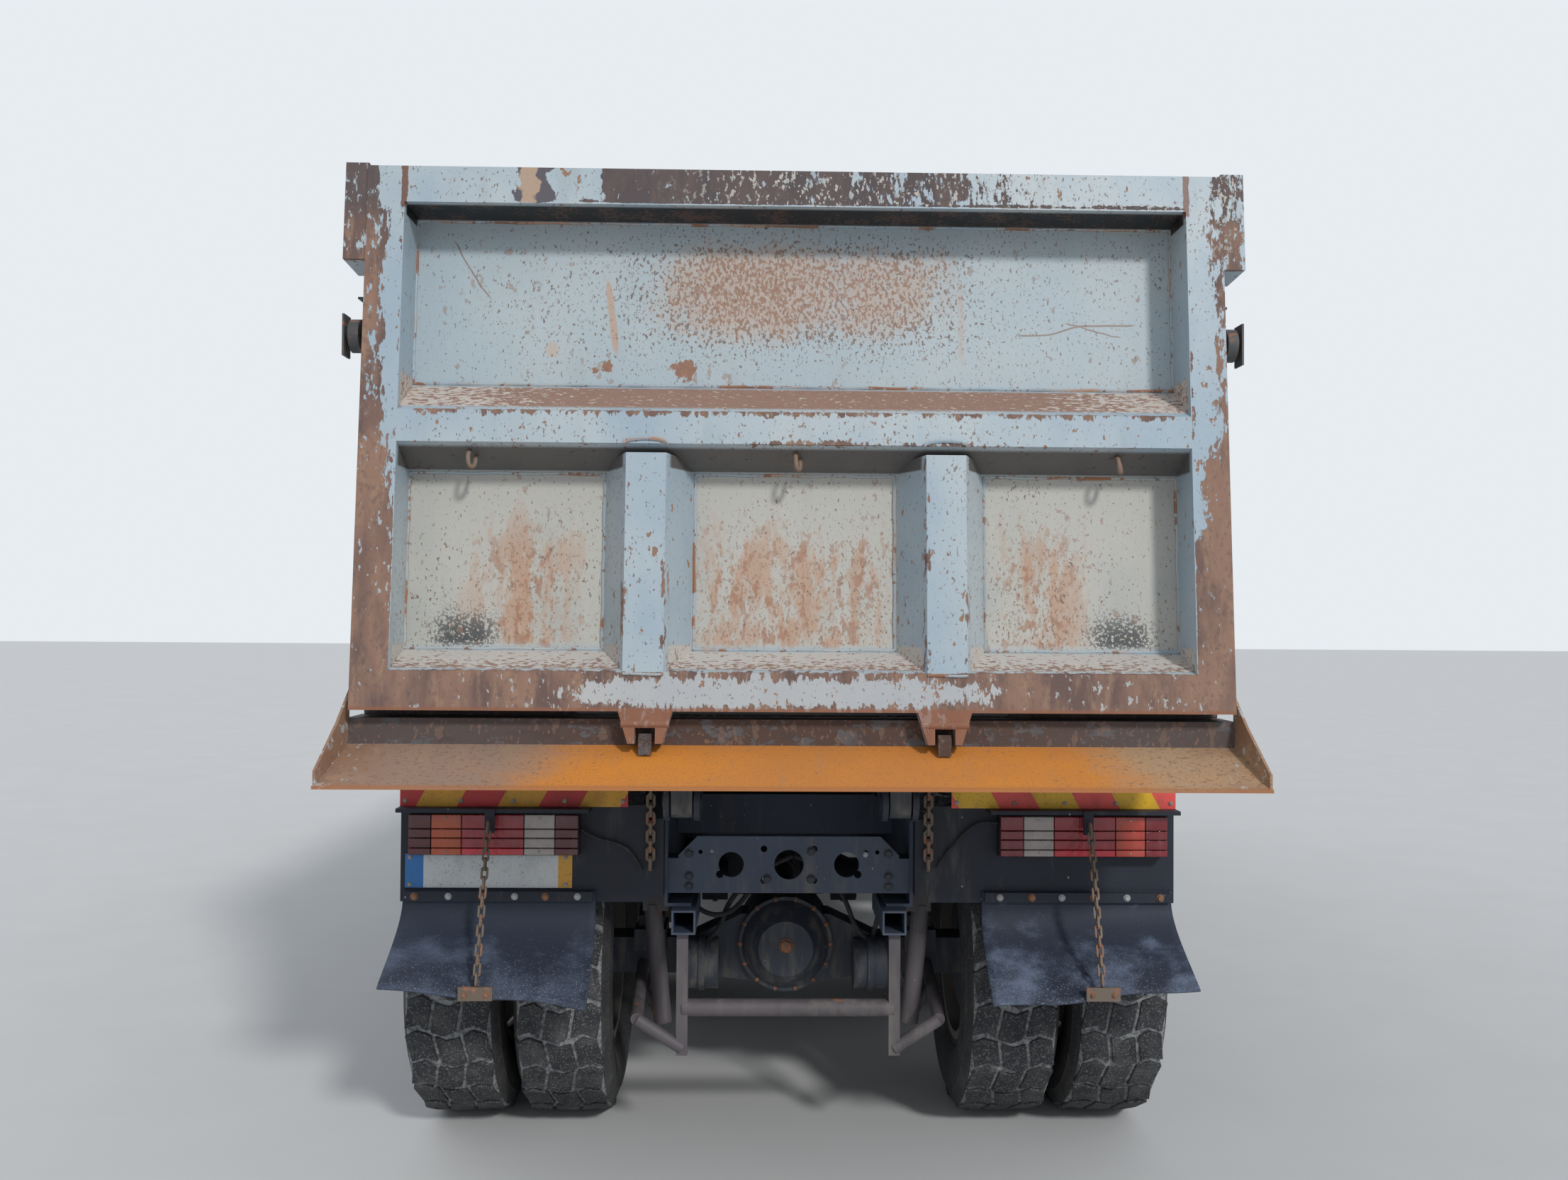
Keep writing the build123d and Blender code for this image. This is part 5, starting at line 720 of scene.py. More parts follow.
def window_glass():
    """Tinted glass: mostly see-through, with a faint film of dust low down."""
    f = Finish("window glass")
    film = f.ramp(f.noise(0.15, 4, (1, 1, 3), 70), 0.45, 0.8)
    colour = f.mix(film, srgb(20, 34, 38), srgb(70, 80, 84))
    return f.surface(colour, 0.04 + film * 0.08, 0.0, None, Alpha=0.36 + film * 0.1, IOR=1.5)


# %% Paint of the cab
def cab_coat():
    """White, with road film that thickens downwards and a few stone chips low on the face."""
    f = Finish("cab coat")
    cloud = f.noise(0.4, 4, (1, 1, 2), 75)
    run = f.noise(0.05, 4, (1, 1, 6), 76)
    low = f.ramp(f.z, 1.9, 1.0)
    film = f.ramp(run + low * 0.3, 0.5, 0.95)
    colour = f.mix(film * 0.4, srgb(222, 225, 226), srgb(168, 166, 158))
    colour = f.mix(f.ramp(cloud, 0.5, 0.9) * 0.12, colour, srgb(190, 192, 190))
    chips = f.chips(0.06, 0.08, (1, 1, 1), 77) * low
    colour = f.mix(chips, colour, srgb(90, 80, 74))
    ripple = f.noise(0.003, 2, (1, 1, 1), 78)
    return f.surface(colour, 0.22 + film * 0.3, 0.0, ripple, 0.00004, Coat_Weight=0.5 - film * 0.4)


# %% Metals
def metal(name, base, rough=0.35, stain=0.2, seed=80, metallic=0.9, brush=(1, 1, 1), rust=0.0):
    f = Finish(name)
    fine = f.noise(0.004, 4, brush, seed)
    cloud = f.noise(0.15, 4, (1, 1, 1), seed + 1)
    dull = f.ramp(cloud, 0.4, 0.75)
    colour = f.mix(dull * stain, base, ROAD_DUST)
    corroded = f.ramp(f.noise(0.035, 6, (1, 1, 1), seed + 2, 0.68), 0.72 - 0.4 * rust, 0.8 - 0.35 * rust)
    colour = f.mix(corroded, colour, f.mix(fine, RUST, BARE))
    gleam = (1 - corroded) * (1 - dull * stain) * metallic
    return f.surface(colour, rough + dull * 0.2 + corroded * 0.3, gleam, fine, 0.0003)


# %% Lamp lenses, boards and plate
def lens(name, colour, share=0.5):
    """Ribbed plastic: upright flutes inside, darker towards the top where no cup lies behind."""
    f = Finish(name)
    flutes = ((f.x * 170).rest() - 0.5).size() * 2
    cups = f.noise(0.05, 3, (1, 1, 1), 90)
    film = f.ramp(f.noise(0.04, 4, (1, 1, 3), 91), 0.45, 0.8)
    dark = tuple(0.3 * part for part in colour[:3]) + (1.0,)
    upper = f.ramp(f.z, 1.004, 1.012)
    shade = f.mix(f.ramp(cups, 0.3, 0.75) * 0.25 + flutes * 0.15 + upper * share, colour, dark)
    shade = f.mix(film * 0.16, shade, srgb(150, 140, 135))
    return f.surface(shade, 0.16 + film * 0.3, 0.0, flutes, 0.0006, Coat_Weight=0.6)


PLATE_X = (-1.200, -0.680)


def boards_and_plate():
    """Slanted stripes, mirrored across the truck and lighter on the right as painted light; below them a blank
    plate.
    """
    f = Finish("boards and plate")
    pitch = 0.252
    along = f.x.size() - (f.z - 1.2) * -0.55
    wave = ((along - 0.492) / pitch).rest()
    red = f.ramp((wave - 0.75).size(), 0.253, 0.247)
    # Painted light: the stripes on the right half get lighter colours, as the sun falls on that side.
    right = f.ramp(f.x, -0.01, 0.01)
    yellow_lit_right = f.mix(right, srgb(206, 150, 28), srgb(226, 178, 34))
    red_lit_right = f.mix(right, srgb(190, 36, 40), srgb(232, 84, 76))
    colour = f.mix(red, yellow_lit_right, red_lit_right)
    low, high = PLATE_X
    field = f.mix(f.ramp(f.x, low + 0.058, low + 0.056), srgb(198, 202, 202), srgb(36, 112, 178))
    field = f.mix(f.ramp(f.x, high - 0.045, high - 0.043), field, srgb(206, 152, 52))
    rim = f.ramp((f.z - 0.926).size(), 0.0515, 0.0525)
    field = f.mix(rim, field, srgb(40, 42, 46))
    colour = f.mix(f.ramp(f.z, 1.05, 1.06), field, colour)
    grime = f.ramp(f.noise(0.08, 5, (1, 1, 2), 95), 0.45, 0.85)
    colour = f.mix(grime * 0.45, colour, srgb(104, 88, 70))
    colour = f.mix(f.specks(0.006, 0.25, (1, 1, 1), 96) * 0.5, colour, srgb(70, 52, 40))
    beads = f.noise(0.002, 2, (1, 1, 1), 97)
    return f.surface(colour, 0.35 + grime * 0.3, 0.0, beads, 0.0002)


def seat_cloth():
    """Woven cloth: two sets of threads about 2 mm apart, with a lighter fleck."""
    f = Finish("seat cloth")
    thread = 480
    across = (((f.x + f.y * 0.2) * thread).rest() - 0.5).size()
    along = (((f.z + f.y) * thread).rest() - 0.5).size()
    weave = across + along
    fleck = f.ramp(f.noise(0.004, 2, (1, 1, 1), 99), 0.55, 0.62)
    worn = f.noise(0.2, 3, (1, 1, 1), 100)
    colour = f.mix(weave * 0.5, srgb(52, 56, 62), srgb(84, 88, 94))
    colour = f.mix(fleck * 0.3, colour, srgb(120, 124, 130))
    colour = f.mix(f.ramp(worn, 0.4, 0.8) * 0.2, colour, srgb(110, 106, 100))
    return f.surface(colour, 0.9, 0.0, weave, 0.0006)

# %% [markdown]
# Camera, floor and light.
#
# The view is from behind at eye height, a little left of the middle, as a person stands at the tailgate.
# Lens and place were found by matching known sizes to the view. The light is a soft bright sky,
# with a broad sun from behind the camera on the right, so that the beams cast their shadows on the panels.

# %% Camera
EYE = Vector((-0.1043, -7.6171, 1.7367))
YAW = radians(1.161)
PITCH = radians(1.062)
ROLL = radians(0.401)
LENS = 29.16

ahead = Vector((sin(YAW) * cos(PITCH), cos(YAW) * cos(PITCH), sin(PITCH)))
level = Vector((cos(YAW), -sin(YAW), 0))
upright = level.cross(ahead)
right = level * cos(ROLL) + upright * sin(ROLL)
upward = upright * cos(ROLL) - level * sin(ROLL)
camera_data = bpy.data.cameras.new("camera")
camera_data.lens = LENS
camera_data.sensor_width = 36.0
camera = bpy.data.objects.new("camera", camera_data)
camera.matrix_world = Matrix((
    (right.x, upward.x, -ahead.x, EYE.x),
    (right.y, upward.y, -ahead.y, EYE.y),
    (right.z, upward.z, -ahead.z, EYE.z),
    (0, 0, 0, 1),
))
bpy.context.scene.collection.objects.link(camera)
bpy.context.scene.camera = camera

# %% Floor, sky and sun
bpy.context.scene.view_settings.view_transform = "Standard"
pick_only(*frame["bodies"].values())
bpy.ops.mesh.primitive_plane_add(size=120, location=(0, 0, 0))
floor = bpy.context.object
floor.name = "floor"
ground = Finish("pale floor")
grain = ground.noise(0.4, 4, (1, 1, 1), 150)
floor.data.materials.append(ground.surface(ground.mix(grain, srgb(196, 196, 194), srgb(204, 204, 202)), 0.9))

world = bpy.data.worlds.new("soft sky")
world.use_nodes = True
bpy.context.scene.world = world
world.node_tree.nodes.clear()
rays = world.node_tree.nodes.new("ShaderNodeLightPath")
seen = world.node_tree.nodes.new("ShaderNodeMath")
seen.operation = "MAXIMUM"
world.node_tree.links.new(rays.outputs["Is Camera Ray"], seen.inputs[0])
world.node_tree.links.new(rays.outputs["Is Transmission Ray"], seen.inputs[1])
backdrop = world.node_tree.nodes.new("ShaderNodeMix")
backdrop.data_type = "RGBA"
backdrop.inputs[6].default_value = (0.56, 0.60, 0.66, 1)
backdrop.inputs[7].default_value = (0.80, 0.84, 0.88, 1)
world.node_tree.links.new(seen.outputs[0], backdrop.inputs[0])
sky = world.node_tree.nodes.new("ShaderNodeBackground")
world.node_tree.links.new(backdrop.outputs[2], sky.inputs["Color"])
sky_out = world.node_tree.nodes.new("ShaderNodeOutputWorld")
world.node_tree.links.new(sky.outputs[0], sky_out.inputs["Surface"])


def sun(name, strength, direction, spread):
    data = bpy.data.lights.new(name, "SUN")
    data.energy = strength
    data.angle = radians(spread)
    lamp = bpy.data.objects.new(name, data)
    lamp.rotation_euler = Vector(direction).to_track_quat("-Z", "Y").to_euler()
    bpy.context.scene.collection.objects.link(lamp)


sun("sun", 1.7, (-0.42, 0.85, -0.62), 7)
sun("sky fill", 0.35, (0.6, -0.5, -0.5), 40)

# %% [markdown]
# Tyres with blocks and mud.
#
# The driven wheels carry traction tyres: rows of three rubber blocks whose edges run in a W across the tread,
# with pale clay in the grooves. One row is modelled and copied round the wheel, every other row mirrored,
# so that the long grooves zigzag. The casing under it is an outline spun about the axle.

# %% Casing of a traction tyre
GROOVE_R = 0.5185
TREAD_TOP = 0.5284
ROWS = 28
rubber_coat = rubber("tyre rubber", srgb(36, 38, 42), 0.62)
side_coat = rubber("tyre side", srgb(46, 46, 47), 0.45, 53)
clay = mud()


def casing_side():
    """The sidewall's outline on one side, from the bead to the shoulder."""
    return [
        (0.113, 0.288), (0.116, 0.306), (0.124, 0.316), (0.126, 0.322), (0.131, 0.325), (0.1465, 0.352),
        (0.1555, 0.388), (0.1575, 0.415), (0.1565, 0.440), (0.1530, 0.459), (0.1535, 0.463), (0.1500, 0.467),
        (0.1450, 0.482), (0.1390, 0.498), (0.1330, 0.510),
    ]


def casing(name, steps, crown):
    """A spun casing; crown is the tread's outline on one side, from the shoulder inwards."""
    half = casing_side() + crown
    outline = half + [(-along, radius) for along, radius in reversed(half) if along > 0.0001]
    return lathe(name, outline, steps)


def mark_grooves(obj, low, high):
    """Give the faces between two radii under the tread the second finish."""
    obj.data.materials.clear()
    obj.data.materials.append(side_coat)
    obj.data.materials.append(clay)
    obj.data.materials.append(rubber_coat)
    for face in obj.data.polygons:
        middle = face.center
        radius = hypot(middle.y, middle.z)
        if abs(middle.x) < 0.132 and radius > 0.45:
            face.material_index = 1 if low < radius < high else 2


traction_casing = casing("traction casing", 96, [(0.126, 0.5175), (0.06, GROOVE_R), (0.0, GROOVE_R)])
mark_grooves(traction_casing, 0.5, 0.522)
print("casing faces", len(traction_casing.data.polygons))

# %% One row of blocks, copied round
WAVE = {-0.128: 0.004, -0.088: 0.018, -0.050: -0.006, 0.0: -0.020, 0.040: -0.002, 0.088: 0.016, 0.128: -0.004}
BLOCKS = ((-0.130, -0.056), (-0.044, 0.034), (0.046, 0.130))
BLOCK_HALF = 0.049
SLANT = Matrix(((1, 0.16, 0, 0), (0, 1, 0, 0), (0, 0, 1, 0), (0, 0, 0, 1)))


def tread_block(x0, x1):
    block = slab("block", (x0, -BLOCK_HALF, 0.506), (x1, BLOCK_HALF, TREAD_TOP - 0.0028), 0)
    edit(block)
    for x in WAVE:
        if x0 < x < x1:
            bpy.ops.mesh.select_all(action="SELECT")
            bpy.ops.mesh.bisect(plane_co=(x, 0, 0), plane_no=(1, 0, 0))
    stops = sorted(WAVE)
    for x in sorted({round(v.co.x, 4) for v in bmesh.from_edit_mesh(block.data).verts}):
        before = max(stop for stop in stops[:-1] if stop <= max(x, stops[0]))
        after = stops[stops.index(before) + 1]
        share = min(max((x - before) / (after - before), 0), 1)
        shift = WAVE[before] * (1 - share) + WAVE[after] * share
        choose(block, "VERT", lambda place, normal: abs(place.x - x) < 0.0005)
        bpy.ops.transform.translate(value=(0, shift, 0))
    if abs(x0) > 0.1 or abs(x1) > 0.1:
        choose(block, "VERT", lambda place, normal: abs(place.x) > 0.125)
        bpy.ops.transform.translate(value=(0, 0, -0.004))
    leave()
    block.data.transform(SLANT)
    ease(block, 0.0022, 1)
    return block


row = joined("row", [tread_block(*ends) for ends in BLOCKS])
mirrored_row = placed(row, "mirrored row", MIRROR_X)
rings = [
    placed(mirrored_row if i % 2 else row, "row", Matrix.Rotation(tau * i / ROWS, 4, "X"))
    for i in range(ROWS)
]
tread = joined("tread", rings)
tread.data.materials.clear()
tread.data.materials.append(rubber_coat)
discard(row)
discard(mirrored_row)
traction_tyre = joined("traction tyre", [traction_casing, tread])
bpy.ops.object.shade_smooth_by_angle(angle=radians(30))
print("traction tyre faces", len(traction_tyre.data.polygons))

# %% Road tyre: five ribs with wavy grooves
RIB_STEPS = 144
GROOVES = (0.034, 0.086)
GROOVE_HALF = 0.005
road_crown = [(0.124, 0.5245), (0.118, 0.5290)]
for middle in reversed(GROOVES):
    road_crown += [(middle + GROOVE_HALF, 0.5292), (middle + GROOVE_HALF - 0.001, GROOVE_R)]
    road_crown += [(middle - GROOVE_HALF + 0.001, GROOVE_R), (middle - GROOVE_HALF, 0.5294)]
road_crown.append((0.0, 0.5295))
road_tyre = casing("road tyre", RIB_STEPS, road_crown)
edit(road_tyre)
for phase, shift in ((0, 0.0028), (2, -0.0028)):
    def in_wave(place, normal):
        step = round((atan2(place.z, place.y) / tau + 0.5) * RIB_STEPS)
        in_grooves = 0.02 < abs(place.x) < 0.1 and hypot(place.y, place.z) > 0.51
        return in_grooves and step % 4 in (phase, phase + 1)

    choose(road_tyre, "VERT", in_wave)
    bpy.ops.transform.translate(value=(shift, 0, 0))
leave()
mark_grooves(road_tyre, 0.5, 0.5175)
print("road tyre faces", len(road_tyre.data.polygons))

# %% Tyres on all wheels
AXLES = {}
for number in (1, 2, 3, 4):
    low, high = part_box(f"rim_{number}_right")
    AXLES[number] = ((low.x + high.x) / 2, (low.y + high.y) / 2, (low.z + high.z) / 2)
DUAL = 0.350
REAR_WHEEL_X = 0.902
FRONT_WHEEL_X = 1.020
for number, (_, y, z) in AXLES.items():
    for side, sign in (("right", 1), ("left", -1)):
        spots = [FRONT_WHEEL_X] if number < 3 else [REAR_WHEEL_X - DUAL / 2, REAR_WHEEL_X + DUAL / 2]
        source = road_tyre if number < 3 else traction_tyre
        name = f"tyre_{number}_{side}_tread"
        tyres = [
            placed(source, name, at(sign * x, y, z) @ Matrix.Rotation(0.4 * i + number, 4, "X"))
            for i, x in enumerate(spots)
        ]
        tyre = dress(joined(name, tyres), f"wheel_{number}_{side}", "tyre_rubber")
        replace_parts(tyre, f"tyre_{number}_{side}")
discard(traction_tyre)
discard(road_tyre)


# %% [markdown]
# Small parts of the tailgate.
#
# The gate's beams and ribs are folded sheet, welded all round to the sheet behind. The seams show as beads,
# with rusty caps where the ribs end, and three bent hooks for the cover's ropes sit under the middle beam.
# A bead could be a bump in the paint, but it catches light from every side only where it is real.
# These parts are placed in the gate's own upright drawing and then leaned with it.

# %% Weld beads and caps
GATE = at(0, GATE_FOOT_Y, GATE_FOOT_Z) @ Matrix.Rotation(radians(-4.36), 4, "X")
BEAD_Y = 0.147
POST_INNER = 1.114
RIB_INNER = 0.290
RIB_OUTER = 0.550
LOWER_PANEL = (0.176, 0.685)
UPPER_PANEL = (0.946, 1.435)
weld_steel = metal("weld steel", srgb(140, 116, 98), 0.75, 0.5, 120, 0.1, (1, 1, 1), 0.35)


def bead(points, radius):
    """A weld seam along straight lines, its height wandering a little as a hand-laid seam does."""
    steps = []
    for start, end in zip(points, points[1:]):
        run = Vector(end) - Vector(start)
        count = max(2, round(run.length / 0.02))
        for i in range(count):
            share = i / count
            sway = sin(37 * (share * run.length + points[0][0])) * 0.0012
            steps.append(Vector(start) + run * share + Vector((sway, -abs(sway), sway)))
    steps.append(Vector(points[-1]))
    return wire("bead", steps, radius, 3, False, 1)


beads = []
for x0, x1, (z0, z1) in (
    (-POST_INNER, POST_INNER, UPPER_PANEL),
    (-POST_INNER, -RIB_OUTER, LOWER_PANEL),
    (-RIB_INNER, RIB_INNER, LOWER_PANEL),
    (RIB_OUTER, POST_INNER, LOWER_PANEL),
):
    corners = [(x0, BEAD_Y, z0), (x1, BEAD_Y, z0), (x1, BEAD_Y, z1), (x0, BEAD_Y, z1), (x0, BEAD_Y, z0)]
    beads.append(bead(corners, 0.005))
for x in (-0.42, 0.42):
    arc = [(x + 0.064 * cos(pi * i / 10), -0.002, 0.744 + 0.016 * sin(pi * i / 10)) for i in range(11)]
    beads.append(wire("cap", arc, 0.0055, 3, False, 1))
    beads.append(bead([(x - 0.056, -0.001, 0.102), (x + 0.056, -0.001, 0.102)], 0.004))
seams = placed(joined("seams", beads), "gate_seams", GATE)
discard(bpy.data.objects["seams"])
seam_coat = bed_coat("seam coat", 0.3, 0.75, 117, srgb(172, 176, 174))
dress(seams, "tailgate", "bed_paint", seam_coat)
print("seams", len(seams.data.polygons), "faces")

# %% Rope hooks under the middle beam
hook_line = [
    (-0.006, 0.050, 0.726), (-0.006, 0.028, 0.722), (-0.005, 0.020, 0.700), (-0.003, 0.026, 0.684),
    (0.004, 0.038, 0.680), (0.008, 0.050, 0.690), (0.008, 0.060, 0.712), (0.008, 0.075, 0.722),
]
hook_spots = [GATE @ at(x, 0, 0) for x in (-0.914, 0.004, 0.918)]
hooks = repeated("gate_hooks", wire("hook", hook_line, 0.0065, 3, False, 2), hook_spots)
dress(hooks, "tailgate", "bed_paint", weld_steel)

# %% [markdown]
# Bolts.
#
# One hexagon bolt on its washer is modelled once, pointing up, and stands wherever a bracket is screwed on.
# Its edges are eased by half a millimetre, which is enough to show as a line of light.

# %% A hexagon bolt and its places
def hexagon(name, across, height, washer=1.35):
    """A bolt head on a washer, at the origin, pointing up; across is its width over two flats."""
    radius = across / 1.732
    bpy.ops.object.select_all(action="DESELECT")
    bpy.ops.mesh.primitive_cylinder_add(vertices=6, radius=radius, depth=height, location=(0, 0, height / 2))
    head = settle(bpy.context.object, "head", height * 0.12, 1)
    if not washer:
        head.name = name
        return head
    under = rod("washer", (0, 0, -0.0005), (0, 0, height * 0.25), radius * washer, 14)
    return joined(name, [head, under])


def facing(direction, *places):
    """Matrices that stand a thing up along a direction at each place."""
    turn = Vector(direction).to_track_quat("Z", "Y").to_matrix().to_4x4()
    return [at(*place) @ turn for place in places]


def bolts(name, head, spots, slot, coat):
    """The same bolt at many places of the chassis, all facing backwards, as one piece."""
    return dress(repeated(name, head, facing((0, -1, 0), *spots)), "chassis", slot, coat)


BRACKET_Y = -3.6115
PLATE_Y = -3.6155
STRIP_Y = -3.6355
BOARD_Y = -3.6522
STRIP_X = (0.66, 0.76, 0.855, 0.955, 1.06, 1.165)
BOARD_X = (0.52, 0.70, 0.86, 1.02, 1.192)
zinc = metal("zinc bolts", srgb(150, 148, 140), 0.5, 0.5, 125, 0.7, (1, 1, 1), 0.35)
rusty_bolt = metal("rusty bolts", srgb(120, 92, 74), 0.65, 0.4, 127, 0.3, (1, 1, 1), 0.75)
pale_bolt = metal("painted bolts", srgb(170, 172, 172), 0.5, 0.4, 129, 0.3, (1, 1, 1), 0.2)
navy_bolt = chassis_coat("navy bolts", srgb(52, 58, 68), 0.5, 0.25, 0.3, 131)
strip_spots = [(side * x, STRIP_Y, 0.851) for side in (1, -1) for x in STRIP_X]
plate_spots = [(x, PLATE_Y, z) for z in (0.968, 0.884) for x in (-1.185, -0.70)]
board_spots = [(side * x, BOARD_Y, z) for side in (1, -1) for x in BOARD_X for z in (1.150, 1.245)]
bolts("strip_bolts", hexagon("bolt", 0.014, 0.007), strip_spots[::2], "chassis_paint", pale_bolt)
bolts("strip_bolts_rusty", hexagon("bolt", 0.016, 0.009), strip_spots[1::2], "chassis_paint", rusty_bolt)
bolts("board_screws", hexagon("bolt", 0.009, 0.004), plate_spots + board_spots, "plate_paint", zinc)

# %% Bolts of the rear member, links and sockets
MEMBER_Y = -3.5535
member_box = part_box("chassis_frame")
member_spots = [(0.070, MEMBER_Y, 0.979), (0.070, MEMBER_Y, 0.891), (-0.070, MEMBER_Y, 0.891)]
member_spots += [(side * 0.318, MEMBER_Y, z) for side in (1, -1) for z in (0.972, 0.900, 0.868)]
pale_spot = (0.244, MEMBER_Y, 0.969)
bolts("member_bolts", hexagon("bolt", 0.019, 0.011), member_spots, "chassis_paint", navy_bolt)
bolts("member_bolt_pale", hexagon("bolt", 0.011, 0.007), [pale_spot], "chassis_paint", pale_bolt)
print("rear member at", [round(v, 4) for v in member_box[0]])

# %% [markdown]
# Rear lamps.
#
# Each lamp is a dark tray with a ribbed cover in five colours, cut by three black grooves that run right
# across. The cover could be one block with painted bands, but the grooves are what makes it read as a lamp,
# so each colour is a stack of four bars with rounded edges, and the amber and clear ones are screwed on.

# %% Lamp trays, bars and screws
LAMP_X = (0.654, 1.178)
LAMP_Z = (0.985, 1.111)
LAMP_FRONT = -3.6715
LAMP_BACK = -3.6322
LAMP_SHARES = (83, 110, 225, 112, 85)
ROW_SHARES = (28, 39, 36, 57)
MAROON = srgb(92, 18, 28)
CRIMSON = srgb(206, 24, 46)
AMBER = srgb(190, 78, 26)
SMOKED = srgb(176, 166, 160)
LEFT_LAMP = (("maroon", MAROON), ("amber", AMBER), ("red", CRIMSON), ("clear", SMOKED), ("maroon", MAROON))
# Painted light: the right lamp's maroon sections are a lighter red than the left lamp's, as the right side is
# more brightly lit. The finish is made once for the first of them and shared by both.
RIGHT_LAMP = (
    ("lit_maroon", srgb(130, 20, 30)), ("orange", srgb(186, 62, 40)), ("crimson", CRIMSON), ("smoke", SMOKED),
    ("lit_maroon", MAROON),
)
lens_coats = {}


def lens_bars(side, number, x0, x1, name, colour):
    """One colour of a lamp as four bars; its finish is made once and shared."""
    total = sum(ROW_SHARES)
    z = LAMP_Z[0]
    bars = []
    for i, share in enumerate(ROW_SHARES):
        height = (LAMP_Z[1] - LAMP_Z[0]) * share / total
        low, high = sorted((side * x0, side * x1))
        bars.append(slab("bar", (low, LAMP_FRONT, z + 0.0012), (high, LAMP_BACK, z + height - 0.0012), 0.003))
        z += height
    lens_obj = joined(f"lamp_{'right' if side > 0 else 'left'}_{number}_{name}", bars)
    if name not in lens_coats:
        lens_coats[name] = lens(f"{name} lens", colour, 0.6 if "red" in name or "crim" in name else 0.15)
    return dress(lens_obj, "chassis", "lamp_lens", lens_coats[name])


lens_spots = []
trays = []
for side, colours in ((1, RIGHT_LAMP), (-1, LEFT_LAMP)):
    x = LAMP_X[1]
    for number, (share, (name, colour)) in enumerate(zip(LAMP_SHARES, colours)):
        width = (LAMP_X[1] - LAMP_X[0]) * share / sum(LAMP_SHARES)
        piece = lens_bars(side, number, x - width + 0.001, x - 0.001, name, colour)
        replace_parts(piece, "lamps")
        if number in (1, 3):
            middle = side * (x - width / 2)
            lens_spots += [(middle, LAMP_FRONT, z) for z in (LAMP_Z[0] + 0.012, LAMP_Z[1] - 0.012)]
        x -= width
    low, high = sorted((side * (LAMP_X[0] - 0.0005), side * (LAMP_X[1] + 0.0005)))
    tray_low = (low, LAMP_FRONT + 0.010, LAMP_Z[0] - 0.002)
    tray_high = (high, LAMP_BACK + 0.0115, LAMP_Z[1] + 0.002)
    trays.append(slab("tray", tray_low, tray_high, 0.003))
tray_coat = moulded("lamp tray", srgb(22, 22, 24), 0.3, 135)
tray = dress(joined("lamp_trays", trays), "chassis", "lamp_lens", tray_coat)
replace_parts(tray, "lamps")
screw = rod("screw", (0, 0, -0.001), (0, 0, 0.0022), 0.0034, 12, 0.0008)
bolts("lamp_screws", screw, lens_spots, "lamp_lens", zinc)
print("lamp screws", len(lens_spots))

# %% [markdown]
# Mudflaps.
#
# Each flap is a sheet of black rubber under a steel strip. The chain pulls its foot back, so it hangs in a
# curve, its foot slopes up outwards and waves where the sheet has taken a set. A flat plate with a bump map
# would keep a ruler-straight edge, so the sheet is a fine grid that is bent point by point and then given
# its thickness.

# %% Bent rubber sheets
FLAP_INNER = 0.606
FLAP_OUTER = 1.204
FLAP_TOP = 0.868
FLAP_FOOT_Y = -3.8563
FLAP_T = 0.008


def flap_rubber():
    """Blue-black rubber; dust lies in clouds that grow towards the foot, with a fine pale grit in them."""
    f = Finish("flap rubber")
    fine = f.noise(0.005, 4, (1, 1, 1), 140)
    cloud = f.noise(0.11, 5, (1.3, 1, 1), 141, 0.62)
    low = f.ramp(f.z, 0.80, 0.60)
    film = f.ramp(cloud + low * 0.22 + (fine - 0.5) * 0.25, 0.55, 0.92)
    share = f.ramp(f.x, -0.2, 0.2) * 0.4 + 0.5
    colour = f.mix(film * share, srgb(32, 41, 57), srgb(108, 120, 142))
    grit = f.specks(0.005, low * 0.5 - 0.1, (1, 1, 1.2), 142)
    colour = f.mix(grit * 0.4, colour, srgb(146, 150, 158))
    return f.surface(colour, 0.66 + film * 0.2, 0.0, fine + cloud * 0.3, 0.0008)


flap_coat = flap_rubber()


def flap(side, name):
    bpy.ops.object.select_all(action="DESELECT")
    bpy.ops.mesh.primitive_grid_add(x_subdivisions=30, y_subdivisions=24, size=1)
    sheet = bpy.context.object
    for vertex in sheet.data.vertices:
        across = vertex.co.x + 0.5
        down = 0.5 - vertex.co.y
        foot = 0.572 + 0.056 * across + 0.004 * sin(across * 11 + side)
        z = FLAP_TOP + (foot - FLAP_TOP) * down
        x = FLAP_INNER + (FLAP_OUTER - FLAP_INNER) * across + 0.016 * down * (across - 0.4)
        bow = 0.5 - 0.5 * cos(pi * min(1.0, max(0.0, (down - 0.16) / 0.84)) * 0.62)
        y = BRACKET_Y - 0.0004 + (FLAP_FOOT_Y - BRACKET_Y) * bow / (0.5 - 0.5 * cos(pi * 0.62))
        y += 0.010 * down * down * sin(across * 8.5 + 1.4 * side) - 0.016 * down * (across - 0.5) ** 2
        vertex.co = (side * x, y, z)
    edit(sheet)
    bpy.ops.mesh.select_all(action="SELECT")
    bpy.ops.mesh.normals_make_consistent(inside=False)
    leave()
    if sheet.data.polygons[300].normal.y > 0:
        sheet.data.flip_normals()
    pick_only(sheet)
    thick = sheet.modifiers.new("rubber thickness", "SOLIDIFY")
    thick.thickness = FLAP_T
    thick.offset = 1
    bpy.ops.object.modifier_apply(modifier=thick.name)
    ease(sheet, 0.0015, 1, 60)
    settle(sheet, name, smooth=50)
    dress(sheet, "chassis", "flap_rubber", flap_coat)
    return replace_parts(sheet, "mudflaps")


flap(1, "mudflap_right")
flap(-1, "mudflap_left")
tab_spots = [(side * x, -3.8748, 0.618) for side in (1, -1) for x in (0.890, 0.954)]
bolts("tab_bolts", hexagon("bolt", 0.011, 0.006), tab_spots, "chain_steel", rusty_bolt)
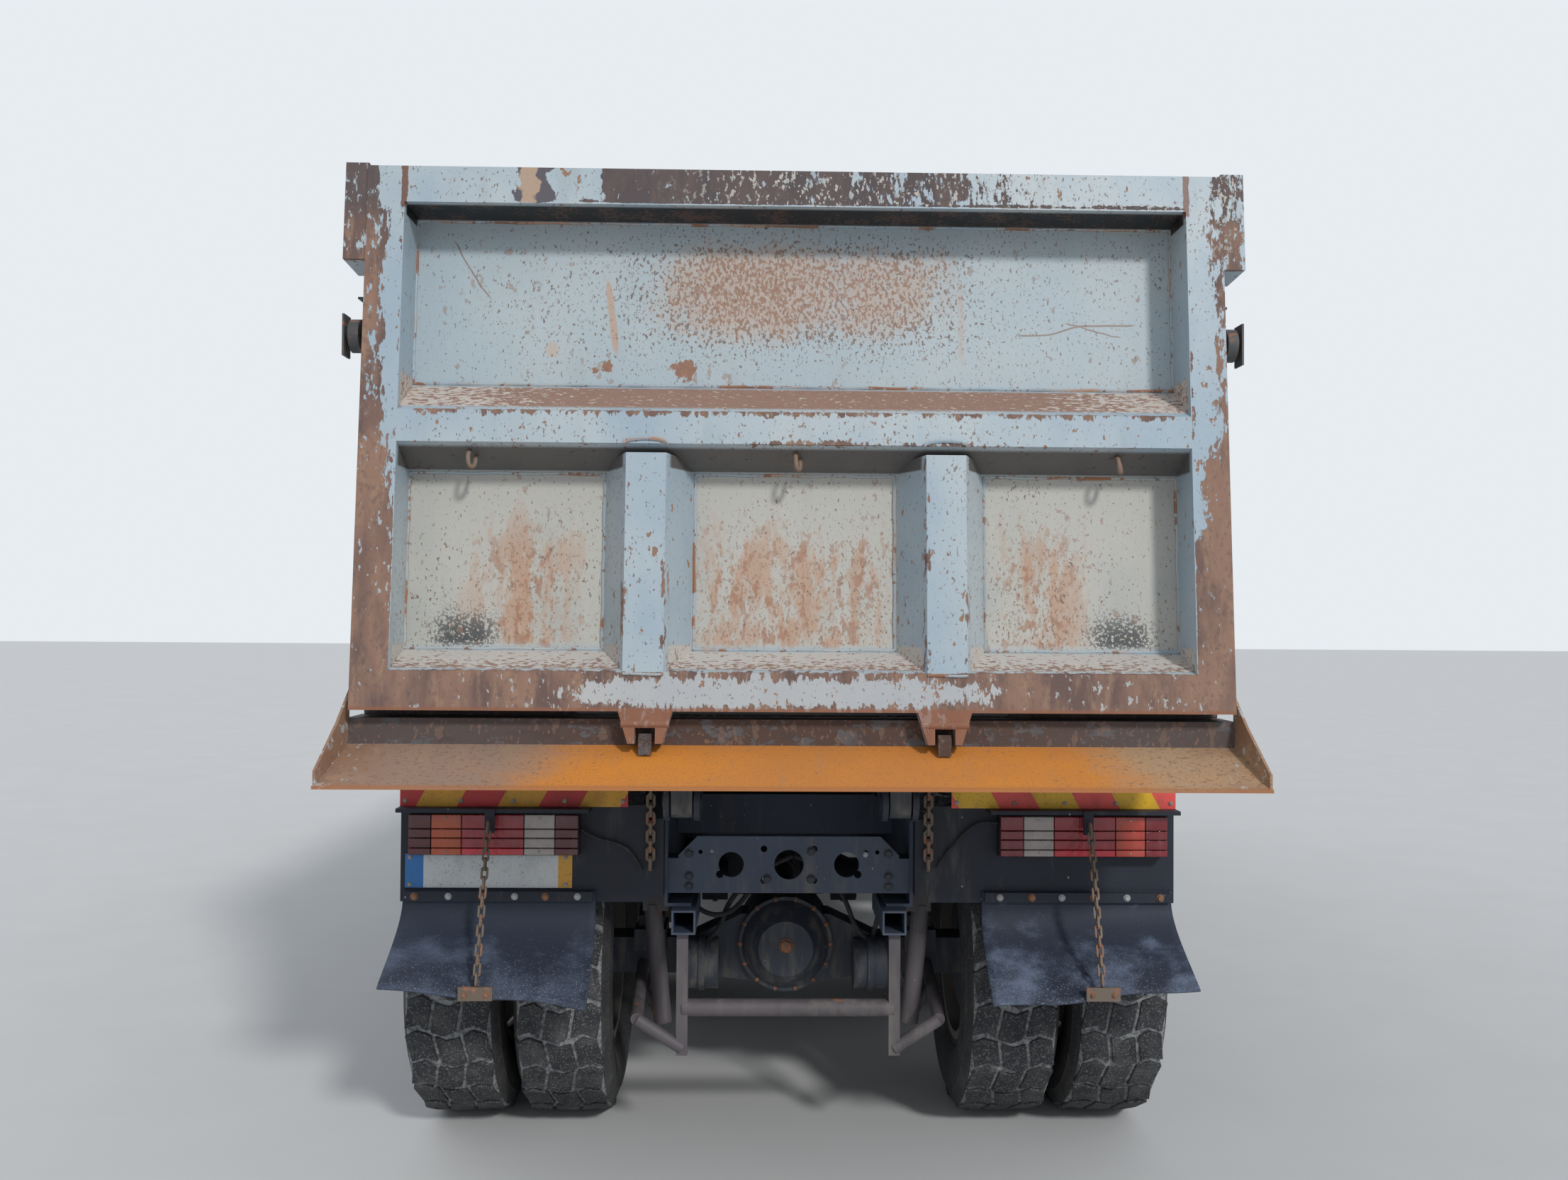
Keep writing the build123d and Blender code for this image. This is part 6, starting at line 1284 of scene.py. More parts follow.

# %% [markdown]
# Cables, hoses and the last axle's fittings.
#
# Behind the member, brake hoses drape from the middle over the axle's bowl to the chambers, and a lamp cable
# runs on each side from the lamp to the chain. They are loose, so each is a curve through a few points taken
# from the view.

# %% Hoses and cables
hose_rubber = rubber("hose rubber", srgb(34, 35, 38), 0.4, 145)
axle_y = AXLES[4][1]
HOSE = 0.017
CABLE = 0.010
LOOSE_LINES = {
    "brake_hose_1": (HOSE, [
        (0.02, axle_y - 0.20, 0.905), (-0.10, axle_y - 0.22, 0.86), (-0.20, axle_y - 0.25, 0.76),
        (-0.225, axle_y - 0.24, 0.66), (-0.27, axle_y - 0.17, 0.61),
    ]),
    "brake_hose_2": (HOSE, [
        (0.03, axle_y - 0.20, 0.905), (0.13, axle_y - 0.23, 0.87), (0.20, axle_y - 0.25, 0.77),
        (0.235, axle_y - 0.24, 0.66), (0.285, axle_y - 0.17, 0.61),
    ]),
    "brake_hose_3": (HOSE, [
        (-0.365, axle_y - 0.10, 0.90), (-0.36, axle_y - 0.20, 0.84), (-0.32, axle_y - 0.27, 0.75),
        (-0.23, axle_y - 0.28, 0.71), (-0.14, axle_y - 0.26, 0.76), (-0.06, axle_y - 0.19, 0.90),
    ]),
    "brake_hose_4": (HOSE, [
        (0.365, axle_y - 0.10, 0.90), (0.34, axle_y - 0.22, 0.83), (0.31, axle_y - 0.24, 0.70),
        (0.30, axle_y - 0.16, 0.62),
    ]),
    "lamp_cable_right": (CABLE, [
        (0.652, -3.6365, 1.085), (0.60, -3.6295, 1.09), (0.56, -3.6235, 1.06), (0.50, -3.6235, 1.00),
        (0.462, -3.6235, 0.94),
    ]),
    "lamp_cable_left": (CABLE, [
        (-0.652, -3.6365, 1.06), (-0.61, -3.6275, 1.03), (-0.55, -3.6235, 1.02), (-0.49, -3.6235, 0.99),
        (-0.462, -3.6235, 0.93),
    ]),
}


def line_length(points):
    """The length of a smooth line through a route's points, measured on the line itself."""
    probe = wire("probe", points, 0.0, 3)
    places = [vertex.co.copy() for vertex in probe.data.vertices]
    discard(probe)
    return sum((b - a).length for a, b in zip(places, places[1:])), places


for name, (diameter, points) in LOOSE_LINES.items():
    length, path = line_length(points)
    line = wire(name, points, diameter / 2, 3, False, 3)
    dress(line, "chassis", "flap_rubber", hose_rubber)
    print(name, round(length, 3), "m")

# %% Cover bolts and plug of the last two axles
BOWL_Z = 0.575
COVER_R = 0.158
for number in (3, 4):
    y = AXLES[number][1] - 0.090
    turns = [tau * i / 14 for i in range(14)]
    spots = [(COVER_R * cos(turn), y + 0.004, BOWL_Z + COVER_R * sin(turn)) for turn in turns]
    ring = repeated("ring", hexagon("bolt", 0.013, 0.008), facing((0, -1, 0), *spots))
    plug = hexagon("plug", 0.036, 0.014, 1.2)
    plug.data.transform(facing((0, -1, 0), (0, y - 0.0695, BOWL_Z + 0.012))[0])
    fittings = joined(f"axle_{number}_bolts", [ring, plug])
    dress(fittings, "chassis", "axle_cast", rusty_bolt)

# %% [markdown]
# Wheels.
#
# The discs are bolted on by ten nuts whose studs stand out, and a hub cap or flange sits inside that circle.
# The nuts turn with the wheel, so each wheel gets one piece that rides its body.

# %% Wheel nuts and hub bolts
NUT_CIRCLE = 0.1675
CAP_CIRCLE = 0.078
WHEEL_FACES = {
    "front": (FRONT_WHEEL_X + 0.087, FRONT_WHEEL_X + 0.145),
    "rear": (REAR_WHEEL_X + 0.014, REAR_WHEEL_X + 0.160),
}


def circle(x, y, z, radius, count):
    """Places spaced evenly round an axle, all at one x."""
    turns = [tau * i / count for i in range(count)]
    return [(x, y + radius * cos(turn), z + radius * sin(turn)) for turn in turns]


nut = hexagon("nut", 0.032, 0.022, 1.25)
stud = rod("stud", (0, 0, 0.018), (0, 0, 0.036), 0.0105, 12, 0.0015)
stud_nut = joined("stud nut", [nut, stud])
small_bolt = hexagon("small bolt", 0.014, 0.007, 1.2)
nut_coats = {
    "front": metal("front nuts", srgb(116, 86, 66), 0.6, 0.4, 150, 0.4, (1, 1, 1), 0.75),
    "rear": metal("rear nuts", srgb(84, 78, 74), 0.7, 0.6, 152, 0.3, (1, 1, 1), 0.5),
}
for number, (_, y, z) in AXLES.items():
    where = "front" if number < 3 else "rear"
    disc, hub_face = WHEEL_FACES[where]
    for side, sign in (("right", 1), ("left", -1)):
        ring = circle(sign * disc, y, z, NUT_CIRCLE, 10)
        cap = circle(sign * hub_face, y, z, CAP_CIRCLE, 8)
        parts = [placed(stud_nut, "nut", matrix) for matrix in facing((sign, 0, 0), *ring)]
        parts += [placed(small_bolt, "bolt", matrix) for matrix in facing((sign, 0, 0), *cap)]
        nuts = joined(f"wheel_{number}_{side}_nuts", parts)
        dress(nuts, f"wheel_{number}_{side}", "rim_paint", nut_coats[where])
discard(stud_nut)
discard(small_bolt)
print("wheels with nuts", 2 * len(AXLES))

# %% [markdown]
# The bed's sides.
#
# The cover's ropes are tied to bent hooks along the crease of the tub, one every 0.6 m, rusty where they are
# welded on. The seam of the side sheet shows as a bead along the same line.

# %% Rope hooks and seams of the tub
tub_low, tub_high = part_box("bed_tub")
CREASE = (1.2055, 2.020)
side_hook = [
    (0.000, 0.004, 0.000), (0.018, 0.004, 0.002), (0.034, 0.004, -0.010), (0.040, 0.002, -0.034),
    (0.036, -0.004, -0.056), (0.026, -0.010, -0.060),
]
hook_count = 9
hook_start = tub_low.y + 0.45
hook_gap = (tub_high.y - 0.55 - hook_start) / (hook_count - 1)
hook_places = [at(CREASE[0], hook_start + i * hook_gap, CREASE[1] + 0.02) for i in range(hook_count)]
side_hooks = repeated("side hooks", wire("hook", side_hook, 0.0065, 3, False, 2), hook_places)
side_hooks = both_sides("tub_hooks", side_hooks)
dress(side_hooks, "bed", "bed_paint", weld_steel)
SEAM_LINES = ((CREASE[0] + 0.001, CREASE[1] - 0.004), (1.081, 1.771))
seam_wires = [
    wire("seam", [(x, tub_low.y + 0.12, z), (x, tub_high.y - 0.35, z)], 0.0035, 2, False, 1)
    for x, z in SEAM_LINES
]
tub_seams = both_sides("tub_seams", joined("seam", seam_wires))
dress(tub_seams, "bed", "bed_paint", bed_coat("seam coat", 0.4, 0.4, 160))

# %% [markdown]
# Fuel tank.
#
# The tank is polished sheet, held by two straps with buckles and closed by a gripped cap. Each strap is the
# tank's own section a few millimetres larger, so that it lies on the rounded corners too.

# %% Straps, buckles and filler cap
def belt(name, low, high, corner, segments=6):
    """A band round a tank, with the corners of its section rounded like the tank's."""
    obj = slab(name, low, high, 0)
    edit(obj)
    bpy.ops.mesh.select_mode(type="EDGE")
    bpy.ops.mesh.select_all(action="DESELECT")
    mesh = bmesh.from_edit_mesh(obj.data)
    for edge in mesh.edges:
        run = edge.verts[1].co - edge.verts[0].co
        edge.select_set(abs(run.y) > 0.9 * run.length)
    bmesh.update_edit_mesh(obj.data)
    bpy.ops.mesh.bevel(offset=corner, segments=segments)
    leave()
    ease(obj, 0.0012, 1, 50)
    return settle(obj, name, smooth=40)


TANK_LOW = Vector((0.500, -0.6115, 0.480))
TANK_HIGH = Vector((1.150, 0.3485, 1.080))
TANK_CORNER = 0.093
STRAP_Y = (TANK_LOW.y + 0.17, TANK_HIGH.y - 0.21)
STRAP_WIDTH = 0.045
STRAP_T = 0.003
strap_steel = metal("strap steel", srgb(120, 118, 112), 0.45, 0.4, 165, 0.7, (1, 1, 1), 0.3)
straps = []
for y in STRAP_Y:
    strap_low = (TANK_LOW.x - STRAP_T, y, TANK_LOW.z - STRAP_T)
    strap_high = (TANK_HIGH.x + STRAP_T, y + STRAP_WIDTH, TANK_HIGH.z + STRAP_T)
    straps.append(belt("strap", strap_low, strap_high, TANK_CORNER))
buckle = slab("buckle", (-0.012, -0.030, -0.02), (0.012, 0.030, 0.02), 0.003)
buckle_spots = [at(TANK_HIGH.x + 0.006, y + STRAP_WIDTH / 2, 0.70) for y in STRAP_Y]
straps.append(repeated("buckles", buckle, buckle_spots))
strap_piece = dress(joined("tank_straps", straps), "chassis", "tank_steel", strap_steel)
cap_profile = [
    (0.0, 0.0), (0.0, 0.052), (0.006, 0.056), (0.022, 0.056), (0.026, 0.052), (0.030, 0.040), (0.032, 0.0),
]
filler = lathe("filler", cap_profile, 32, (0, 0, 1), (0, 0, 0), False)
grip = slab("grip", (-0.003, 0.050, 0.006), (0.003, 0.0585, 0.022), 0.001)
grips = repeated("grips", grip, [Matrix.Rotation(tau * i / 20, 4, "Z") for i in range(20)])
cap = joined("tank_cap", [filler, grips])
cap.data.transform(at(0.86, TANK_HIGH.y - 0.10, TANK_HIGH.z - 0.004))
dress(cap, "chassis", "tank_steel", moulded("cap plastic", srgb(28, 28, 30), 0.3, 168))
print("tank straps", len(strap_piece.data.polygons))

# %% Amber side markers and reflectors
amber = lens("side amber", srgb(230, 120, 20), 0.0)
MARKER_Y = (-3.30, -1.55, 0.60)
deck_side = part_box("bed_side_rails")[1].x
markers = [
    slab("marker", (deck_side - 0.001, y - 0.045, 1.440), (deck_side + 0.006, y + 0.045, 1.475), 0.003)
    for y in MARKER_Y
]
marker_piece = both_sides("side_reflectors", joined("reflectors", markers))
dress(marker_piece, "bed", "lamp_lens", amber)

# %% [markdown]
# Springs.
#
# Each pack of leaves is held to its axle by U-bolts with nuts below. Only the bars and nuts show, beside and
# below the packs, so each U-bolt is two upright bars with a bent top.

# %% U-bolts over the spring packs
spring_low, spring_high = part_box("leaf_springs")
u_steel = metal("u-bolt steel", srgb(66, 62, 60), 0.7, 0.6, 172, 0.3, (1, 1, 1), 0.45)


def u_bolt(half, low, high):
    """A U-bolt over a pack: up one side, across and down the other."""
    bend = 0.018
    points = [(-half, 0, low), (-half, 0, high - bend)]
    points += [(-half + 0.3 * bend, 0, high - 0.2 * bend), (-half + bend, 0, high)]
    points += [(-x, y, z) for x, y, z in reversed(points)]
    return wire("u-bolt", points, 0.009, 3, False, 3)


print("springs from", [round(v, 3) for v in spring_low], "to", [round(v, 3) for v in spring_high])
U_BOLTS = (
    (0.400, AXLES[1][1], 0.040, 0.055, 0.440, 0.642),
    (0.400, AXLES[2][1], 0.040, 0.055, 0.440, 0.642),
    (0.475, (AXLES[3][1] + AXLES[4][1]) / 2, 0.054, 0.075, 0.640, 0.826),
)
u_parts = []
for x, y, half, spread, low, high in U_BOLTS:
    bar = u_bolt(half + 0.010, low - high, 0.0)
    ends = [(side * (half + 0.010), 0, low - high + 0.012) for side in (1, -1)]
    nuts = repeated("nuts", hexagon("nut", 0.026, 0.016, 1.2), facing((0, 0, -1), *ends))
    both_ends = [at(x, y + end * spread, high) for end in (1, -1)]
    u_parts.append(repeated("u", joined("u", [bar, nuts]), both_ends))
u_piece = both_sides("spring_u_bolts", joined("u bolts", u_parts))
dress(u_piece, "chassis", "axle_cast", u_steel)

# %% [markdown]
# Cab: seals, handles, wipers and mirror glass.
#
# Every pane sits in a black rubber seal. The outline of a pane is known from its corners, so a seal is a
# round bar that follows it, a little proud of the sheet. On the doors the seal rides the door.

# %% Seals round the panes
CAB_HALF = 1.150
CAB_FRONT_Y = 4.2285
CAB_REAR_Y = 2.5085
DOOR_REAR_Y = 2.9785
DOOR_FRONT_Y = 3.9285
TUMBLE_START = 1.960
TUMBLE_END = 3.010
TUMBLE = 0.045
SCREEN = (0.960, 2.060, 2.800)
SCREEN_FOOT_Y = 4.1835
SCREEN_LEAN = 0.3065
REAR_PANE = (0.560, 2.080, 2.640)
seal_rubber = rubber("seal rubber", srgb(24, 25, 26), 0.25, 180)
trim_plastic = moulded("black trim", srgb(34, 35, 37), 0.3, 182)


def side_x(z):
    """The cab's side: upright below the waist and leaning in above it."""
    return CAB_HALF - TUMBLE * max(0.0, z - TUMBLE_START) / (TUMBLE_END - TUMBLE_START)


def screen_y(z):
    return SCREEN_FOOT_Y - SCREEN_LEAN * (z - 1.990)


def rounded(corners, radius, steps=4):
    """A closed outline whose corners are cut back and rounded."""
    points = []
    count = len(corners)
    for i, corner in enumerate(corners):
        corner = Vector(corner)
        before = (Vector(corners[i - 1]) - corner).normalized() * radius
        after = (Vector(corners[(i + 1) % count]) - corner).normalized() * radius
        for step in range(steps + 1):
            share = step / steps
            points.append(corner + before * (1 - share) ** 2 + after * share ** 2)
    return points


def seal(name, corners, radius, corner_radius):
    return wire(name, rounded(corners, corner_radius), radius, 2, True, 2, False)


def corners_of(half, low, high):
    """The corners of a pane that is the same on both sides of the truck, as (x, z)."""
    return (-half, low), (half, low), (half, high), (-half, high)


screen_line = [(x, screen_y(z) + 0.003, z) for x, z in corners_of(*SCREEN)]
rear_line = [(x, CAB_REAR_Y - 0.002, z) for x, z in corners_of(*REAR_PANE)]
pane_seals = [seal("screen seal", screen_line, 0.011, 0.09), seal("rear seal", rear_line, 0.010, 0.07)]
dress(joined("cab_seals", pane_seals), "cab", "dash_plastic", seal_rubber)
DOOR_LINE = (
    (DOOR_REAR_Y + 0.08, 2.030), (DOOR_FRONT_Y - 0.08, 2.030), (DOOR_FRONT_Y - 0.08, 2.180),
    (3.7465, 2.720), (DOOR_REAR_Y + 0.08, 2.720),
)
for side, sign in (("right", 1), ("left", -1)):
    line = [(sign * (side_x(z) + 0.001), y, z) for y, z in DOOR_LINE]
    dress(seal(f"door_{side}_seal", line, 0.009, 0.06), f"door_{side}", "dash_plastic", seal_rubber)
print("seals on screen, rear pane and doors")

# %% Door handles, key buttons and sill strips
GRIP_BOW = (
    (0.010, 3.035, 1.690), (0.030, 3.045, 1.692), (0.038, 3.11, 1.693), (0.030, 3.175, 1.692),
    (0.010, 3.185, 1.690),
)
for side, sign in (("right", 1), ("left", -1)):
    base = slab("base", (CAB_HALF + 0.003, 3.020, 1.640), (CAB_HALF + 0.012, 3.200, 1.720), 0.006)
    grip = wire("grip", [(CAB_HALF + out, y, z) for out, y, z in GRIP_BOW], 0.010, 3, False, 3)
    button_ends = [(CAB_HALF + out, 3.045, 1.660) for out in (0.010, 0.016)]
    button = rod("button", *button_ends, 0.010, 16, 0.0015)
    strip_low = (CAB_HALF + 0.004, DOOR_REAR_Y + 0.02, 1.262)
    strip = slab("strip", strip_low, (CAB_HALF + 0.014, DOOR_FRONT_Y - 0.02, 1.322), 0.004)
    handle = joined(f"door_{side}_handle", [base, grip, button, strip])
    if sign < 0:
        handle.data.transform(MIRROR_X)
        handle.data.flip_normals()
    dress(handle, f"door_{side}", "dash_plastic", trim_plastic)

# %% Wipers on the screen
def wiper(x, reach):
    """An arm from its spindle, and the blade it presses on the glass."""
    foot = Vector((x, screen_y(2.045) + 0.014, 2.030))
    tip = Vector((x + reach, screen_y(2.36) + 0.022, 2.360))
    arm = rod("arm", foot, tip, 0.008, 8, 0.0, 0.005)
    y = screen_y(2.03)
    spindle = rod("spindle", (x, y - 0.005, 2.030), (x, y + 0.026, 2.030), 0.018, 16, 0.003)
    along = (tip - foot).normalized()
    inward = Vector((0, -0.008, 0))
    blade = rod("blade", tip - along * 0.30 + inward, tip + along * 0.22 + inward, 0.006, 8)
    return joined("wiper", [arm, spindle, blade])


wipers = joined("cab_wipers", [wiper(-0.62, 0.34), wiper(-0.06, 0.34), wiper(0.50, 0.34)])
dress(wipers, "cab", "dash_plastic", trim_plastic)

# %% Mirror panes
mirror_glass = metal("mirror glass", srgb(170, 176, 180), 0.06, 0.25, 185, 0.95)
PANE_X = (1.204, 1.296)
PANE_BACK_Y = 3.9785
mirrors = []
for z0, z1 in ((2.045, 2.290), (2.305, 2.418)):
    low, high = (PANE_X[0], PANE_BACK_Y - 0.0045, z0), (PANE_X[1], PANE_BACK_Y + 0.001, z1)
    mirrors.append(slab("pane", low, high, 0.003))
mirror_panes = both_sides("mirror_panes", joined("panes", mirrors))
dress(mirror_panes, "cab", "dash_plastic", mirror_glass)
print("mirror panes", len(mirror_panes.data.polygons))

# %% Core behind the grille, and the joints of the face
CORE_X = 0.722
core = slab("core", (-CORE_X, CAB_FRONT_Y + 0.0004, 1.258), (CORE_X, CAB_FRONT_Y + 0.0024, 1.652), 0)
fins = [
    slab("fin", (-CORE_X, CAB_FRONT_Y + 0.002, z), (CORE_X, CAB_FRONT_Y + 0.005, z + 0.003), 0)
    for z in [1.270 + 0.015 * i for i in range(25)]
]
grille_core = joined("grille_core", [core, *fins])
dress(grille_core, "cab", "dash_plastic", chassis_coat("core soot", srgb(30, 31, 33), 0.35, 0.0, 0.1, 187))
FACE_HALF = 0.905
FACE_Z = (1.190, 1.905)
JOINT_HALF = 0.0025
JOINT_Y = (CAB_FRONT_Y - 0.001, CAB_FRONT_Y + 0.0007)
face_lines = [
    slab("joint", (x - JOINT_HALF, JOINT_Y[0], FACE_Z[0]), (x + JOINT_HALF, JOINT_Y[1], FACE_Z[1]), 0)
    for x in (-FACE_HALF, FACE_HALF)
]
face_lines += [
    slab("joint", (-FACE_HALF, JOINT_Y[0], z - JOINT_HALF), (FACE_HALF, JOINT_Y[1], z + JOINT_HALF), 0)
    for z in FACE_Z
]
dress(joined("face_joints", face_lines), "cab", "dash_plastic", seal_rubber)
FACE_GRIP = ((-0.13, -0.002), (-0.125, 0.008), (0.0, 0.0105), (0.125, 0.008), (0.13, -0.002))
grip_bars = [
    wire("grip", [(x + across, CAB_FRONT_Y + out, 1.800) for across, out in FACE_GRIP], 0.0085, 3, False, 3)
    for x in (-0.55, 0.55)
]
dress(joined("face_grips", grip_bars), "cab", "dash_plastic", trim_plastic)

# %% [markdown]
# Splash guard.
#
# Behind the bumper a black sheet with ribs keeps spray off the radiator and closes the view through the
# truck. One whole sheet would cut the two arms that the cab tilts on, so it is four pieces that leave them
# free.

# %% Splash guard and towing pocket behind the bumper
GUARD_Y = 4.0115
GUARD_FOOT = 0.430
GUARD_STEP = 0.700
GUARD_TOP = 0.900
GUARD_SPANS = (
    (-0.600, 0.600, GUARD_FOOT, GUARD_STEP),
    (-0.420, 0.420, GUARD_STEP, GUARD_TOP),
    (-0.600, -0.500, GUARD_STEP, GUARD_TOP),
    (0.500, 0.600, GUARD_STEP, GUARD_TOP),
)
sheets = [
    slab("sheet", (x0, GUARD_Y, z0), (x1, GUARD_Y + 0.004, z1), 0.001, 1) for x0, x1, z0, z1 in GUARD_SPANS
]
RIB_LOW = (GUARD_Y + 0.003, GUARD_FOOT + 0.01)
RIB_HIGH = (GUARD_Y + 0.010, GUARD_STEP - 0.01)
ribs = [
    slab("rib", (x - 0.008, *RIB_LOW), (x + 0.008, *RIB_HIGH), 0.002)
    for x in [0.1 * i - 0.5 for i in range(11)]
]
dress(joined("splash_guard", [*sheets, *ribs]), "chassis", "dash_plastic", trim_plastic)

POCKET_HALF = 0.125
POCKET_BACK_Y = GUARD_Y + 0.0035
POCKET_FRONT_Y = 4.2175
POCKET_FLOOR = 0.530
POCKET_ROOF = 0.767
POCKET_T = 0.003
walls = [
    slab("wall", (-POCKET_HALF, POCKET_BACK_Y, z), (POCKET_HALF, POCKET_FRONT_Y, z + POCKET_T), 0.0008, 1)
    for z in (POCKET_FLOOR, POCKET_ROOF)
]
wall_top = POCKET_ROOF + POCKET_T
walls += [
    slab("wall", (x, POCKET_BACK_Y, POCKET_FLOOR), (x + POCKET_T, POCKET_FRONT_Y, wall_top), 0.0008, 1)
    for x in (-POCKET_HALF, POCKET_HALF - POCKET_T)
]
dress(joined("tow_pocket", walls), "chassis", "dash_plastic", trim_plastic)
print("guard sheets", len(sheets), "ribs", len(ribs), "pocket walls", len(walls))

# %% [markdown]
# Headlamps.
#
# A pocket in the bumper holds a dark bezel with two chromed bowls, a bulb shield and an amber flasher, behind
# a clear cover. The bowls are spun outlines. A painted picture of a lamp would look flat from the side.

# %% Bezels, bowls, bulbs and covers
HEAD_X = (0.622, 0.978)
HEAD_Z = (0.542, 0.698)
HEAD_Y = 4.2425
chrome = metal("lamp chrome", srgb(214, 216, 220), 0.12, 0.1, 188, 1.0)
clear_cover = Finish("clear cover")
cover_film = clear_cover.ramp(clear_cover.noise(0.08, 4, (1, 1, 2), 190), 0.45, 0.8)
clear_coat = clear_cover.surface(
    clear_cover.mix(cover_film, srgb(200, 210, 214), srgb(180, 178, 170)), 0.05 + cover_film * 0.2, 0.0, None,
    Alpha=0.22 + cover_film * 0.12,
)
bowl_profile = [
    (0.0, 0.016), (0.006, 0.034), (0.020, 0.052), (0.042, 0.066), (0.046, 0.070), (0.046, 0.073),
    (0.0, 0.040), (-0.006, 0.016),
]
bulb_profile = [(0.0, 0.0), (0.0, 0.014), (0.022, 0.014), (0.030, 0.009), (0.032, 0.0)]
BOWL_X = (HEAD_X[0] + 0.088, HEAD_X[0] + 0.236)
RIM_Y = (HEAD_Y - 0.060, HEAD_Y - 0.004)
RIM_SPANS = (
    (HEAD_X[0], HEAD_X[0] + 0.010, HEAD_Z[0], HEAD_Z[1]),
    (HEAD_X[1] - 0.010, HEAD_X[1], HEAD_Z[0], HEAD_Z[1]),
    (HEAD_X[0], HEAD_X[1], HEAD_Z[0], HEAD_Z[0] + 0.007),
    (HEAD_X[0], HEAD_X[1], HEAD_Z[1] - 0.007, HEAD_Z[1]),
)
mid_z = (HEAD_Z[0] + HEAD_Z[1]) / 2
back = slab("back", (HEAD_X[0], HEAD_Y - 0.082, HEAD_Z[0]), (HEAD_X[1], HEAD_Y - 0.056, HEAD_Z[1]), 0.003)
rims = [slab("rim", (x0, RIM_Y[0], z0), (x1, RIM_Y[1], z1), 0.002) for x0, x1, z0, z1 in RIM_SPANS]
bezel = both_sides("headlamp_bezels", joined("bezel", [back, *rims]))
dress(bezel, "chassis", "lamp_lens", trim_plastic)
bowl_parts = [lathe("bowl", bowl_profile, 36, (0, 1, 0), (x, HEAD_Y - 0.056, mid_z)) for x in BOWL_X]
bulbs = [lathe("bulb", bulb_profile, 20, (0, 1, 0), (x, HEAD_Y - 0.054, mid_z), False) for x in BOWL_X]
bowl_piece = both_sides("headlamp_bowls", joined("bowls", bowl_parts + bulbs))
dress(bowl_piece, "chassis", "lamp_lens", chrome)
flasher_low = (HEAD_X[1] - 0.040, HEAD_Y - 0.058, HEAD_Z[0] + 0.012)
flasher_high = (HEAD_X[1] - 0.013, HEAD_Y - 0.014, HEAD_Z[1] - 0.012)
flasher = both_sides("headlamp_flashers", slab("flasher", flasher_low, flasher_high, 0.004))
dress(flasher, "chassis", "lamp_lens", amber)
cover_low = (HEAD_X[0] + 0.001, HEAD_Y - 0.006, HEAD_Z[0] + 0.001)
cover_high = (HEAD_X[1] - 0.001, HEAD_Y - 0.0005, HEAD_Z[1] - 0.001)
cover = both_sides("headlamp_covers", slab("cover", cover_low, cover_high, 0.002))
dress(cover, "chassis", "lamp_lens", clear_coat)
for piece in (bezel, bowl_piece, flasher, cover):
    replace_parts(piece, "lamps")
print("headlamp faces", len(bowl_piece.data.polygons))

# %% [markdown]
# Seats.
#
# A driver's seat is foam under woven cloth: a crowned cushion with side bolsters, and a back with the same.
# The cover is pulled down in sewn channels. Cloth under pressure swells the same shape evenly, but it needs
# minutes for a piece this big, so the cushions are fine grids here, crowned and channelled point by point.

# %% Crowned cushions
SEAT_X = 0.700
cloth_coat = seat_cloth()


def cushion(name, width, length, thick, bolster, channels):
    """A pad lying flat at the origin, with a crowned top, rounded edges and raised bolsters."""
    bpy.ops.object.select_all(action="DESELECT")
    bpy.ops.mesh.primitive_cube_add(size=1, scale=(width, length, thick))
    pad = bpy.context.object
    bpy.ops.object.transform_apply(location=False, rotation=False, scale=True)
    ease(pad, min(thick * 0.42, 0.05), 5, 60)
    edit(pad)
    bpy.ops.mesh.select_all(action="SELECT")
    for i in range(1, 32):
        bpy.ops.mesh.select_all(action="SELECT")
        bpy.ops.mesh.bisect(plane_co=(width * (i / 32 - 0.5), 0, 0), plane_no=(1, 0, 0))
        bpy.ops.mesh.select_all(action="SELECT")
        bpy.ops.mesh.bisect(plane_co=(0, length * (i / 32 - 0.5), 0), plane_no=(0, 1, 0))
    leave()
    for vertex in pad.data.vertices:
        across = vertex.co.x / width * 2
        along = vertex.co.y / length * 2
        share = vertex.co.z / thick + 0.5
        crown = 0.014 * (1 - across * across) * (1 - along * along)
        raised = bolster * max(0.0, (abs(across) - 0.62) / 0.38) * (1 - max(0.0, (abs(across) - 0.85) / 0.15))
        dip = sum(0.011 * max(0.0, 1 - abs(vertex.co.y - place) / 0.012) for place in channels)
        dip *= abs(across) < 0.66
        seam = 0.009 * max(0.0, 1 - abs(abs(across) - 0.66) / 0.035)
        vertex.co.z += (crown + raised - dip - seam) * max(0.0, share)
        vertex.co.x *= 1 - 0.03 * along * along
    return settle(pad, name, smooth=60)


for side, sign in (("right", 1), ("left", -1)):
    squab = cushion("squab", 0.446, 0.500, 0.118, 0.020, (-0.09, 0.09))
    squab.data.transform(at(sign * SEAT_X, 3.1885, 1.5625) @ Matrix.Rotation(radians(1.5), 4, "X"))
    back_rest = cushion("back", 0.440, 0.690, 0.085, 0.016, (-0.16, 0.0, 0.16))
    back_rest.data.transform(at(sign * SEAT_X, 2.9645, 1.975) @ Matrix.Rotation(radians(98), 4, "X"))
    seat = joined(f"seat_{side}", [squab, back_rest])
    dress(seat, "cab", "seat_fabric", cloth_coat)
    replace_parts(seat, "cab_seats")
    print(seat.name, "faces", len(seat.data.polygons))

# %% [markdown]
# A finish for every solid.
#
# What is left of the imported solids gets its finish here, node by node. Pieces of one kind share a recipe but
# not its seed, so that no two of them wear alike.

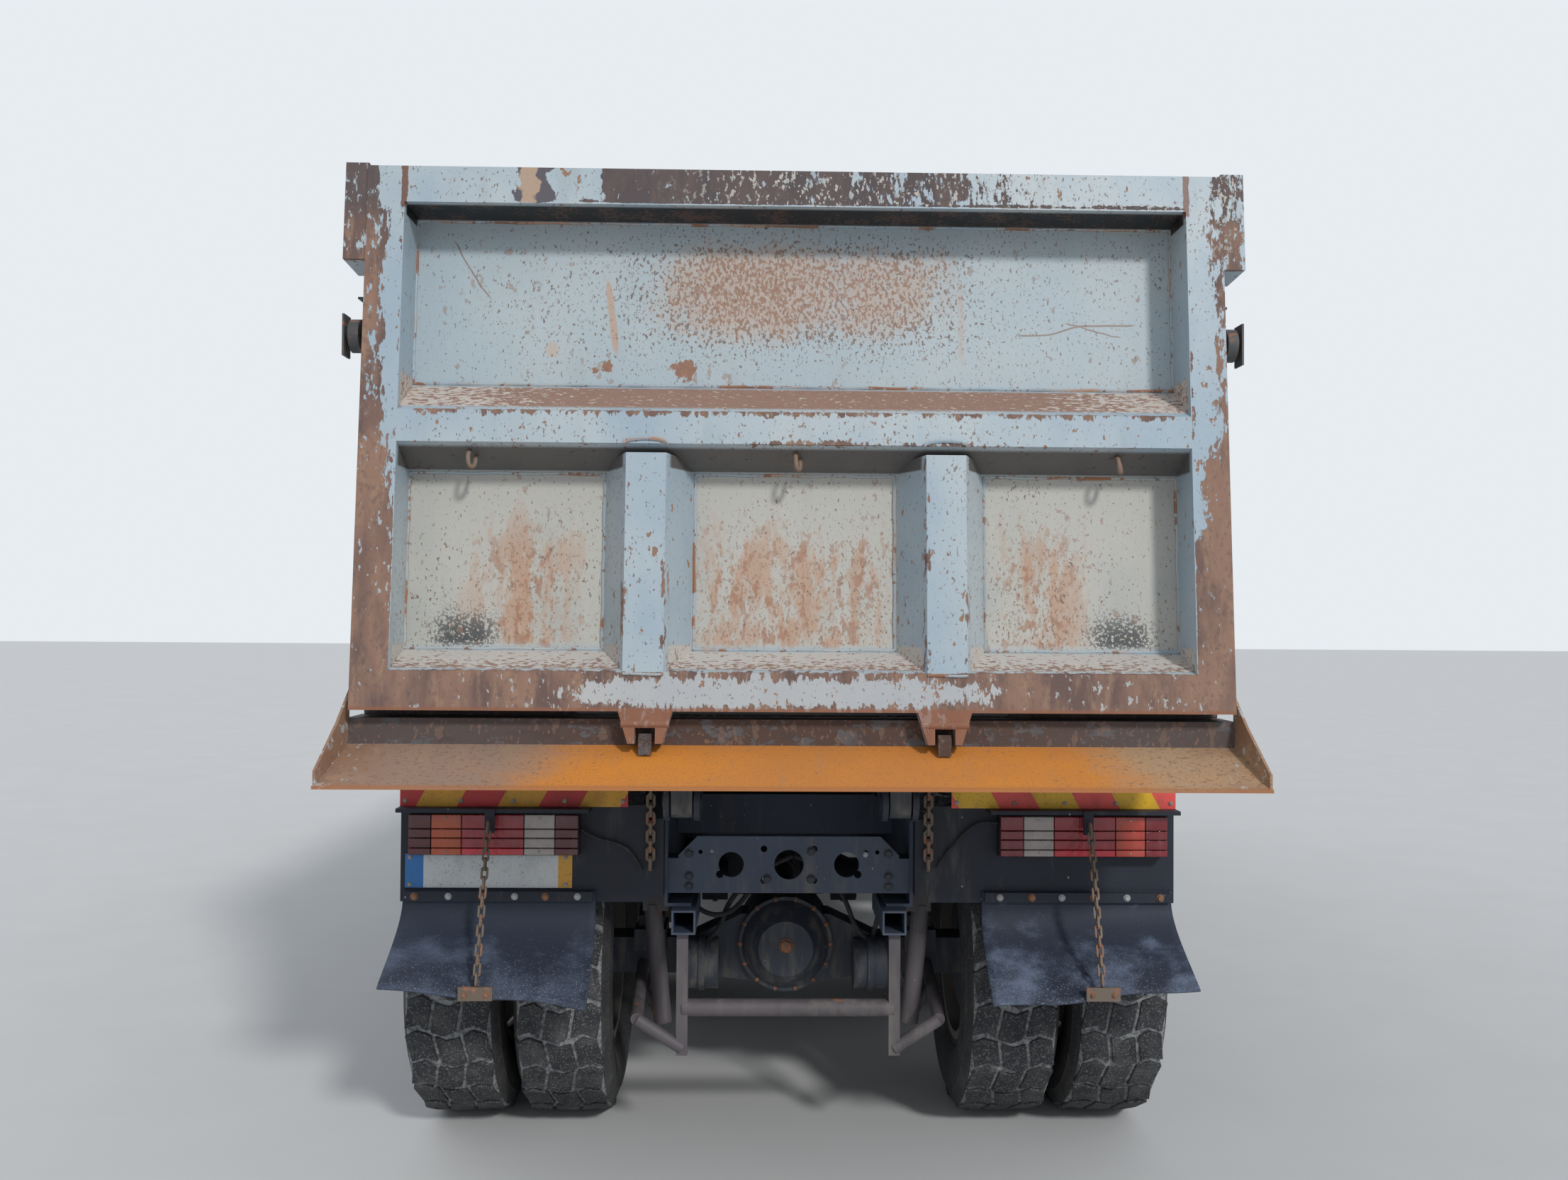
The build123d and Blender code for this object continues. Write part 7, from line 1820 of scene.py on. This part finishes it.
# %% Finishes by node
bed_steel = bed_coat("bed steel", 0.5, 0.25, 100)
tub_steel = bed_coat("tub steel", 0.8, 0.22, 105, srgb(158, 160, 154), (1.50, 2.00))
deck_steel = bed_coat("deck steel", 0.5, 0.8, 110, srgb(150, 148, 142))
frame_navy = chassis_coat("frame navy", srgb(70, 81, 99), 0.35, 0.10, 0.30, 200)
bracket_navy = chassis_coat("bracket navy", srgb(25, 32, 46), 0.22, 0.05, 0.3, 205)
axle_iron = chassis_coat("axle iron", srgb(56, 62, 72), 0.6, 0.12, 0.2, 210)
link_iron = chassis_coat("link iron", srgb(94, 88, 92), 0.6, 0.35, 0.2, 215)
NODE_COATS = {
    "bed_tub": tub_steel,
    "bed_rear_frame": rear_frame_coat(),
    "bed_chute": chute_coat(),
    "bed_side_rails": deck_steel,
    # The runners' dark base is partly their dusty dark paint and partly painted shade from lying under the
    # bed.
    "bed_runners": chassis_coat("runner steel", srgb(62, 66, 72), 0.7, 0.25, 0.1, 115),
    "bed_wall_frame": bed_steel,
    "bed_pulleys": metal("pulley steel", srgb(84, 84, 84), 0.6, 0.4, 225, 0.4, (1, 1, 1), 0.45),
    "tailgate": gate_coat(),
    "chassis_frame": frame_navy,
    "hoist_subframe": chassis_coat("subframe navy", NAVY, 0.45, 0.2, 0.2, 230),
    "lamp_brackets": bracket_navy,
    "rear_plates": boards_and_plate(),
    "mudguards": moulded("mudguard plastic", srgb(46, 48, 52), 0.5, 235),
    "mudflaps": flap_coat,
    "rear_axles": axle_iron,
    "front_axles": chassis_coat("front axle iron", srgb(52, 56, 62), 0.5, 0.2, 0.2, 240),
    "rear_links": link_iron,
    "leaf_springs": chassis_coat("spring steel", srgb(58, 56, 56), 0.6, 0.35, 0.1, 245),
    "driveline": chassis_coat("driveline grey", srgb(88, 90, 92), 0.5, 0.15, 0.1, 250, 0.5, 0.2),
    "chains": metal("chain iron", srgb(120, 106, 92), 0.6, 0.4, 255, 0.5, (1, 1, 1), 0.5),
    "bumper": moulded("bumper plastic", srgb(72, 76, 80), 0.3, 260),
    "cab_steps": moulded("step plastic", srgb(64, 68, 72), 0.45, 265),
    "cab_trim": trim_plastic,
    "cab_shell": cab_coat(),
    "cab_interior": moulded("dash plastic", srgb(64, 66, 70), 0.12, 270, 0.6),
    "air_cleaner": moulded("cleaner plastic", srgb(40, 42, 45), 0.4, 275),
    "right_tanks": metal("tank sheet", srgb(168, 168, 166), 0.34, 0.45, 280, 0.85, (1, 8, 1), 0.12),
    "left_side_gear": chassis_coat("side gear paint", srgb(60, 64, 70), 0.5, 0.15, 0.2, 285),
    "hoist_base": chassis_coat("hoist base paint", srgb(60, 66, 74), 0.4, 0.15, 0.1, 290),
}
NODE_COATS["door_left"] = NODE_COATS["door_right"] = NODE_COATS["cab_shell"]
pane = window_glass()
for node in ("cab_glass", "door_left_glass", "door_right_glass"):
    NODE_COATS[node] = pane
for stage in (1, 2, 3, 4):
    NODE_COATS[f"hoist_stage_{stage}"] = metal(
        f"hoist chrome {stage}", srgb(196, 198, 202), 0.14, 0.2, 300 + stage * 3, 1.0, (1, 1, 30)
    )
rim_coats = {
    "front": metal("front rims", srgb(176, 176, 172), 0.42, 0.45, 320, 0.6, (1, 1, 1), 0.28),
    "rear": metal("rear rims", srgb(112, 110, 106), 0.6, 0.7, 325, 0.3, (1, 1, 1), 0.35),
}
for number in (1, 2, 3, 4):
    for side in ("left", "right"):
        NODE_COATS[f"rim_{number}_{side}"] = rim_coats["front" if number < 3 else "rear"]
        if number < 3:
            NODE_COATS[f"knuckle_{number}_{side}"] = NODE_COATS["front_axles"]
for name, node in frame["nodes"].items():
    coat = NODE_COATS.get(name, rubber_coat)
    for holder in node.material_slots:
        holder.material = coat
print("nodes with a finish", len(NODE_COATS), "of", len(frame["nodes"]))
